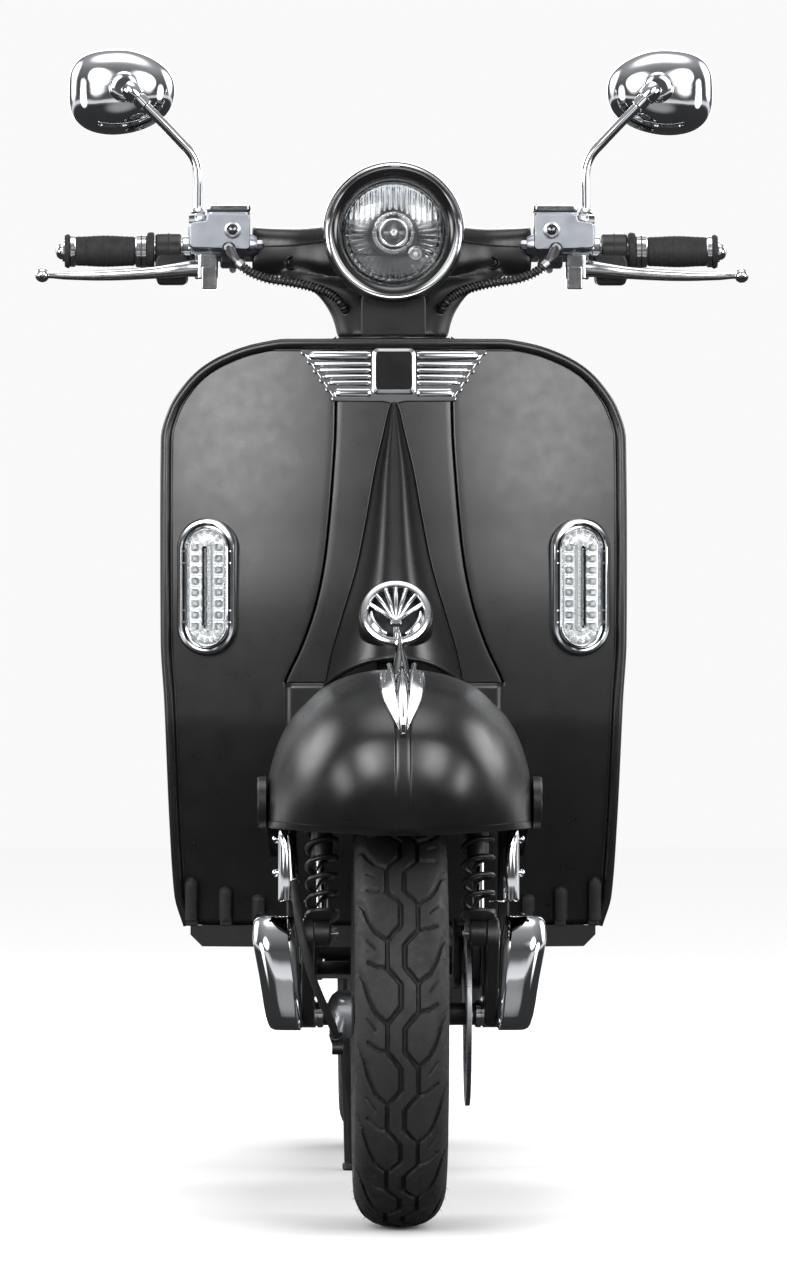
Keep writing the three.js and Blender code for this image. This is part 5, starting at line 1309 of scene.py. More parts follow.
def make_mirror(side, sign):
    stem, head = f"stem_{side}", f"mirror_{side}"
    how = {"flip": sign, "nodes": [f"mirror_stem_{side}"]}
    tube(f"mirror_arm_{side}", path_through(STEM, 60), 5, "chrome", stem, sides=28, **how)
    nut = [(5, 1004), (9.2, 1004), (9.6, 1005), (9.6, 1012.6), (8.8, 1014), (5, 1014), (5, 1004)]
    lathe(f"mirror_nut_{side}", nut, (0, 0, 1), MIRROR_FOOT, "chrome", stem, segments=6, bevel=0.5, angle=20,
          **how)
    collar = [(5, 1014), (7.4, 1014), (7.8, 1016), (6.4, 1019), (5, 1020), (5, 1014)]
    lathe(f"mirror_collar_{side}", collar, (0, 0, 1), MIRROR_FOOT, "chrome", stem, segments=40, **how)
    reach = Vector((274, -242, 1147)) - Vector((254, -244.6, 1126))
    sleeve = [(5, 0), (6.6, 0), (7.6, 1.2), (7.6, 11), (6.9, 11.6), (6.9, 12.6), (9, 13.4), (9.4, 15),
              (9.6, 22), (9.2, 27), (7, 31), (0.01, 32)]
    lathe(f"mirror_elbow_{side}", sleeve, reach, (253, -244.8, 1125), "chrome", stem, segments=40, **how)

    how = {"flip": sign, "nodes": [f"mirror_head_{side}"]}
    shell = [(0.02, -236.4), (0.3, -236), (0.55, -233.8), (0.74, -230), (0.88, -223.6), (0.965, -215.4),
             (1, -207.4), (1, -203), (0.97, -202), (0.955, -203), (0.955, -206)]
    rings = [mirror_ring(scale, y) for scale, y in shell]
    loft(f"mirror_shell_{side}", rings, "chrome", head, caps=False, angle=60, subdivide=1, **how)
    glass = [mirror_ring(scale, y) for scale, y in ((0.962, -207), (0.962, -204.6), (0.5, -204.1),
                                                    (0.02, -204))]
    loft(f"mirror_glass_{side}", glass, "mirror glass", head, caps=False, **how)
    socket = [(16.4, 9), (16, 12), (14.6, 14.2), (12.6, 15.2), (8, 15.4), (0.01, 15.4), (0.01, 9)]
    lathe(f"mirror_socket_{side}", socket, (0, -1, 0), (276, -223.6, 1146), "chrome", head, segments=56,
          **how)


make_bar()
for side, sign in SIDES:
    make_switches(side, sign)
    make_master(side, sign)
    make_lever(side, sign)
    make_hose(side, sign)
    make_mirror(side, sign)


# ---------------------------------------------------------------- wheels

TYRE = 208.5
FRONT_AXLE, REAR_AXLE = (-667, 208.5), (603, 217)
PITCHES, STEPS = 16, 48
PITCH = 2 * math.pi * TYRE / PITCHES
GROOVES = (
    # points as (along the tread, across it), half width, depth
    ([(-28, -14.8), (0, -14.8), (16, -1.8), (38, -1.8), (PITCH - 28, -14.8)], 1.9, 5.0),
    ([(0, -14.8), (10, -26), (25, -32.6), (45, -37.5), (62, -45)], 1.6, 4.2),
    ([(-28, -14.8), (-26, -24), (-20, -33)], 1.4, 3.6),
    ([(3, -34), (-7.5, -26)], 0.9, 2.4),
)
tread_r = smooth([(0, 208.5), (12, 207.8), (23, 205), (32, 199.8), (38, 193.6), (42, 186)])
SIDEWALL = [(43.8, 181), (45, 175), (45.3, 170), (44.8, 166), (45.4, 164.6), (45.4, 162.8), (44, 161.2),
            (41.8, 154), (38, 147), (34.4, 141.5), (31.8, 137.6), (30.3, 134.4), (29.6, 130.5)]


def groove_depth(s, x):
    found = 0.0
    for points, half, depth in GROOVES:
        near = 9.0
        for shift in (-PITCH, 0, PITCH):
            for (s0, x0), (s1, x1) in zip(points, points[1:]):
                ds, dx = s1 - s0, x1 - x0
                ps, px = s + shift - s0, x - x0
                t = min(max((ps * ds + px * dx) / (ds * ds + dx * dx), 0), 1)
                near = min(near, math.hypot(ps - t * ds, px - t * dx))
        edge = min(max((near - half + 0.5) / 1.1, 0), 1)
        found = max(found, depth * (1 - edge * edge * (3 - 2 * edge)))
    return found


TREAD_X = spread(-42, 42, 68)
OTHER_HALF = 39  # how far along the tread one half's pattern is from the other's


def tread_depth(s, x):
    """Grooves that fade out at the shoulder, and a fine mould line along the middle."""
    found = max(groove_depth(s, x), groove_depth(s - OTHER_HALF, -x))
    return found * min(1, (47 - abs(x)) / 7) - 0.35 * (abs(x) < 0.5)


TREAD = [[tread_depth(PITCH * k / STEPS, x) for k in range(STEPS)] for x in TREAD_X]


def on_wheel(axle, r, turn, x):
    return (x, axle[0] - r * math.cos(turn), axle[1] + r * math.sin(turn))


def make_tyre(name, axle, body):
    columns = PITCHES * STEPS
    rows = [(-x, [r] * columns) for x, r in reversed(SIDEWALL)]
    rows += [(x, [tread_r(abs(x)) - depth[i % STEPS] for i in range(columns)])
             for x, depth in zip(TREAD_X, TREAD)]
    rows += [(x, [r] * columns) for x, r in SIDEWALL]
    verts = [on_wheel(axle, radii[i], 2 * math.pi * i / columns, x) for x, radii in rows
             for i in range(columns)]
    make(name + "_casing", verts, grid_faces(len(rows), columns, closed=True), "tyre rubber", body,
         nodes=[name], angle=40)
    verts, faces = [], []
    for i in range(150):
        turn, side = 2.4 * i, (-1, 1)[i % 2]
        r, lean = (181, 192, 199)[i % 3], math.sin(7.1 * i)
        x = side * (44 if r == 181 else 39.5 if r == 192 else 33.5)
        tip = on_wheel(axle, r + 2.6 + lean, turn + 0.004 * lean, x + side * (2.6 - lean))
        base = [on_wheel(axle, r - 1 + 0.4 * math.cos(a), turn + 0.0022 * math.sin(a), x)
                for a in (0, 2.1, 4.2)]
        start = len(verts)
        verts += [*base, tip]
        faces += [(start, start + 1, start + 3), (start + 1, start + 2, start + 3),
                  (start + 2, start, start + 3)]
    make(name + "_hairs", verts, faces, "tyre rubber", body, nodes=[name])


def make_rim(side, axle, body):
    node = f"{side}_rim"
    half = [(134, 30.8), (134.4, 32.4), (133, 33.6), (130, 33.4), (125, 31.5), (122, 27), (118, 17),
            (115.5, 8)]
    out = [(128.5, 28.3), (126.5, 24), (122, 12)]
    profile = half + [(r, -x) for r, x in reversed(half)] + [(r, -x) for r, x in out] + out[::-1] + half[:1]
    centre = (0, *axle)
    lathe(f"{side}_rim_barrel", profile, (1, 0, 0), centre, "rim alloy", body, segments=144, nodes=[node])
    reach = 40 if side == "front" else 43
    hub = [(9.5, -40), (21, -40), (24, -38.5), (28, -30), (30, -22), (26, -13), (26, 13), (30, 22), (28, 30),
           (24, reach - 1.5), (21, reach), (9.5, reach), (9.5, -40)]
    lathe(f"{side}_rim_hub", hub, (1, 0, 0), centre, "rim alloy", body, segments=64, nodes=[node])
    for k in range(10):
        lean = (-1) ** k
        middle = 2 * math.pi * (k // 2) / 5 + 0.3
        rings = []
        for t in spread(0, 1, 14):
            r = 24 + 95 * t
            turn = middle + lean * (0.1 + 0.2 * t - 0.04 * t * t)
            wide, deep = 7.5 - 3 * t + 4.5 * t ** 8, 22 - 12 * t
            ring = []
            for a in whole_turn(20):
                u = soft(math.cos(a), 0.6)
                w = soft(math.sin(a), 0.6)
                ring.append(on_wheel(axle, r, turn + u * wide / r, w * deep))
            rings.append(ring)
        loft(f"{side}_rim_spoke_{k}", rings, "rim alloy", body, nodes=[node], angle=50)
    at = on_wheel(axle, 116, middle + 0.62, 6)
    rod(f"{side}_valve", at, on_wheel(axle, 92, middle + 0.62, 13), 3, "rubber", body, sides=14, nodes=[node])


def make_disc():
    verts, faces = [], []
    for row, (r0, r1) in enumerate(((60, 75), (75, 90))):
        for cell in range(24):
            middle = (cell + 0.5 * row) * math.pi / 12
            square = [(1, -1), (1, -0.5), (1, 0), (1, 0.5), (1, 1), (0.5, 1), (0, 1), (-0.5, 1), (-1, 1),
                      (-1, 0.5), (-1, 0), (-1, -0.5), (-1, -1), (-0.5, -1), (0, -1), (0.5, -1)]
            start = len(verts)
            for x in (69, 64.5):
                for u, v in square:
                    verts.append(on_wheel(FRONT_AXLE, (r0 + r1) / 2 + v * 7.5, middle + u * math.pi / 24, x))
                for u, v in square:
                    size = 3.1 / math.hypot(u, v)
                    r = (r0 + r1) / 2 + v * size
                    verts.append(on_wheel(FRONT_AXLE, r, middle + u * size / r, x))
            for k in range(16):
                j = (k + 1) % 16
                faces += [(start + k, start + j, start + 16 + j, start + 16 + k),
                          (start + 32 + j, start + 32 + k, start + 48 + k, start + 48 + j),
                          (start + 16 + k, start + 16 + j, start + 48 + j, start + 48 + k)]
                if (4 <= k < 8 and row) or (12 <= k and not row):
                    faces.append((start + j, start + k, start + 32 + k, start + 32 + j))
    make("disc_ring", verts, faces, "steel", "front_wheel", nodes=["brake_disc"], bevel=0.35, segments=2)
    star = [(FRONT_AXLE[0] - r * math.cos(a), FRONT_AXLE[1] + r * math.sin(a))
            for a in whole_turn(180) for r in (25 + 38 * abs(math.cos(2.5 * a)) ** 5,)]
    slab("disc_carrier", star, "x", 64.8, 68.4, "frame paint", "front_wheel", bevel=0.6, nodes=["brake_disc"])
    for k in range(5):
        at = on_wheel(FRONT_AXLE, 55, 2 * math.pi * k / 5, 68.3)
        bolt(f"disc_bolt_{k}", at, (1, 0, 0), 5, "steel", "front_wheel", height=2.2, nodes=["brake_disc"])


make_tyre("front_tyre", FRONT_AXLE, "front_wheel")
make_tyre("rear_tyre", REAR_AXLE, "rear_wheel")
make_rim("front", FRONT_AXLE, "front_wheel")
make_rim("rear", REAR_AXLE, "rear_wheel")
make_disc()


# ---------------------------------------------------------------- front suspension

SHOCK_TOP, SHOCK_FOOT, LINK_PIVOT = (-668, 470), (-742, 290), (-590, 245)


def make_link(side, sign):
    how = {"flip": sign, "nodes": ["front_link"]}
    arm = [(-590, 228), (-572, 245), (-590, 264), (-655, 263), (-732, 306), (-750, 302), (-756, 284),
           (-702, 216), (-686, 200), (-667, 195), (-648, 199), (-630, 212)]
    slab(f"link_arm_{side}", rounded(arm, 16), "x", 83, 96, "frame paint", "front_link", bevel=3, **how)
    web = [(-602, 240), (-596, 250), (-650, 252), (-720, 290), (-735, 288), (-700, 232), (-690, 226),
           (-650, 226)]
    slab(f"link_rib_{side}", rounded(web, 8), "x", 80.6, 83.4, "frame paint", "front_link", bevel=1.2, **how)
    collar = [(8, 74), (12, 74), (13.4, 75.4), (13.4, 80), (11.8, 80.4), (11.8, 81.4), (13.4, 81.8),
              (13.4, 97), (8, 97)]
    lathe(f"link_collar_{side}", collar, (1, 0, 0), (0, *FRONT_AXLE), "polished alloy", "front_link",
          segments=48, slot="steel", **how)
    tube_profile = [(8, 40.5), (11, 40.5), (11, 74.5), (8, 74.5)]
    lathe(f"link_spacer_{side}", tube_profile, (1, 0, 0), (0, *FRONT_AXLE), "frame paint", "front_link",
          segments=40, **how)
    foot = (0, *SHOCK_FOOT)
    pin = [(0.01, 60), (2.6, 60), (3.2, 60.8), (3.2, 64), (5, 64.2), (5, 97), (0.01, 97)]
    lathe(f"link_pin_{side}", pin, (1, 0, 0), foot, "steel", "front_link", segments=30, **how)
    nut = [(SHOCK_FOOT[0] + 7.2 * math.cos(a), SHOCK_FOOT[1] + 7.2 * math.sin(a)) for a in whole_turn(6)]
    slab(f"link_nut_{side}", nut, "x", 62.4, 67.6, "steel", "front_link", bevel=0.8, **how)


def make_speedo_drive():
    how = {"slot": "frame_black", "nodes": ["front_link"]}
    can = [(9, -44), (19, -44.4), (23.4, -47), (23.4, -60), (19, -66), (12.5, -69.5), (9, -70)]
    lathe("drive_can", can, (1, 0, 0), (0, *FRONT_AXLE), "engine alloy", "front_link", segments=60, **how)
    rod("drive_boss", (-54, -679, 222), (-62, -688, 190), 7.4, "engine alloy", "front_link", bevel=1.2, **how)
    for k in range(3):
        at = on_wheel(FRONT_AXLE, 20.4, 0.4 + 2.1 * k, -47.6)
        rod(f"drive_lug_{k}", at, (at[0] - 13, at[1], at[2]), 3.2, "engine alloy", "front_link", sides=18,
            **how)


def make_cable():
    points = [(-105, -650, 392), (-104, -690, 366), (-102.5, -730, 335), (-99.5, -757, 308), (-94, -765, 280),
              (-87, -760, 252), (-77, -744, 226), (-67, -716, 203), (-62, -692, 188)]
    path = path_through(points, 90)
    for name, some, radius, paint in (
        ("cable_sheath", path, 3.9, "rubber"), ("cable_sleeve", path[4:22], 4.6, "polished alloy"),
        ("cable_nut", [Vector((-62.6, -694, 190)), Vector((-60.4, -684, 183))], 6.6, "dark steel"),
        ("cable_eye", [Vector((-66, -688, 176)), Vector((-55, -688, 176))], 6.4, "dark steel"),
        ("cable_tie", [Vector((-61.5, -690, 187)), Vector((-60.5, -688, 176))], 4.2, "dark steel"),
    ):
        obj = tube(name, some, radius, paint, None, bevel=0.5, slot="rubber", nodes=["speedometer_cable"])
        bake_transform(obj)


def make_link_cover(side, sign):
    node = f"link_cover_{side}"
    heights = [(193.6, 26, 13), (195.4, 29.4, 8), (199, 31.4, 5.6), (208, 33.6, 3.4), (219, 35, 1.7),
               (230, 36, 0.6), (246, 37.6, 0), (270, 40.6, 0.3), (277, 41.4, 0.9), (282, 41.8, 2.4),
               (288, 41.6, 5), (295, 40.8, 8.6), (300, 39.4, 12), (304.4, 36, 17), (305.8, 30, 24)]
    verts, faces = [], []
    for z, reach, back in heights:
        front, x0 = -705 + back, 96.4 + 0.06 * (z - 193)
        corner = min(16, reach * 0.55)
        ring = [(x0, front)]
        ring += [(x0 + (reach - corner) * t, front) for t in (0.3, 0.7, 1)]
        ring += [(x0 + reach - corner + corner * math.sin(a), front + corner * (1 - math.cos(a)))
                 for a in spread(0, math.pi / 2, 12)[1:]]
        ring += [(x0 + reach - 0.5 * t * t, front + corner + (-560 - front - corner) * t)
                 for t in spread(0, 1, 6)[1:]]
        verts += [(x, y, z) for x, y in ring]
        count = len(ring)
    faces = grid_faces(len(heights), count)
    faces.append(tuple(range(count)))
    lid = [i for i in range(len(verts) - count, len(verts)) if verts[i][0] > 121]
    verts += [(121, -560, z), (121, front, z)]
    faces.append((*lid, len(verts) - 2, len(verts) - 1))
    make(f"link_cover_skin_{side}", verts, faces, "chrome", "front_link", nodes=[node], flip=sign,
         thick=1.6, angle=50)
    lip = [(96.9, -696, 196), (96.9, -700, 214), (100, -703, 276), (102.6, -697, 296)]
    tube(f"link_cover_edge_{side}", path_through(lip, 30), 1.3, "rubber", "front_link", sides=10, flip=sign,
         nodes=[node])
    bolt(f"link_cover_bolt_{side}", (132.6, -590, 246), (1, 0, 0.08), 5, "chrome", "front_link", height=4,
         flip=sign, nodes=[node])


def make_caliper():
    how = {"nodes": ["brake_caliper"]}
    body = [(-628, 234), (-592, 229), (-571, 250), (-574, 294), (-602, 303), (-627, 282)]
    slab("caliper_outer", rounded(body, 10), "x", 71.4, 82.2, "frame paint", "front_link", bevel=3, **how)
    slab("caliper_inner", rounded(body, 10), "x", 54, 62, "frame paint", "front_link", bevel=2.4, **how)
    bridge = [(-591, 266), (-575, 258), (-575, 292), (-602, 302), (-620, 296)]
    slab("caliper_bridge", rounded(bridge, 5), "x", 58, 76, "frame paint", "front_link", bevel=2, **how)
    for k, (y, z) in enumerate(((-614, 262), (-596, 250))):
        piston = [(0.01, 54.6), (10, 54.6), (12.5, 56), (12.5, 60), (0.01, 60)]
        lathe(f"caliper_piston_{k}", piston, (1, 0, 0), (0, y, z), "dark steel", "front_link", segments=36,
              nodes=["brake_caliper"])
        bolt(f"caliper_bolt_{k}", (54.4, y + 22, z + 26), (-1, 0, 0), 4.4, "steel", "front_link", height=3,
             nodes=["brake_caliper"])
    pads = [(-626, 246), (-596, 240), (-586, 262), (-604, 278), (-624, 274)]
    for k, low in enumerate((62, 69.9)):
        slab(f"brake_pad_{k}", rounded(pads, 5), "x", low, low + 1.6, "dark steel", "front_link", bevel=0.4,
             nodes=["brake_caliper"])


def make_fork(side, sign):
    how = {"flip": sign, "nodes": ["fork"]}
    leg = [(-607, 236), (-590, 228), (-573, 236), (-554, 432), (-554, 446), (-582, 446), (-582, 436),
           (-607, 262)]
    slab(f"fork_leg_{side}", leg, "x", 99.5, 110, "frame paint", "steering", bevel=2, **how)
    arm = [(-560, 436), (-560, 452), (-650, 474), (-676, 482), (-682, 468), (-672, 456), (-652, 450)]
    slab(f"fork_bracket_{side}", rounded(arm, 7), "x", 94, 108, "frame paint", "steering", bevel=2, **how)
    rings = []
    for t in spread(0, 1, 22):
        z = 389 - 71 * t
        inner = 116.4 - 14.6 * (1 - (1 - min(1, t / 0.4)) ** 2)
        y = -651 - 6 * math.sin(t * 2.2)
        wide = 118.4 - inner
        front = [(inner, y + 3), (inner + 0.12 * wide, y + 0.6), (inner + 0.4 * wide, y - 1),
                 (inner + 0.55 * wide, y + 0.4), (inner + 0.7 * wide, y - 0.8), (118, y + 4), (119, y + 12),
                 (118.6, y + 40)]
        rings.append([(x, w, z) for x, w in front])
    count = len(rings[0])
    make(f"fork_cover_{side}", [p for ring in rings for p in ring], grid_faces(len(rings), count), "chrome",
         "steering", thick=1.6, subdivide=1, angle=60, **how)
    slab(f"fork_cover_foot_{side}", rounded([(88, -654), (104, -656), (104, -638), (92, -638)], 3), "z",
         317.4, 319.6, "chrome", "steering", bevel=0.6, **how)
    stay = [(-662, 440), (-650, 447), (-560, 447), (-556, 420), (-566, 350), (-600, 330), (-606, 372),
            (-640, 384)]
    slab(f"fork_stay_{side}", rounded(stay, 10), "x", 110.3, 116, "frame paint", "steering", bevel=1.4, **how)
    for k, (y, z) in enumerate(((-640, 346), (-632, 379))):
        acorn = [(0.01, 124.4), (2, 124), (3.6, 122.6), (4.3, 120.6), (4.3, 117), (0.01, 117)]
        lathe(f"fork_cover_nut_{side}_{k}", acorn, (1, 0, 0), (0, y, z), "chrome", "steering", segments=24,
              **how)
        rod(f"fork_cover_stud_{side}_{k}", (118, y, z), (114, y, z), 3, "steel", "steering", sides=14, **how)
    boss = [(0.01, 92), (9, 92), (10.4, 93), (10.4, 98), (8, 99), (8, 118), (0.01, 118)]
    lathe(f"fork_pivot_{side}", boss, (1, 0, 0), (0, *LINK_PIVOT), "dark steel", "steering", segments=36,
          **how)


RAKE = RAD(27)
STEERING_AXIS = Vector((0, math.sin(RAKE), math.cos(RAKE)))


def on_steering_axis(z):
    return (0, -752 + z * math.tan(RAKE), z)


def make_stem():
    axis = on_steering_axis
    rod("fork_neck", axis(440), axis(572), 19, "frame paint", "steering", nodes=["fork"])
    rod("fork_stem", axis(560), axis(905), 13, "steel", "steering", nodes=["fork"])
    rod("fork_riser", axis(898), (0, -238, 963), 11, "frame paint", "steering", nodes=["fork"])
    crown = [(-110, -577), (110, -577), (110, -554), (30, -498), (-30, -498), (-110, -554)]
    slab("fork_crown", rounded(crown, 10), "z", 426, 446, "frame paint", "steering", bevel=3, nodes=["fork"])


def make_shock(name, x, top, foot, upper, lower, nodes, paint, reach, start):
    """A coil-over shock: nodes are its damper and its rod; the spring replaces both and is tied to neither
    body.
    """
    ahead = Vector((0, foot[0] - top[0], foot[1] - top[1]))
    length = ahead.length
    ahead.normalize()
    head, toe = Vector((x, *top)), Vector((x, *foot))
    how = {"slot": "frame_black", "nodes": [nodes[0]]}
    for end, middle, body, node, big in (("top", top, upper, nodes[0], 13.6),
                                         ("foot", foot, lower, nodes[1], 12.6)):
        eye = [(7.2, -8), (big, -8), (big, 7), (7.2, 7), (7.2, -8)]
        lathe(f"{name}_eye_{end}", eye, (1, 0, 0), (x, *middle), "frame paint", body, segments=40, bevel=0.8,
              nodes=[node])
        bush = [(6.9, -9), (9.6, -9.4), (9.6, 8.4), (6.9, 8), (6.9, -9)]
        lathe(f"{name}_bush_{end}", bush, (1, 0, 0), (x, *middle), "rubber", body, segments=32, nodes=[node])
    cup = [(8, 8), (16.4, 10), (17.2, 12), (17.2, 20), (14, 21), (8, 21)]
    lathe(f"{name}_cup", cup, ahead, head, paint, upper, segments=48, **how)
    can = [(10.6, 20), (10.6, length * reach - 3), (9.2, length * reach), (7.2, length * reach)]
    lathe(f"{name}_can", can, ahead, head, "frame paint", upper, segments=40, **how)
    lathe(f"{name}_rod", [(0.01, length * start), (5.8, length * start), (5.8, length - 9),
                          (0.01, length - 9)], ahead, head, "chrome", lower, segments=28, slot="steel",
          nodes=[nodes[1]])
    seat = [(6, length - 21), (16, length - 21), (17, length - 19.6), (17, length - 17.4), (11, length - 12),
            (6, length - 11)]
    lathe(f"{name}_seat", seat, ahead, head, "frame paint", lower, segments=48, nodes=[nodes[1]])
    low, high, turns = 21, length - 21, 11 if length > 200 else 8
    across, up = Vector((1, 0, 0)), ahead.cross(Vector((1, 0, 0)))
    coil = []
    for t in spread(0, 1, turns * 22):
        a = 2 * math.pi * turns * t
        along = low + 2 + (high - low - 4) * t
        coil.append(head + ahead * along + (across * math.cos(a) + up * math.sin(a)) * 14.2)
    spring = tube(f"{name}_spring", coil, 2.7, paint, None, sides=10, slot="frame_black", nodes=nodes,
                  angle=60)
    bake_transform(spring)


for side, sign in SIDES:
    make_link(side, sign)
    make_link_cover(side, sign)
    make_fork(side, sign)
    make_shock(f"front_shock_{side}", 76 * sign, SHOCK_TOP, SHOCK_FOOT, "steering", "front_rods",
               [f"front_damper_{side}", f"front_shock_rod_{side}"], "frame paint", 0.6, 0.44)
make_speedo_drive()
make_cable()
make_caliper()
make_stem()
make_shock("rear_shock", 98, (613, 530), (625, 296), "chassis", "rear_rod", ["rear_damper", "rear_shock_rod"],
           "chrome", 0.48, 0.4)


# ---------------------------------------------------------------- frame, floor and inner shield

def dress(node, material, bevel=0.8, angle=40):
    """Finishes a CAD node that is shown as it is."""
    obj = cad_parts[node]
    obj.data.materials.clear()
    obj.data.materials.append(MATERIALS[material])
    obj.data.polygons.foreach_set("use_smooth", [True] * len(obj.data.polygons))
    obj.data.set_sharp_from_angle(angle=RAD(angle))
    round_off = obj.modifiers.new("rounding", "BEVEL")
    round_off.width = bevel * MM
    round_off.segments = 3
    round_off.limit_method = "ANGLE"
    round_off.angle_limit = RAD(angle)
    round_off.harden_normals = True


shield_half = by_first(SHIELD_EDGE)
INNER_MARGIN = 22  # from the shield's edge to the inner shield's
COLUMN_Y, COLUMN_HOLE = -316, 36  # the hole for the steering column in the lid


def inner_y(x, z):
    half = shield_half(z) - INNER_MARGIN
    level = min(max((abs(x) - 70) / (half - 75), 0), 1)
    skin = shield_y(x, z) + 6.6
    return skin + (-262 - skin) * (0.5 + 0.5 * math.cos(math.pi * level)) + 2


def make_inner_shield():
    how = {"slot": "matte_black", "nodes": ["inner_shield"]}
    columns, levels = spread(-1, 1, 72), spread(301, 858, 90)
    verts = []
    for z in levels:
        half = shield_half(z) - INNER_MARGIN
        ease = 12 * (max(0, (z - 838) / 20) ** 2 + max(0, (315 - z) / 14) ** 2)
        verts += [(u * half, inner_y(u * half, z) - ease * (1 - u * u), z) for u in columns]
    make("inner_panel", verts, grid_faces(len(levels), len(columns)), "moulded plastic", "chassis", thick=4,
         **how)
    verts, width = [], shield_half(858) - INNER_MARGIN
    for u in columns:
        x = u * width
        reach = math.sqrt(max(0, COLUMN_HOLE ** 2 - x * x))
        verts += [(x, shield_y(x, 862) + 12, 856), (x, COLUMN_Y - reach, 856), (x, COLUMN_Y + reach, 856),
                  (x, max(inner_y(x, 856) - 8, COLUMN_Y + reach) if abs(x) < COLUMN_HOLE else inner_y(x, 856)
                   - 8, 856)]
    faces = []
    for i in range(len(columns) - 1):
        a, b = 4 * i, 4 * i + 4
        if max(abs(columns[i] * width), abs(columns[i + 1] * width)) > COLUMN_HOLE:
            faces.append((a, b, b + 3, a + 3))
        else:
            faces += [(a, b, b + 1, a + 1), (a + 2, b + 2, b + 3, a + 3)]
    make("inner_lid", verts, faces, "moulded plastic", "chassis", thick=3, **how)
    door = rounded([(-120, 560), (120, 560), (134, 590), (134, 770), (118, 790), (-118, 790), (-134, 770),
                    (-134, 590)], 14)
    line = [(x, inner_y(x, z) + 1.2, z) for x, z in door]
    tube("glove_seam", line + line[:1], 1.1, "rubber", "chassis", sides=8, **how)
    lock = [(0.01, -256), (4, -256), (4.4, -255), (11, -255), (12.4, -257), (12.4, -264), (0.01, -264)]
    lathe("glove_lock", lock, (0, 1, 0), (0, 0, 740), "chrome", "chassis", segments=40, **how)
    block("glove_keyhole", (-0.9, -256.4, 736), (0.9, -254.6, 744), "gloss paint", "chassis", bevel=0.3,
          **how)
    hook = path_through([(0, -262, 655), (0, -246, 650), (0, -236, 640), (0, -240, 628), (0, -250, 626)], 24)
    tube("bag_hook", hook, lambda t: 5 - 1.4 * t, "chrome", "chassis", **how)
    for side, sign in SIDES:
        for k, z in enumerate((345, 520, 800)):
            x = 0.86 * (shield_half(z) - INNER_MARGIN)
            bolt(f"inner_screw_{side}_{k}", (x, inner_y(x, z) - 0.6, z), (0.2, 1, 0), 5, "dark steel",
                 "chassis", height=2.4, flip=sign, **how)


def make_floor():
    dress("floorboard", "moulded plastic", 1.6)
    for side, sign in SIDES:
        for k in range(8):
            x = 56 + 17.5 * k
            end = 30 if x < 148 else -62 if x < 200 else -70
            start = shield_y(x, 300) + 62
            rings = []
            for t in spread(0, 1, 16):
                swell = min(1, math.sin(math.pi * min(max(t, 0.004), 0.996)) ** 0.25)
                y = start + (end - start) * t
                rings.append([(x - 5 * swell, y, 299.6), (x - 3.6 * swell, y, 301.6 + 1.6 * swell),
                              (x + 3.6 * swell, y, 301.6 + 1.6 * swell), (x + 5 * swell, y, 299.6)])
            loft(f"floor_rib_{side}_{k}", rings, "rubber", "chassis", flip=sign, nodes=[], angle=30)
    for k, (x, y) in enumerate(((-40, -190), (40, -190), (-40, 20), (40, 20))):
        bolt(f"floor_bolt_{k}", (x, y, 299.8), (0, 0, 1), 6, "steel", "chassis", height=2.6)


def make_frame():
    how = {"slot": "frame_black", "nodes": ["main_frame"]}
    head = [(14.6, 600), (25, 600), (25, 613), (20, 616), (20, 822), (25, 825), (25, 838), (14.6, 838),
            (14.6, 600)]
    foot = Vector(on_steering_axis(600)) - STEERING_AXIS * 600
    lathe("frame_head", head, STEERING_AXIS, foot, "frame paint", "chassis", segments=40, bevel=0.8, **how)
    down = path_through([(0, -384, 690), (0, -338, 600), (0, -318, 470), (0, -296, 340), (0, -275, 258)], 40)
    tube("frame_down", down, 16, "frame paint", "chassis", sides=28, **how)
    rail = path_through([(75, -278, 258), (75, -120, 258), (75, 60, 258), (92, 118, 330), (112, 174, 440),
                         (120, 260, 530), (122, 400, 560), (120, 600, 572), (100, 725, 580)], 90)
    plates = (("pivot", 85, 93, [(96, 300), (140, 370), (276, 318), (276, 286), (130, 286)]),
              ("stand", 68, 78, [(58, 262), (66, 300), (96, 300), (164, 236), (164, 208), (136, 208)]))
    for side, sign in SIDES:
        tube(f"frame_rail_{side}", rail, 12, "frame paint", "chassis", sides=24, flip=sign, **how)
        for label, low, high, outline in plates:
            slab(f"frame_{label}_plate_{side}", rounded(outline, 8), "x", low, high, "frame paint", "chassis",
                 bevel=1.4, flip=sign, **how)
        block(f"frame_post_{side}", (84, 74, 430), (94, 86, 676), "frame paint", "chassis", flip=sign, **how)
        block(f"frame_tie_{side}", (84, 74, 424), (114, 180, 440), "frame paint", "chassis", flip=sign, **how)
    for label, y, z, reach, thick in (("front", -275, 258, 75, 10), ("middle", 30, 258, 75, 10),
                                      ("seat", 80, 668, 92, 5), ("unit_bolt", 262, 300, 92, 6),
                                      ("stand_bolt", 150, 222, 77, 5)):
        rod(f"frame_{label}", (-reach, y, z), (reach, y, z), thick, "frame paint", "chassis", sides=24, **how)
    rod("frame_shock_pin", (86, 613, 530), (119, 613, 530), 6, "steel", "chassis", sides=24, **how)
    block("frame_shock_plate", (117, 599, 518), (127, 627, 575), "frame paint", "chassis", **how)
    block("frame_fender_tie", (-101, 712, 573), (101, 730, 590), "frame paint", "chassis", **how)


# ---------------------------------------------------------------- body cowls, tail and rear fender

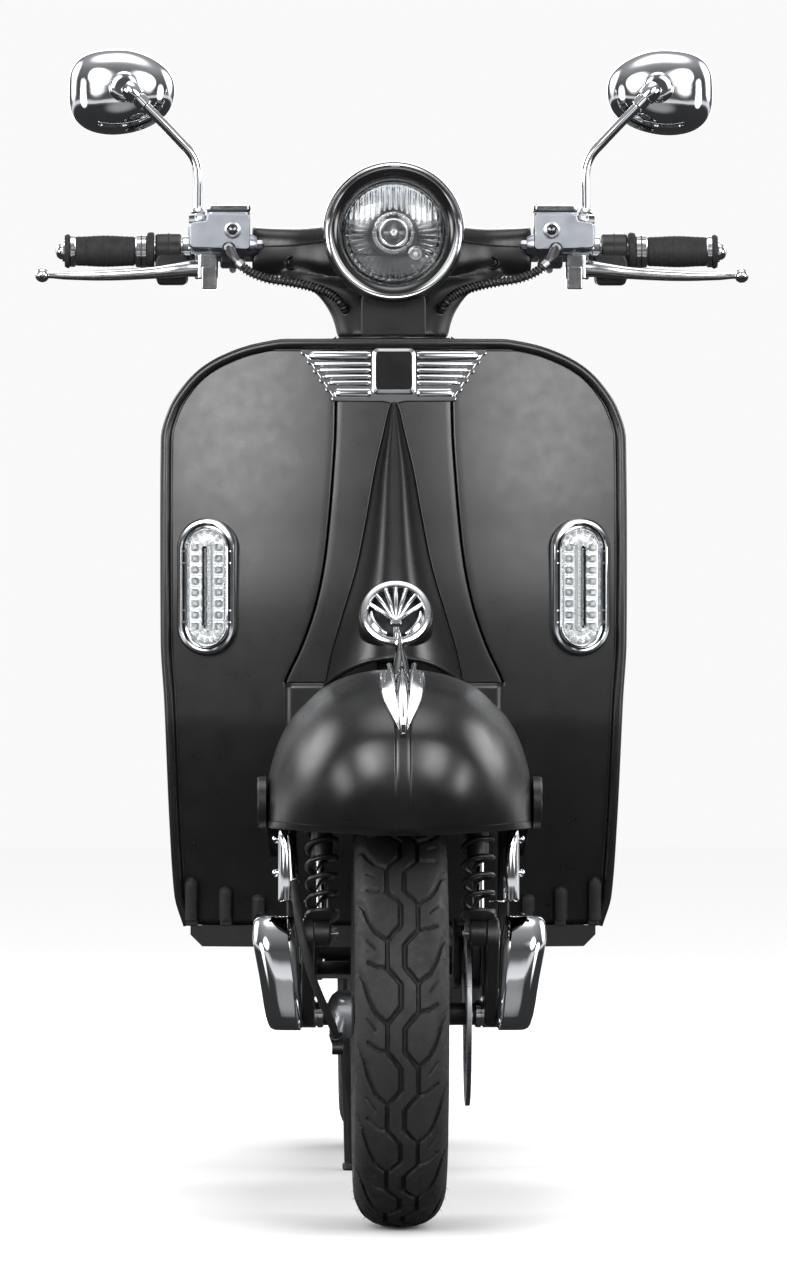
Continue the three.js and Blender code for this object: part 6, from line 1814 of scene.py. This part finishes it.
COWL = [
    # y, top edge x, top z, half width, z of the widest point, foot x, foot z
    (62, 108, 660, 120, 480, 116, 300), (110, 106, 684, 150, 495, 144, 306),
    (200, 106, 686, 172, 508, 158, 320), (350, 106, 686, 180, 512, 160, 335),
    (500, 104, 684, 178, 515, 155, 348), (620, 62, 672, 168, 535, 148, 372),
    (740, 22, 648, 138, 555, 126, 410), (820, 8, 615, 96, 562, 84, 460), (850, 6, 588, 62, 558, 56, 500),
]
cowl_at = [by_first(COWL, k) for k in range(1, 7)]


def on_cowl(y, t, out=0.0):
    """t from 0 at the top edge through 1 at the widest line to 2 at the foot."""
    top_x, top_z, half, wide_z, foot_x, foot_z = (curve(y) for curve in cowl_at)
    if t <= 1:
        a = t * math.pi / 2
        return (top_x + (half - top_x) * math.sin(a) + out * math.sin(a), y,
                wide_z + (top_z - wide_z) * math.cos(a) + out * math.cos(a))
    t -= 1
    return (half + (foot_x - half) * t * t + out, y, wide_z + (foot_z - wide_z) * t)


def make_cowl(side, sign):
    how = {"flip": sign, "nodes": [f"body_cowl_{side}"]}
    ys, ts = spread(62, 850, 120), spread(0, 2, 64)
    verts = [on_cowl(y, t) for y in ys for t in ts]
    make(f"cowl_skin_{side}", verts, grid_faces(len(ys), len(ts)), "satin paint", "chassis", thick=4, **how)
    for end, y in (("nose", 62), ("tail", 846)):
        ring = [(x, z) for x, _, z in (on_cowl(y, t, -1) for t in spread(0, 2, 40))]
        ring += [(0.4, ring[-1][1]), (0.4, ring[0][1])]
        slab(f"cowl_{end}_{side}", ring, "y", y, y + 4, "satin paint", "chassis", bevel=0.8, **how)
    for label, t, radius in (("foot", 2, 3.4), ("rim", 0, 2.6)):
        tube(f"cowl_{label}_{side}", [on_cowl(y, t, -1.6) for y in ys[1:-1]], radius, "satin paint",
             "chassis", **how)
    strip = [on_cowl(y, 1.0, 0.4) for y in spread(120, 800, 90)]
    tube(f"cowl_strip_{side}", strip, lambda t: 3.2 * min(1, 6 * t + 0.25, 6 * (1 - t) + 0.25), "chrome",
         "chassis", **how)
    for k in range(6):
        y = 430 + 22 * k
        rings = []
        for t in spread(1.34, 1.62, 14):
            x, _, z = on_cowl(y, t)
            swell = math.sin(math.pi * min(max((t - 1.34) / 0.28, 0.02), 0.98)) ** 0.4
            rings.append([(x - 2.4, y - 5 * swell, z), (x + 1.6, y - 5.6 * swell, z),
                          (x + 2.4, y - 3 * swell, z), (x + 0.2, y + 4 * swell, z),
                          (x - 2.4, y + 4 * swell, z)])
        loft(f"cowl_louvre_{side}_{k}", rings, "gloss paint", "chassis", angle=25, **how)
    seam = [on_cowl(y, 0.62, 0.2) for y in spread(66, 846, 80)]
    tube(f"cowl_seam_{side}", seam, 0.8, "rubber", "chassis", sides=8, slot="matte_black", **how)


def make_tail_bridge():
    rings = []
    for y in spread(640, 848, 40):
        reach, z = cowl_at[0](y) + 1, cowl_at[1](y) - 4
        rings.append([(reach * u, y, z + 5 * (1 - u * u)) for u in spread(-1, 1, 20)])
    make("cowl_bridge", [p for ring in rings for p in ring], grid_faces(len(rings), 21), "satin paint",
         "chassis", thick=3)


def make_tail():
    how = {"nodes": ["tail_lamp"]}
    rings = []
    for y, i in ((850.4, 0), (862.4, 0), (865.8, 1.2)):
        outline = rounded_box(-46 + i, 515 + i, 46 - i, 572 - i, 10)
        rings.append([(x, y, z) for x, z in outline])
    loft("lamp_case_tail", rings, "chrome", "chassis", nodes=["tail_lamp"], bevel=0.6)
    rings = []
    for y, i in ((864, 3), (868, 4), (873, 7), (877, 12), (879.6, 18)):
        outline = rounded_box(-46 + i, 515 + i * 0.6, 46 - i, 572 - i * 0.6, 8)
        rings.append([(x, y, z) for x, z in outline])
    loft("tail_lens", rings, "red lens", "chassis", bevel=0.6, **how)
    for k in range(5):
        z = 528 + 8 * k
        tube(f"tail_lens_rib_{k}", [(-30, 876.5, z), (-26, 879.2, z), (26, 879.2, z), (30, 876.5, z)], 1.1,
             "red lens", "chassis", sides=10, **how)


REAR_ARCH = {"y": 603, "z": 251, "radius": 234.6}


def make_rear_fender():
    how = {"slot": "satin_black", "nodes": ["rear_fender"]}
    rings = []
    for a in spread(RAD(19), RAD(91), 44):
        ring = []
        for x, out in ((-58, -10), (-58.6, -2), (-55, 1.6), (-46, 3.2), (0, 4), (46, 3.2), (55, 1.6),
                       (58.6, -2), (58, -10), (55.4, -10), (55.6, -2), (46, -0.4), (0, 0.4), (-46, -0.4),
                       (-55.6, -2), (-55.4, -10)):
            r = REAR_ARCH["radius"] + out * 0.95
            ring.append((x, REAR_ARCH["y"] + r * math.cos(a), REAR_ARCH["z"] + r * math.sin(a)))
        rings.append(ring)
    loft("fender_rear_skin", rings, "satin paint", "chassis", bevel=0.6, angle=40, **how)
    block("fender_rear_hanger", (-30, 700, 464), (30, 724, 572), "frame paint", "chassis", **how)
    slab("fender_rear_arm", rounded([(808, 326), (824, 320), (890, 398), (884, 408)], 4), "x", -20, 20,
         "moulded plastic", "chassis", bevel=2, **how)
    plate_edge = rounded_box(-85, 385, 85, 500, 9)
    slab("plate_back", plate_edge, "y", 884, 889.6, "moulded plastic", "chassis", bevel=1.4, **how)
    slab("plate_face", rounded_box(-80, 391, 80, 496, 5), "y", 889, 891.4, "white enamel",
         "chassis", bevel=0.6, **how)
    rim = [(x, 891, z) for x, z in rounded_box(-81, 389.6, 81, 497, 6)]
    tube("plate_rim", rim + rim[:1], 1.9, "smooth plastic", "chassis", sides=12, **how)
    for k, x in enumerate((-62, 62)):
        bolt(f"plate_bolt_{k}", (x, 891, 443), (0, 1, 0), 4.6, "steel", "chassis", height=2.6, **how)
    lens = [(0.01, 896), (14, 895.6), (17, 894), (17, 889), (0.01, 889)]
    lathe("plate_reflector", lens, (0, 1, 0), (0, 0, 402), "red lens", "chassis", nodes=["rear_fender"])


for side, sign in SIDES:
    make_cowl(side, sign)
make_inner_shield()
make_floor()
make_frame()
make_tail_bridge()
make_tail()
make_rear_fender()
dress("seat_bucket", "moulded plastic", 1.2)


# ---------------------------------------------------------------- engine, exhaust, kick lever and stand

CRANK, UNIT_PIVOT, KICK_PIVOT, STAND_PIVOT = (325, 305), (262, 300), (400, 282), (150, 222)


def make_engine():
    how = {"slot": "alloy", "nodes": ["engine_unit"]}
    case = [(0.01, -60), (52, -60), (62, -56), (66, -48), (68, -40), (68, 40), (66, 50), (62, 60), (0.01, 60)]
    lathe("crankcase", case, (1, 0, 0), (0, *CRANK), "engine alloy", "power_unit", segments=72, bevel=1,
          **how)
    fan = [(0.01, -64), (30, -64), (34, -61), (44, -61), (50, -58), (0.01, -58)]
    lathe("fan_cover", fan, (1, 0, 0), (0, *CRANK), "moulded plastic", "power_unit", segments=60,
          nodes=["engine_unit"])
    for k in range(18):
        a = 2 * math.pi * k / 18
        rod(f"fan_vane_{k}", (-64.4, CRANK[0] + 13 * math.cos(a), CRANK[1] + 13 * math.sin(a)),
            (-62.4, CRANK[0] + 31 * math.cos(a + 0.3), CRANK[1] + 31 * math.sin(a + 0.3)), 1.5, "dark steel",
            "power_unit", sides=10, **how)
    lathe("cylinder", [(0.01, 60), (34, 60), (34, 146), (0.01, 147)], (0, 0, 1), (0, *CRANK), "engine alloy",
          "power_unit", **how)
    for k in range(9):
        z = CRANK[1] + 66 + 8.4 * k
        fin = [(x, CRANK[0] + y) for x, y in rounded_box(-42, -42, 42, 42, 14)]
        slab(f"cylinder_fin_{k}", fin, "z", z, z + 2.6, "engine alloy", "power_unit", bevel=0.8, **how)
    lathe("unit_boss", [(6.4, -82), (15, -82), (17, -80), (17, 80), (15, 82), (6.4, 82), (6.4, -82)],
          (1, 0, 0), (0, *UNIT_PIVOT), "engine alloy", "power_unit", segments=40, **how)

    def belt_outline(radius):
        turns = ((347, 305, 74, 254), (*REAR_AXLE, 254, 434))
        return [(y + radius * math.cos(RAD(a)), z + radius * math.sin(RAD(a)))
                for y, z, start, end in turns for a in spread(start, end, 24)]
    rings = [[(x, y, z) for y, z in belt_outline(r)] for x, r in ((58, 58), (60, 60), (101, 60), (104, 58.6))]
    loft("belt_case", rings, "engine alloy", "power_unit", bevel=0.8, **how)
    rings = [[(x, y, z) for y, z in belt_outline(r)]
             for x, r in ((104.2, 58), (110, 57.6), (115, 54), (117.4, 47), (118, 38))]
    loft("belt_cover", rings, "rim alloy", "power_unit", angle=40, **how)
    for k, (y, z, r) in enumerate(((347, 305, 33), (603, 217, 29))):
        ring = [(r - 7, 117), (r - 6, 118.4), (r - 2, 118.8), (r, 117.6), (r, 115), (r - 7, 115),
                (r - 7, 117)]
        lathe(f"belt_cover_ring_{k}", ring, (1, 0, 0), (0, y, z), "rim alloy", "power_unit", **how)
    for k in range(5):
        y = 420 + 26 * k
        z = 305 - 0.34 * (y - 347)
        rod(f"belt_cover_rib_{k}", (117.6, y - 4, z + 30), (117.6, y + 4, z - 30), 2, "rim alloy",
            "power_unit", sides=14, **how)
    edge = belt_outline(53)
    for k in range(10):
        y, z = edge[int(k * len(edge) / 10)]
        bolt(f"belt_bolt_{k}", (114.4, y, z), (1, 0, 0), 4, "steel", "power_unit", height=3,
             nodes=["engine_unit"])
    gear = [(8.8, 12), (12, 12), (12, 44), (32, 46), (34, 48), (34, 60), (8.8, 60), (8.8, 12)]
    lathe("gearbox", gear, (1, 0, 0), (0, *REAR_AXLE), "engine alloy", "power_unit", segments=60, **how)
    lug = rounded([(598, 262), (654, 250), (644, 302), (634, 310), (614, 310), (606, 300)], 8)
    slab("shock_lug", lug, "x", 66, 84, "engine alloy", "power_unit", bevel=2, **how)
    rod("shock_lug_pin", (82, 625, 296), (108, 625, 296), 6, "steel", "power_unit", sides=24, **how)
    intake = path_through([(0, 366, 418), (-8, 396, 430), (-14, 416, 438)], 12)
    tube("intake", intake, 15, "rubber", "power_unit", nodes=["engine_unit"])


def make_exhaust():
    how = {"slot": "chrome", "nodes": ["exhaust"]}
    start, end = Vector((-108, 428, 262)), Vector((-108, 762, 282.4))
    ahead = (end - start).normalized()
    length = (end - start).length
    can = [(0.01, 0), (24, 0), (33, 4), (37, 12), (38, 22), (38, length - 30), (39, length - 27),
           (39, length - 23), (37.4, length - 20), (34, length - 6), (26, length), (0.01, length)]
    lathe("exhaust_can", can, ahead, start, "frame paint", "power_unit", nodes=["exhaust"])
    side, up = Vector((-1, 0, 0)), Vector((-1, 0, 0)).cross(ahead)
    rings = []
    for t in spread(0, 1, 40):
        at = start + ahead * (40 + (length - 92) * t)
        reach = 1.15 - 0.35 * max(0, (t - 0.85) / 0.15) ** 2 - 0.35 * max(0, (0.15 - t) / 0.15) ** 2
        arc = spread(-reach, reach, 18)
        outer = [at + (side * math.cos(a) + up * math.sin(a)) * 41.6 for a in arc]
        inner = [at + (side * math.cos(a) + up * math.sin(a)) * 40 for a in reversed(arc)]
        rings.append([tuple(p) for p in outer + inner])
    loft("exhaust_shield", rings, "chrome", "power_unit", bevel=0.4, angle=50, **how)
    for k in range(7):
        at = start + ahead * (96 + 26 * k) + side * 41.6
        rod(f"exhaust_slot_{k}", tuple(at - up * 15 - ahead * 5), tuple(at + up * 15 + ahead * 5), 2.6,
            "gloss paint", "power_unit", sides=12, **how)
    pipe = path_through([(-27, 394, 400), (-40, 410, 370), (-70, 420, 320), (-104, 424, 282),
                         (-108, 438, 264)], 40)
    tube("exhaust_pipe", pipe, 13, "steel", "power_unit", sides=28, **how)
    lathe("exhaust_tail", [(6.4, 0), (10.4, 0), (10.4, 24), (9.4, 26), (6.4, 26)], ahead, end - ahead * 3,
          "chrome", "power_unit", segments=40, **how)
    lathe("exhaust_band", ringed(36, 39.4, 60, 72, 1), ahead, start, "steel", "power_unit", **how)


def make_kick():
    how = {"nodes": ["kick_lever"]}
    y, z = KICK_PIVOT
    lathe("kick_hub", [(0.01, 112), (7.6, 112), (7.6, 118.6), (13, 119.4), (14, 121), (14, 131), (12.6, 133),
                       (0.01, 133)], (1, 0, 0), (0, y, z), "rim alloy", "kick", segments=44, **how)
    line = path_through([(126.5, y, z), (127, 440, 281), (127, 480, 274), (127, 520, 261), (128, 552, 248)],
                        30)
    rings = []
    for k, p in enumerate(line):
        t = k / 30
        high, wide = 9 - 3 * t, 4.4
        rings.append([(p.x + wide * soft(math.cos(a), 0.6), p.y, p.z + high * soft(math.sin(a), 0.6))
                      for a in whole_turn(24)])
    loft("kick_arm", rings, "rim alloy", "kick", angle=50, **how)
    pedal = [(0.01, 122), (6, 122), (7, 123.4), (7, 131), (8, 131.6)]
    for k in range(4):
        pedal += [(8, 133 + 4 * k), (6.8, 134 + 4 * k), (6.8, 135.4 + 4 * k), (8, 136.4 + 4 * k)]
    lathe("kick_pedal", [*pedal, (7.4, 150), (0.01, 150)], (1, 0, 0), (0, 556, 246), "rubber", "kick",
          segments=32, nodes=["kick_lever"])


def make_stand():
    how = {"nodes": ["centre_stand"]}
    y, z = STAND_PIVOT
    lathe("stand_barrel", ringed(5.6, 10, -66, 66, 1), (1, 0, 0), (0, y, z), "frame paint", "stand",
          segments=40, **how)
    for side, sign in SIDES:
        leg = path_through([(44, y, z - 4), (42, 158, 150), (38, 176, 70), (36, 188, 9)], 24)
        tube(f"stand_leg_{side}", leg, 8, "frame paint", "stand", flip=sign, **how)
        foot = rounded_box(26, 178, 46, 198, 5)
        slab(f"stand_foot_{side}", foot, "z", 0.2, 8.6, "frame paint", "stand", bevel=2, flip=sign, **how)
    rod("stand_brace", (-41, 163.5, 140), (41, 163.5, 140), 5, "frame paint", "stand", sides=24, **how)
    tang = path_through([(38, 176, 72), (58, 186, 66), (66, 190, 62)], 12)
    tube("stand_tang", tang, 4.4, "frame paint", "stand", **how)


make_engine()
make_exhaust()
make_kick()
make_stand()


# ---------------------------------------------------------------- seat and speedometer

def evaluated(obj):
    return bpy.data.meshes.new_from_object(obj.evaluated_get(bpy.context.evaluated_depsgraph_get()))


def make_seat():
    """The seat as stuffed vinyl: remeshed, swollen by pressure over a fixed base, then piped."""
    pad = bpy.data.objects.new("seat_pad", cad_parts["seat"].data.copy())
    bpy.context.collection.objects.link(pad)
    centre = Vector((0, 0.4, 0.72))
    for v in pad.data.vertices:
        v.co = centre + Vector(((v.co.x - centre.x) * 0.965, (v.co.y - centre.y) * 0.985, v.co.z - centre.z))
    for kind, values in (("REMESH", {"mode": "VOXEL", "voxel_size": 0.006}), ("SMOOTH", {"iterations": 14})):
        modifier = pad.modifiers.new(kind.lower(), kind)
        for key, value in values.items():
            setattr(modifier, key, value)
    mesh = evaluated(pad)
    pad.modifiers.clear()
    pad.data = mesh
    rest = [v.co.copy() for v in mesh.vertices]
    held = pad.vertex_groups.new(name="base")
    held.add([i for i, p in enumerate(rest) if p.z < 0.704], 1.0, "REPLACE")
    cloth = pad.modifiers.new("stuffing", "CLOTH")
    cloth.settings.quality = 5
    cloth.settings.use_pressure = True
    cloth.settings.uniform_pressure_force = 4
    cloth.settings.effector_weights.gravity = 0
    cloth.settings.vertex_group_mass = "base"
    cloth.point_cache.frame_start, cloth.point_cache.frame_end = 1, 20
    for step in range(1, 21):
        bpy.context.scene.frame_set(step)
    swollen = evaluated(pad)
    for v, p, q in zip(mesh.vertices, rest, swollen.vertices):
        move = q.co - p
        v.co = p + move * min(1, 0.009 / max(move.length, 1e-9))
    bpy.context.scene.frame_set(1)
    pad.modifiers.clear()
    pad.vertex_groups.clear()
    for v in pad.data.vertices:
        y = v.co.y - 0.352
        v.co.z -= 0.006 * math.exp(-(y / 0.012) ** 2) * max(0, (v.co.z - 0.72) / 0.05)
    pad.data.materials.clear()
    pad.data.materials.append(MATERIALS["seat vinyl"])
    pad.data.polygons.foreach_set("use_smooth", [True] * len(pad.data.polygons))
    fine = pad.modifiers.new("fine", "SUBSURF")
    fine.levels = fine.render_levels = 1
    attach(pad, "seat")
    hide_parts("seat")

    def settled(points, name, radius, material, lift=0.6):
        line = []
        for p in points:
            found, place, normal, _ = pad.closest_point_on_mesh(Vector(p) * MM)
            line.append(place / MM + normal * lift)
        tube(name, line, radius, material, "seat", sides=10, slot="seat_cover", nodes=["seat"])

    half = by_first([(45, 84), (80, 104), (200, 128), (330, 135), (430, 133), (560, 126), (690, 108),
                     (745, 76)])
    top = by_first([(45, 728), (80, 752), (200, 760), (330, 762), (430, 776), (560, 785), (690, 778),
                    (745, 744)])
    for side, sign in SIDES:
        welt = [(sign * half(y) * 0.93, y, top(y) - 12) for y in spread(56, 738, 80)]
        settled(welt, f"seat_welt_{side}", 2.0, "seat vinyl")
        band = [(sign * (half(y) + 3), y, 706) for y in spread(60, 735, 70)]
        settled(band, f"seat_band_{side}", 2.2, "chrome", 1.2)
    settled([(x, 352, top(352)) for x in spread(-118, 118, 40)], "seat_seam", 1.5, "seat vinyl", 0.2)
    base = [(half(y) * 0.86, y) for y in spread(60, 735, 24)]
    base += [(-x, y) for x, y in reversed(base)]
    slab("seat_base", base, "z", 690, 697, "moulded plastic", "seat", bevel=1.6, nodes=["seat"])


def make_speedometer():
    how = {"slot": "gloss_black", "nodes": ["headset_shell"]}
    centre, axis = (0, -226, 1002), (0, 0.86, 0.5)
    cup = [(0.01, -18), (36, -16), (41, -4), (43, 4), (43, 8), (0.01, 8)]
    lathe("speedo_cup", cup, axis, centre, "gloss paint", "steering", segments=96, **how)
    ring = [(38.6, 7), (43, 7), (44, 9), (43.4, 12), (41, 13.6), (39, 12.6), (38.6, 7)]
    lathe("speedo_ring", ring, axis, centre, "chrome", "steering", segments=96, nodes=["headset_shell"])
    lathe("speedo_face", [(0.01, 9.4), (38.8, 9.4), (38.8, 7), (0.01, 7)], axis, centre, "dark glass",
          "steering", segments=96, **how)
    normal = Vector(axis).normalized()
    up = Vector((0, -normal.z, normal.y))
    right = Vector((-1, 0, 0))

    def dial(r, a, lift=9.8):
        return tuple(Vector(centre) + normal * lift + (right * math.sin(a) + up * math.cos(a)) * r)
    for k, a in enumerate(spread(-2.2, 2.2, 24)):
        long = k % 4 == 0
        tube(f"speedo_mark_{k}", [dial(35, a), dial(28 if long else 31.5, a)], 0.8 if long else 0.5,
             "white enamel", "steering", sides=6, **how)
    tube("speedo_needle", [dial(-6, -2.1, 11), dial(27, -2.1, 11)], lambda t: 1.4 - 0.9 * t, "amber lens",
         "steering", sides=10, **how)
    lathe("speedo_hub", [(0.01, 12.4), (3.4, 12), (3.8, 9.4), (0.01, 9.4)], axis, centre, "gloss paint",
          "steering", segments=30, **how)


make_seat()
make_speedometer()
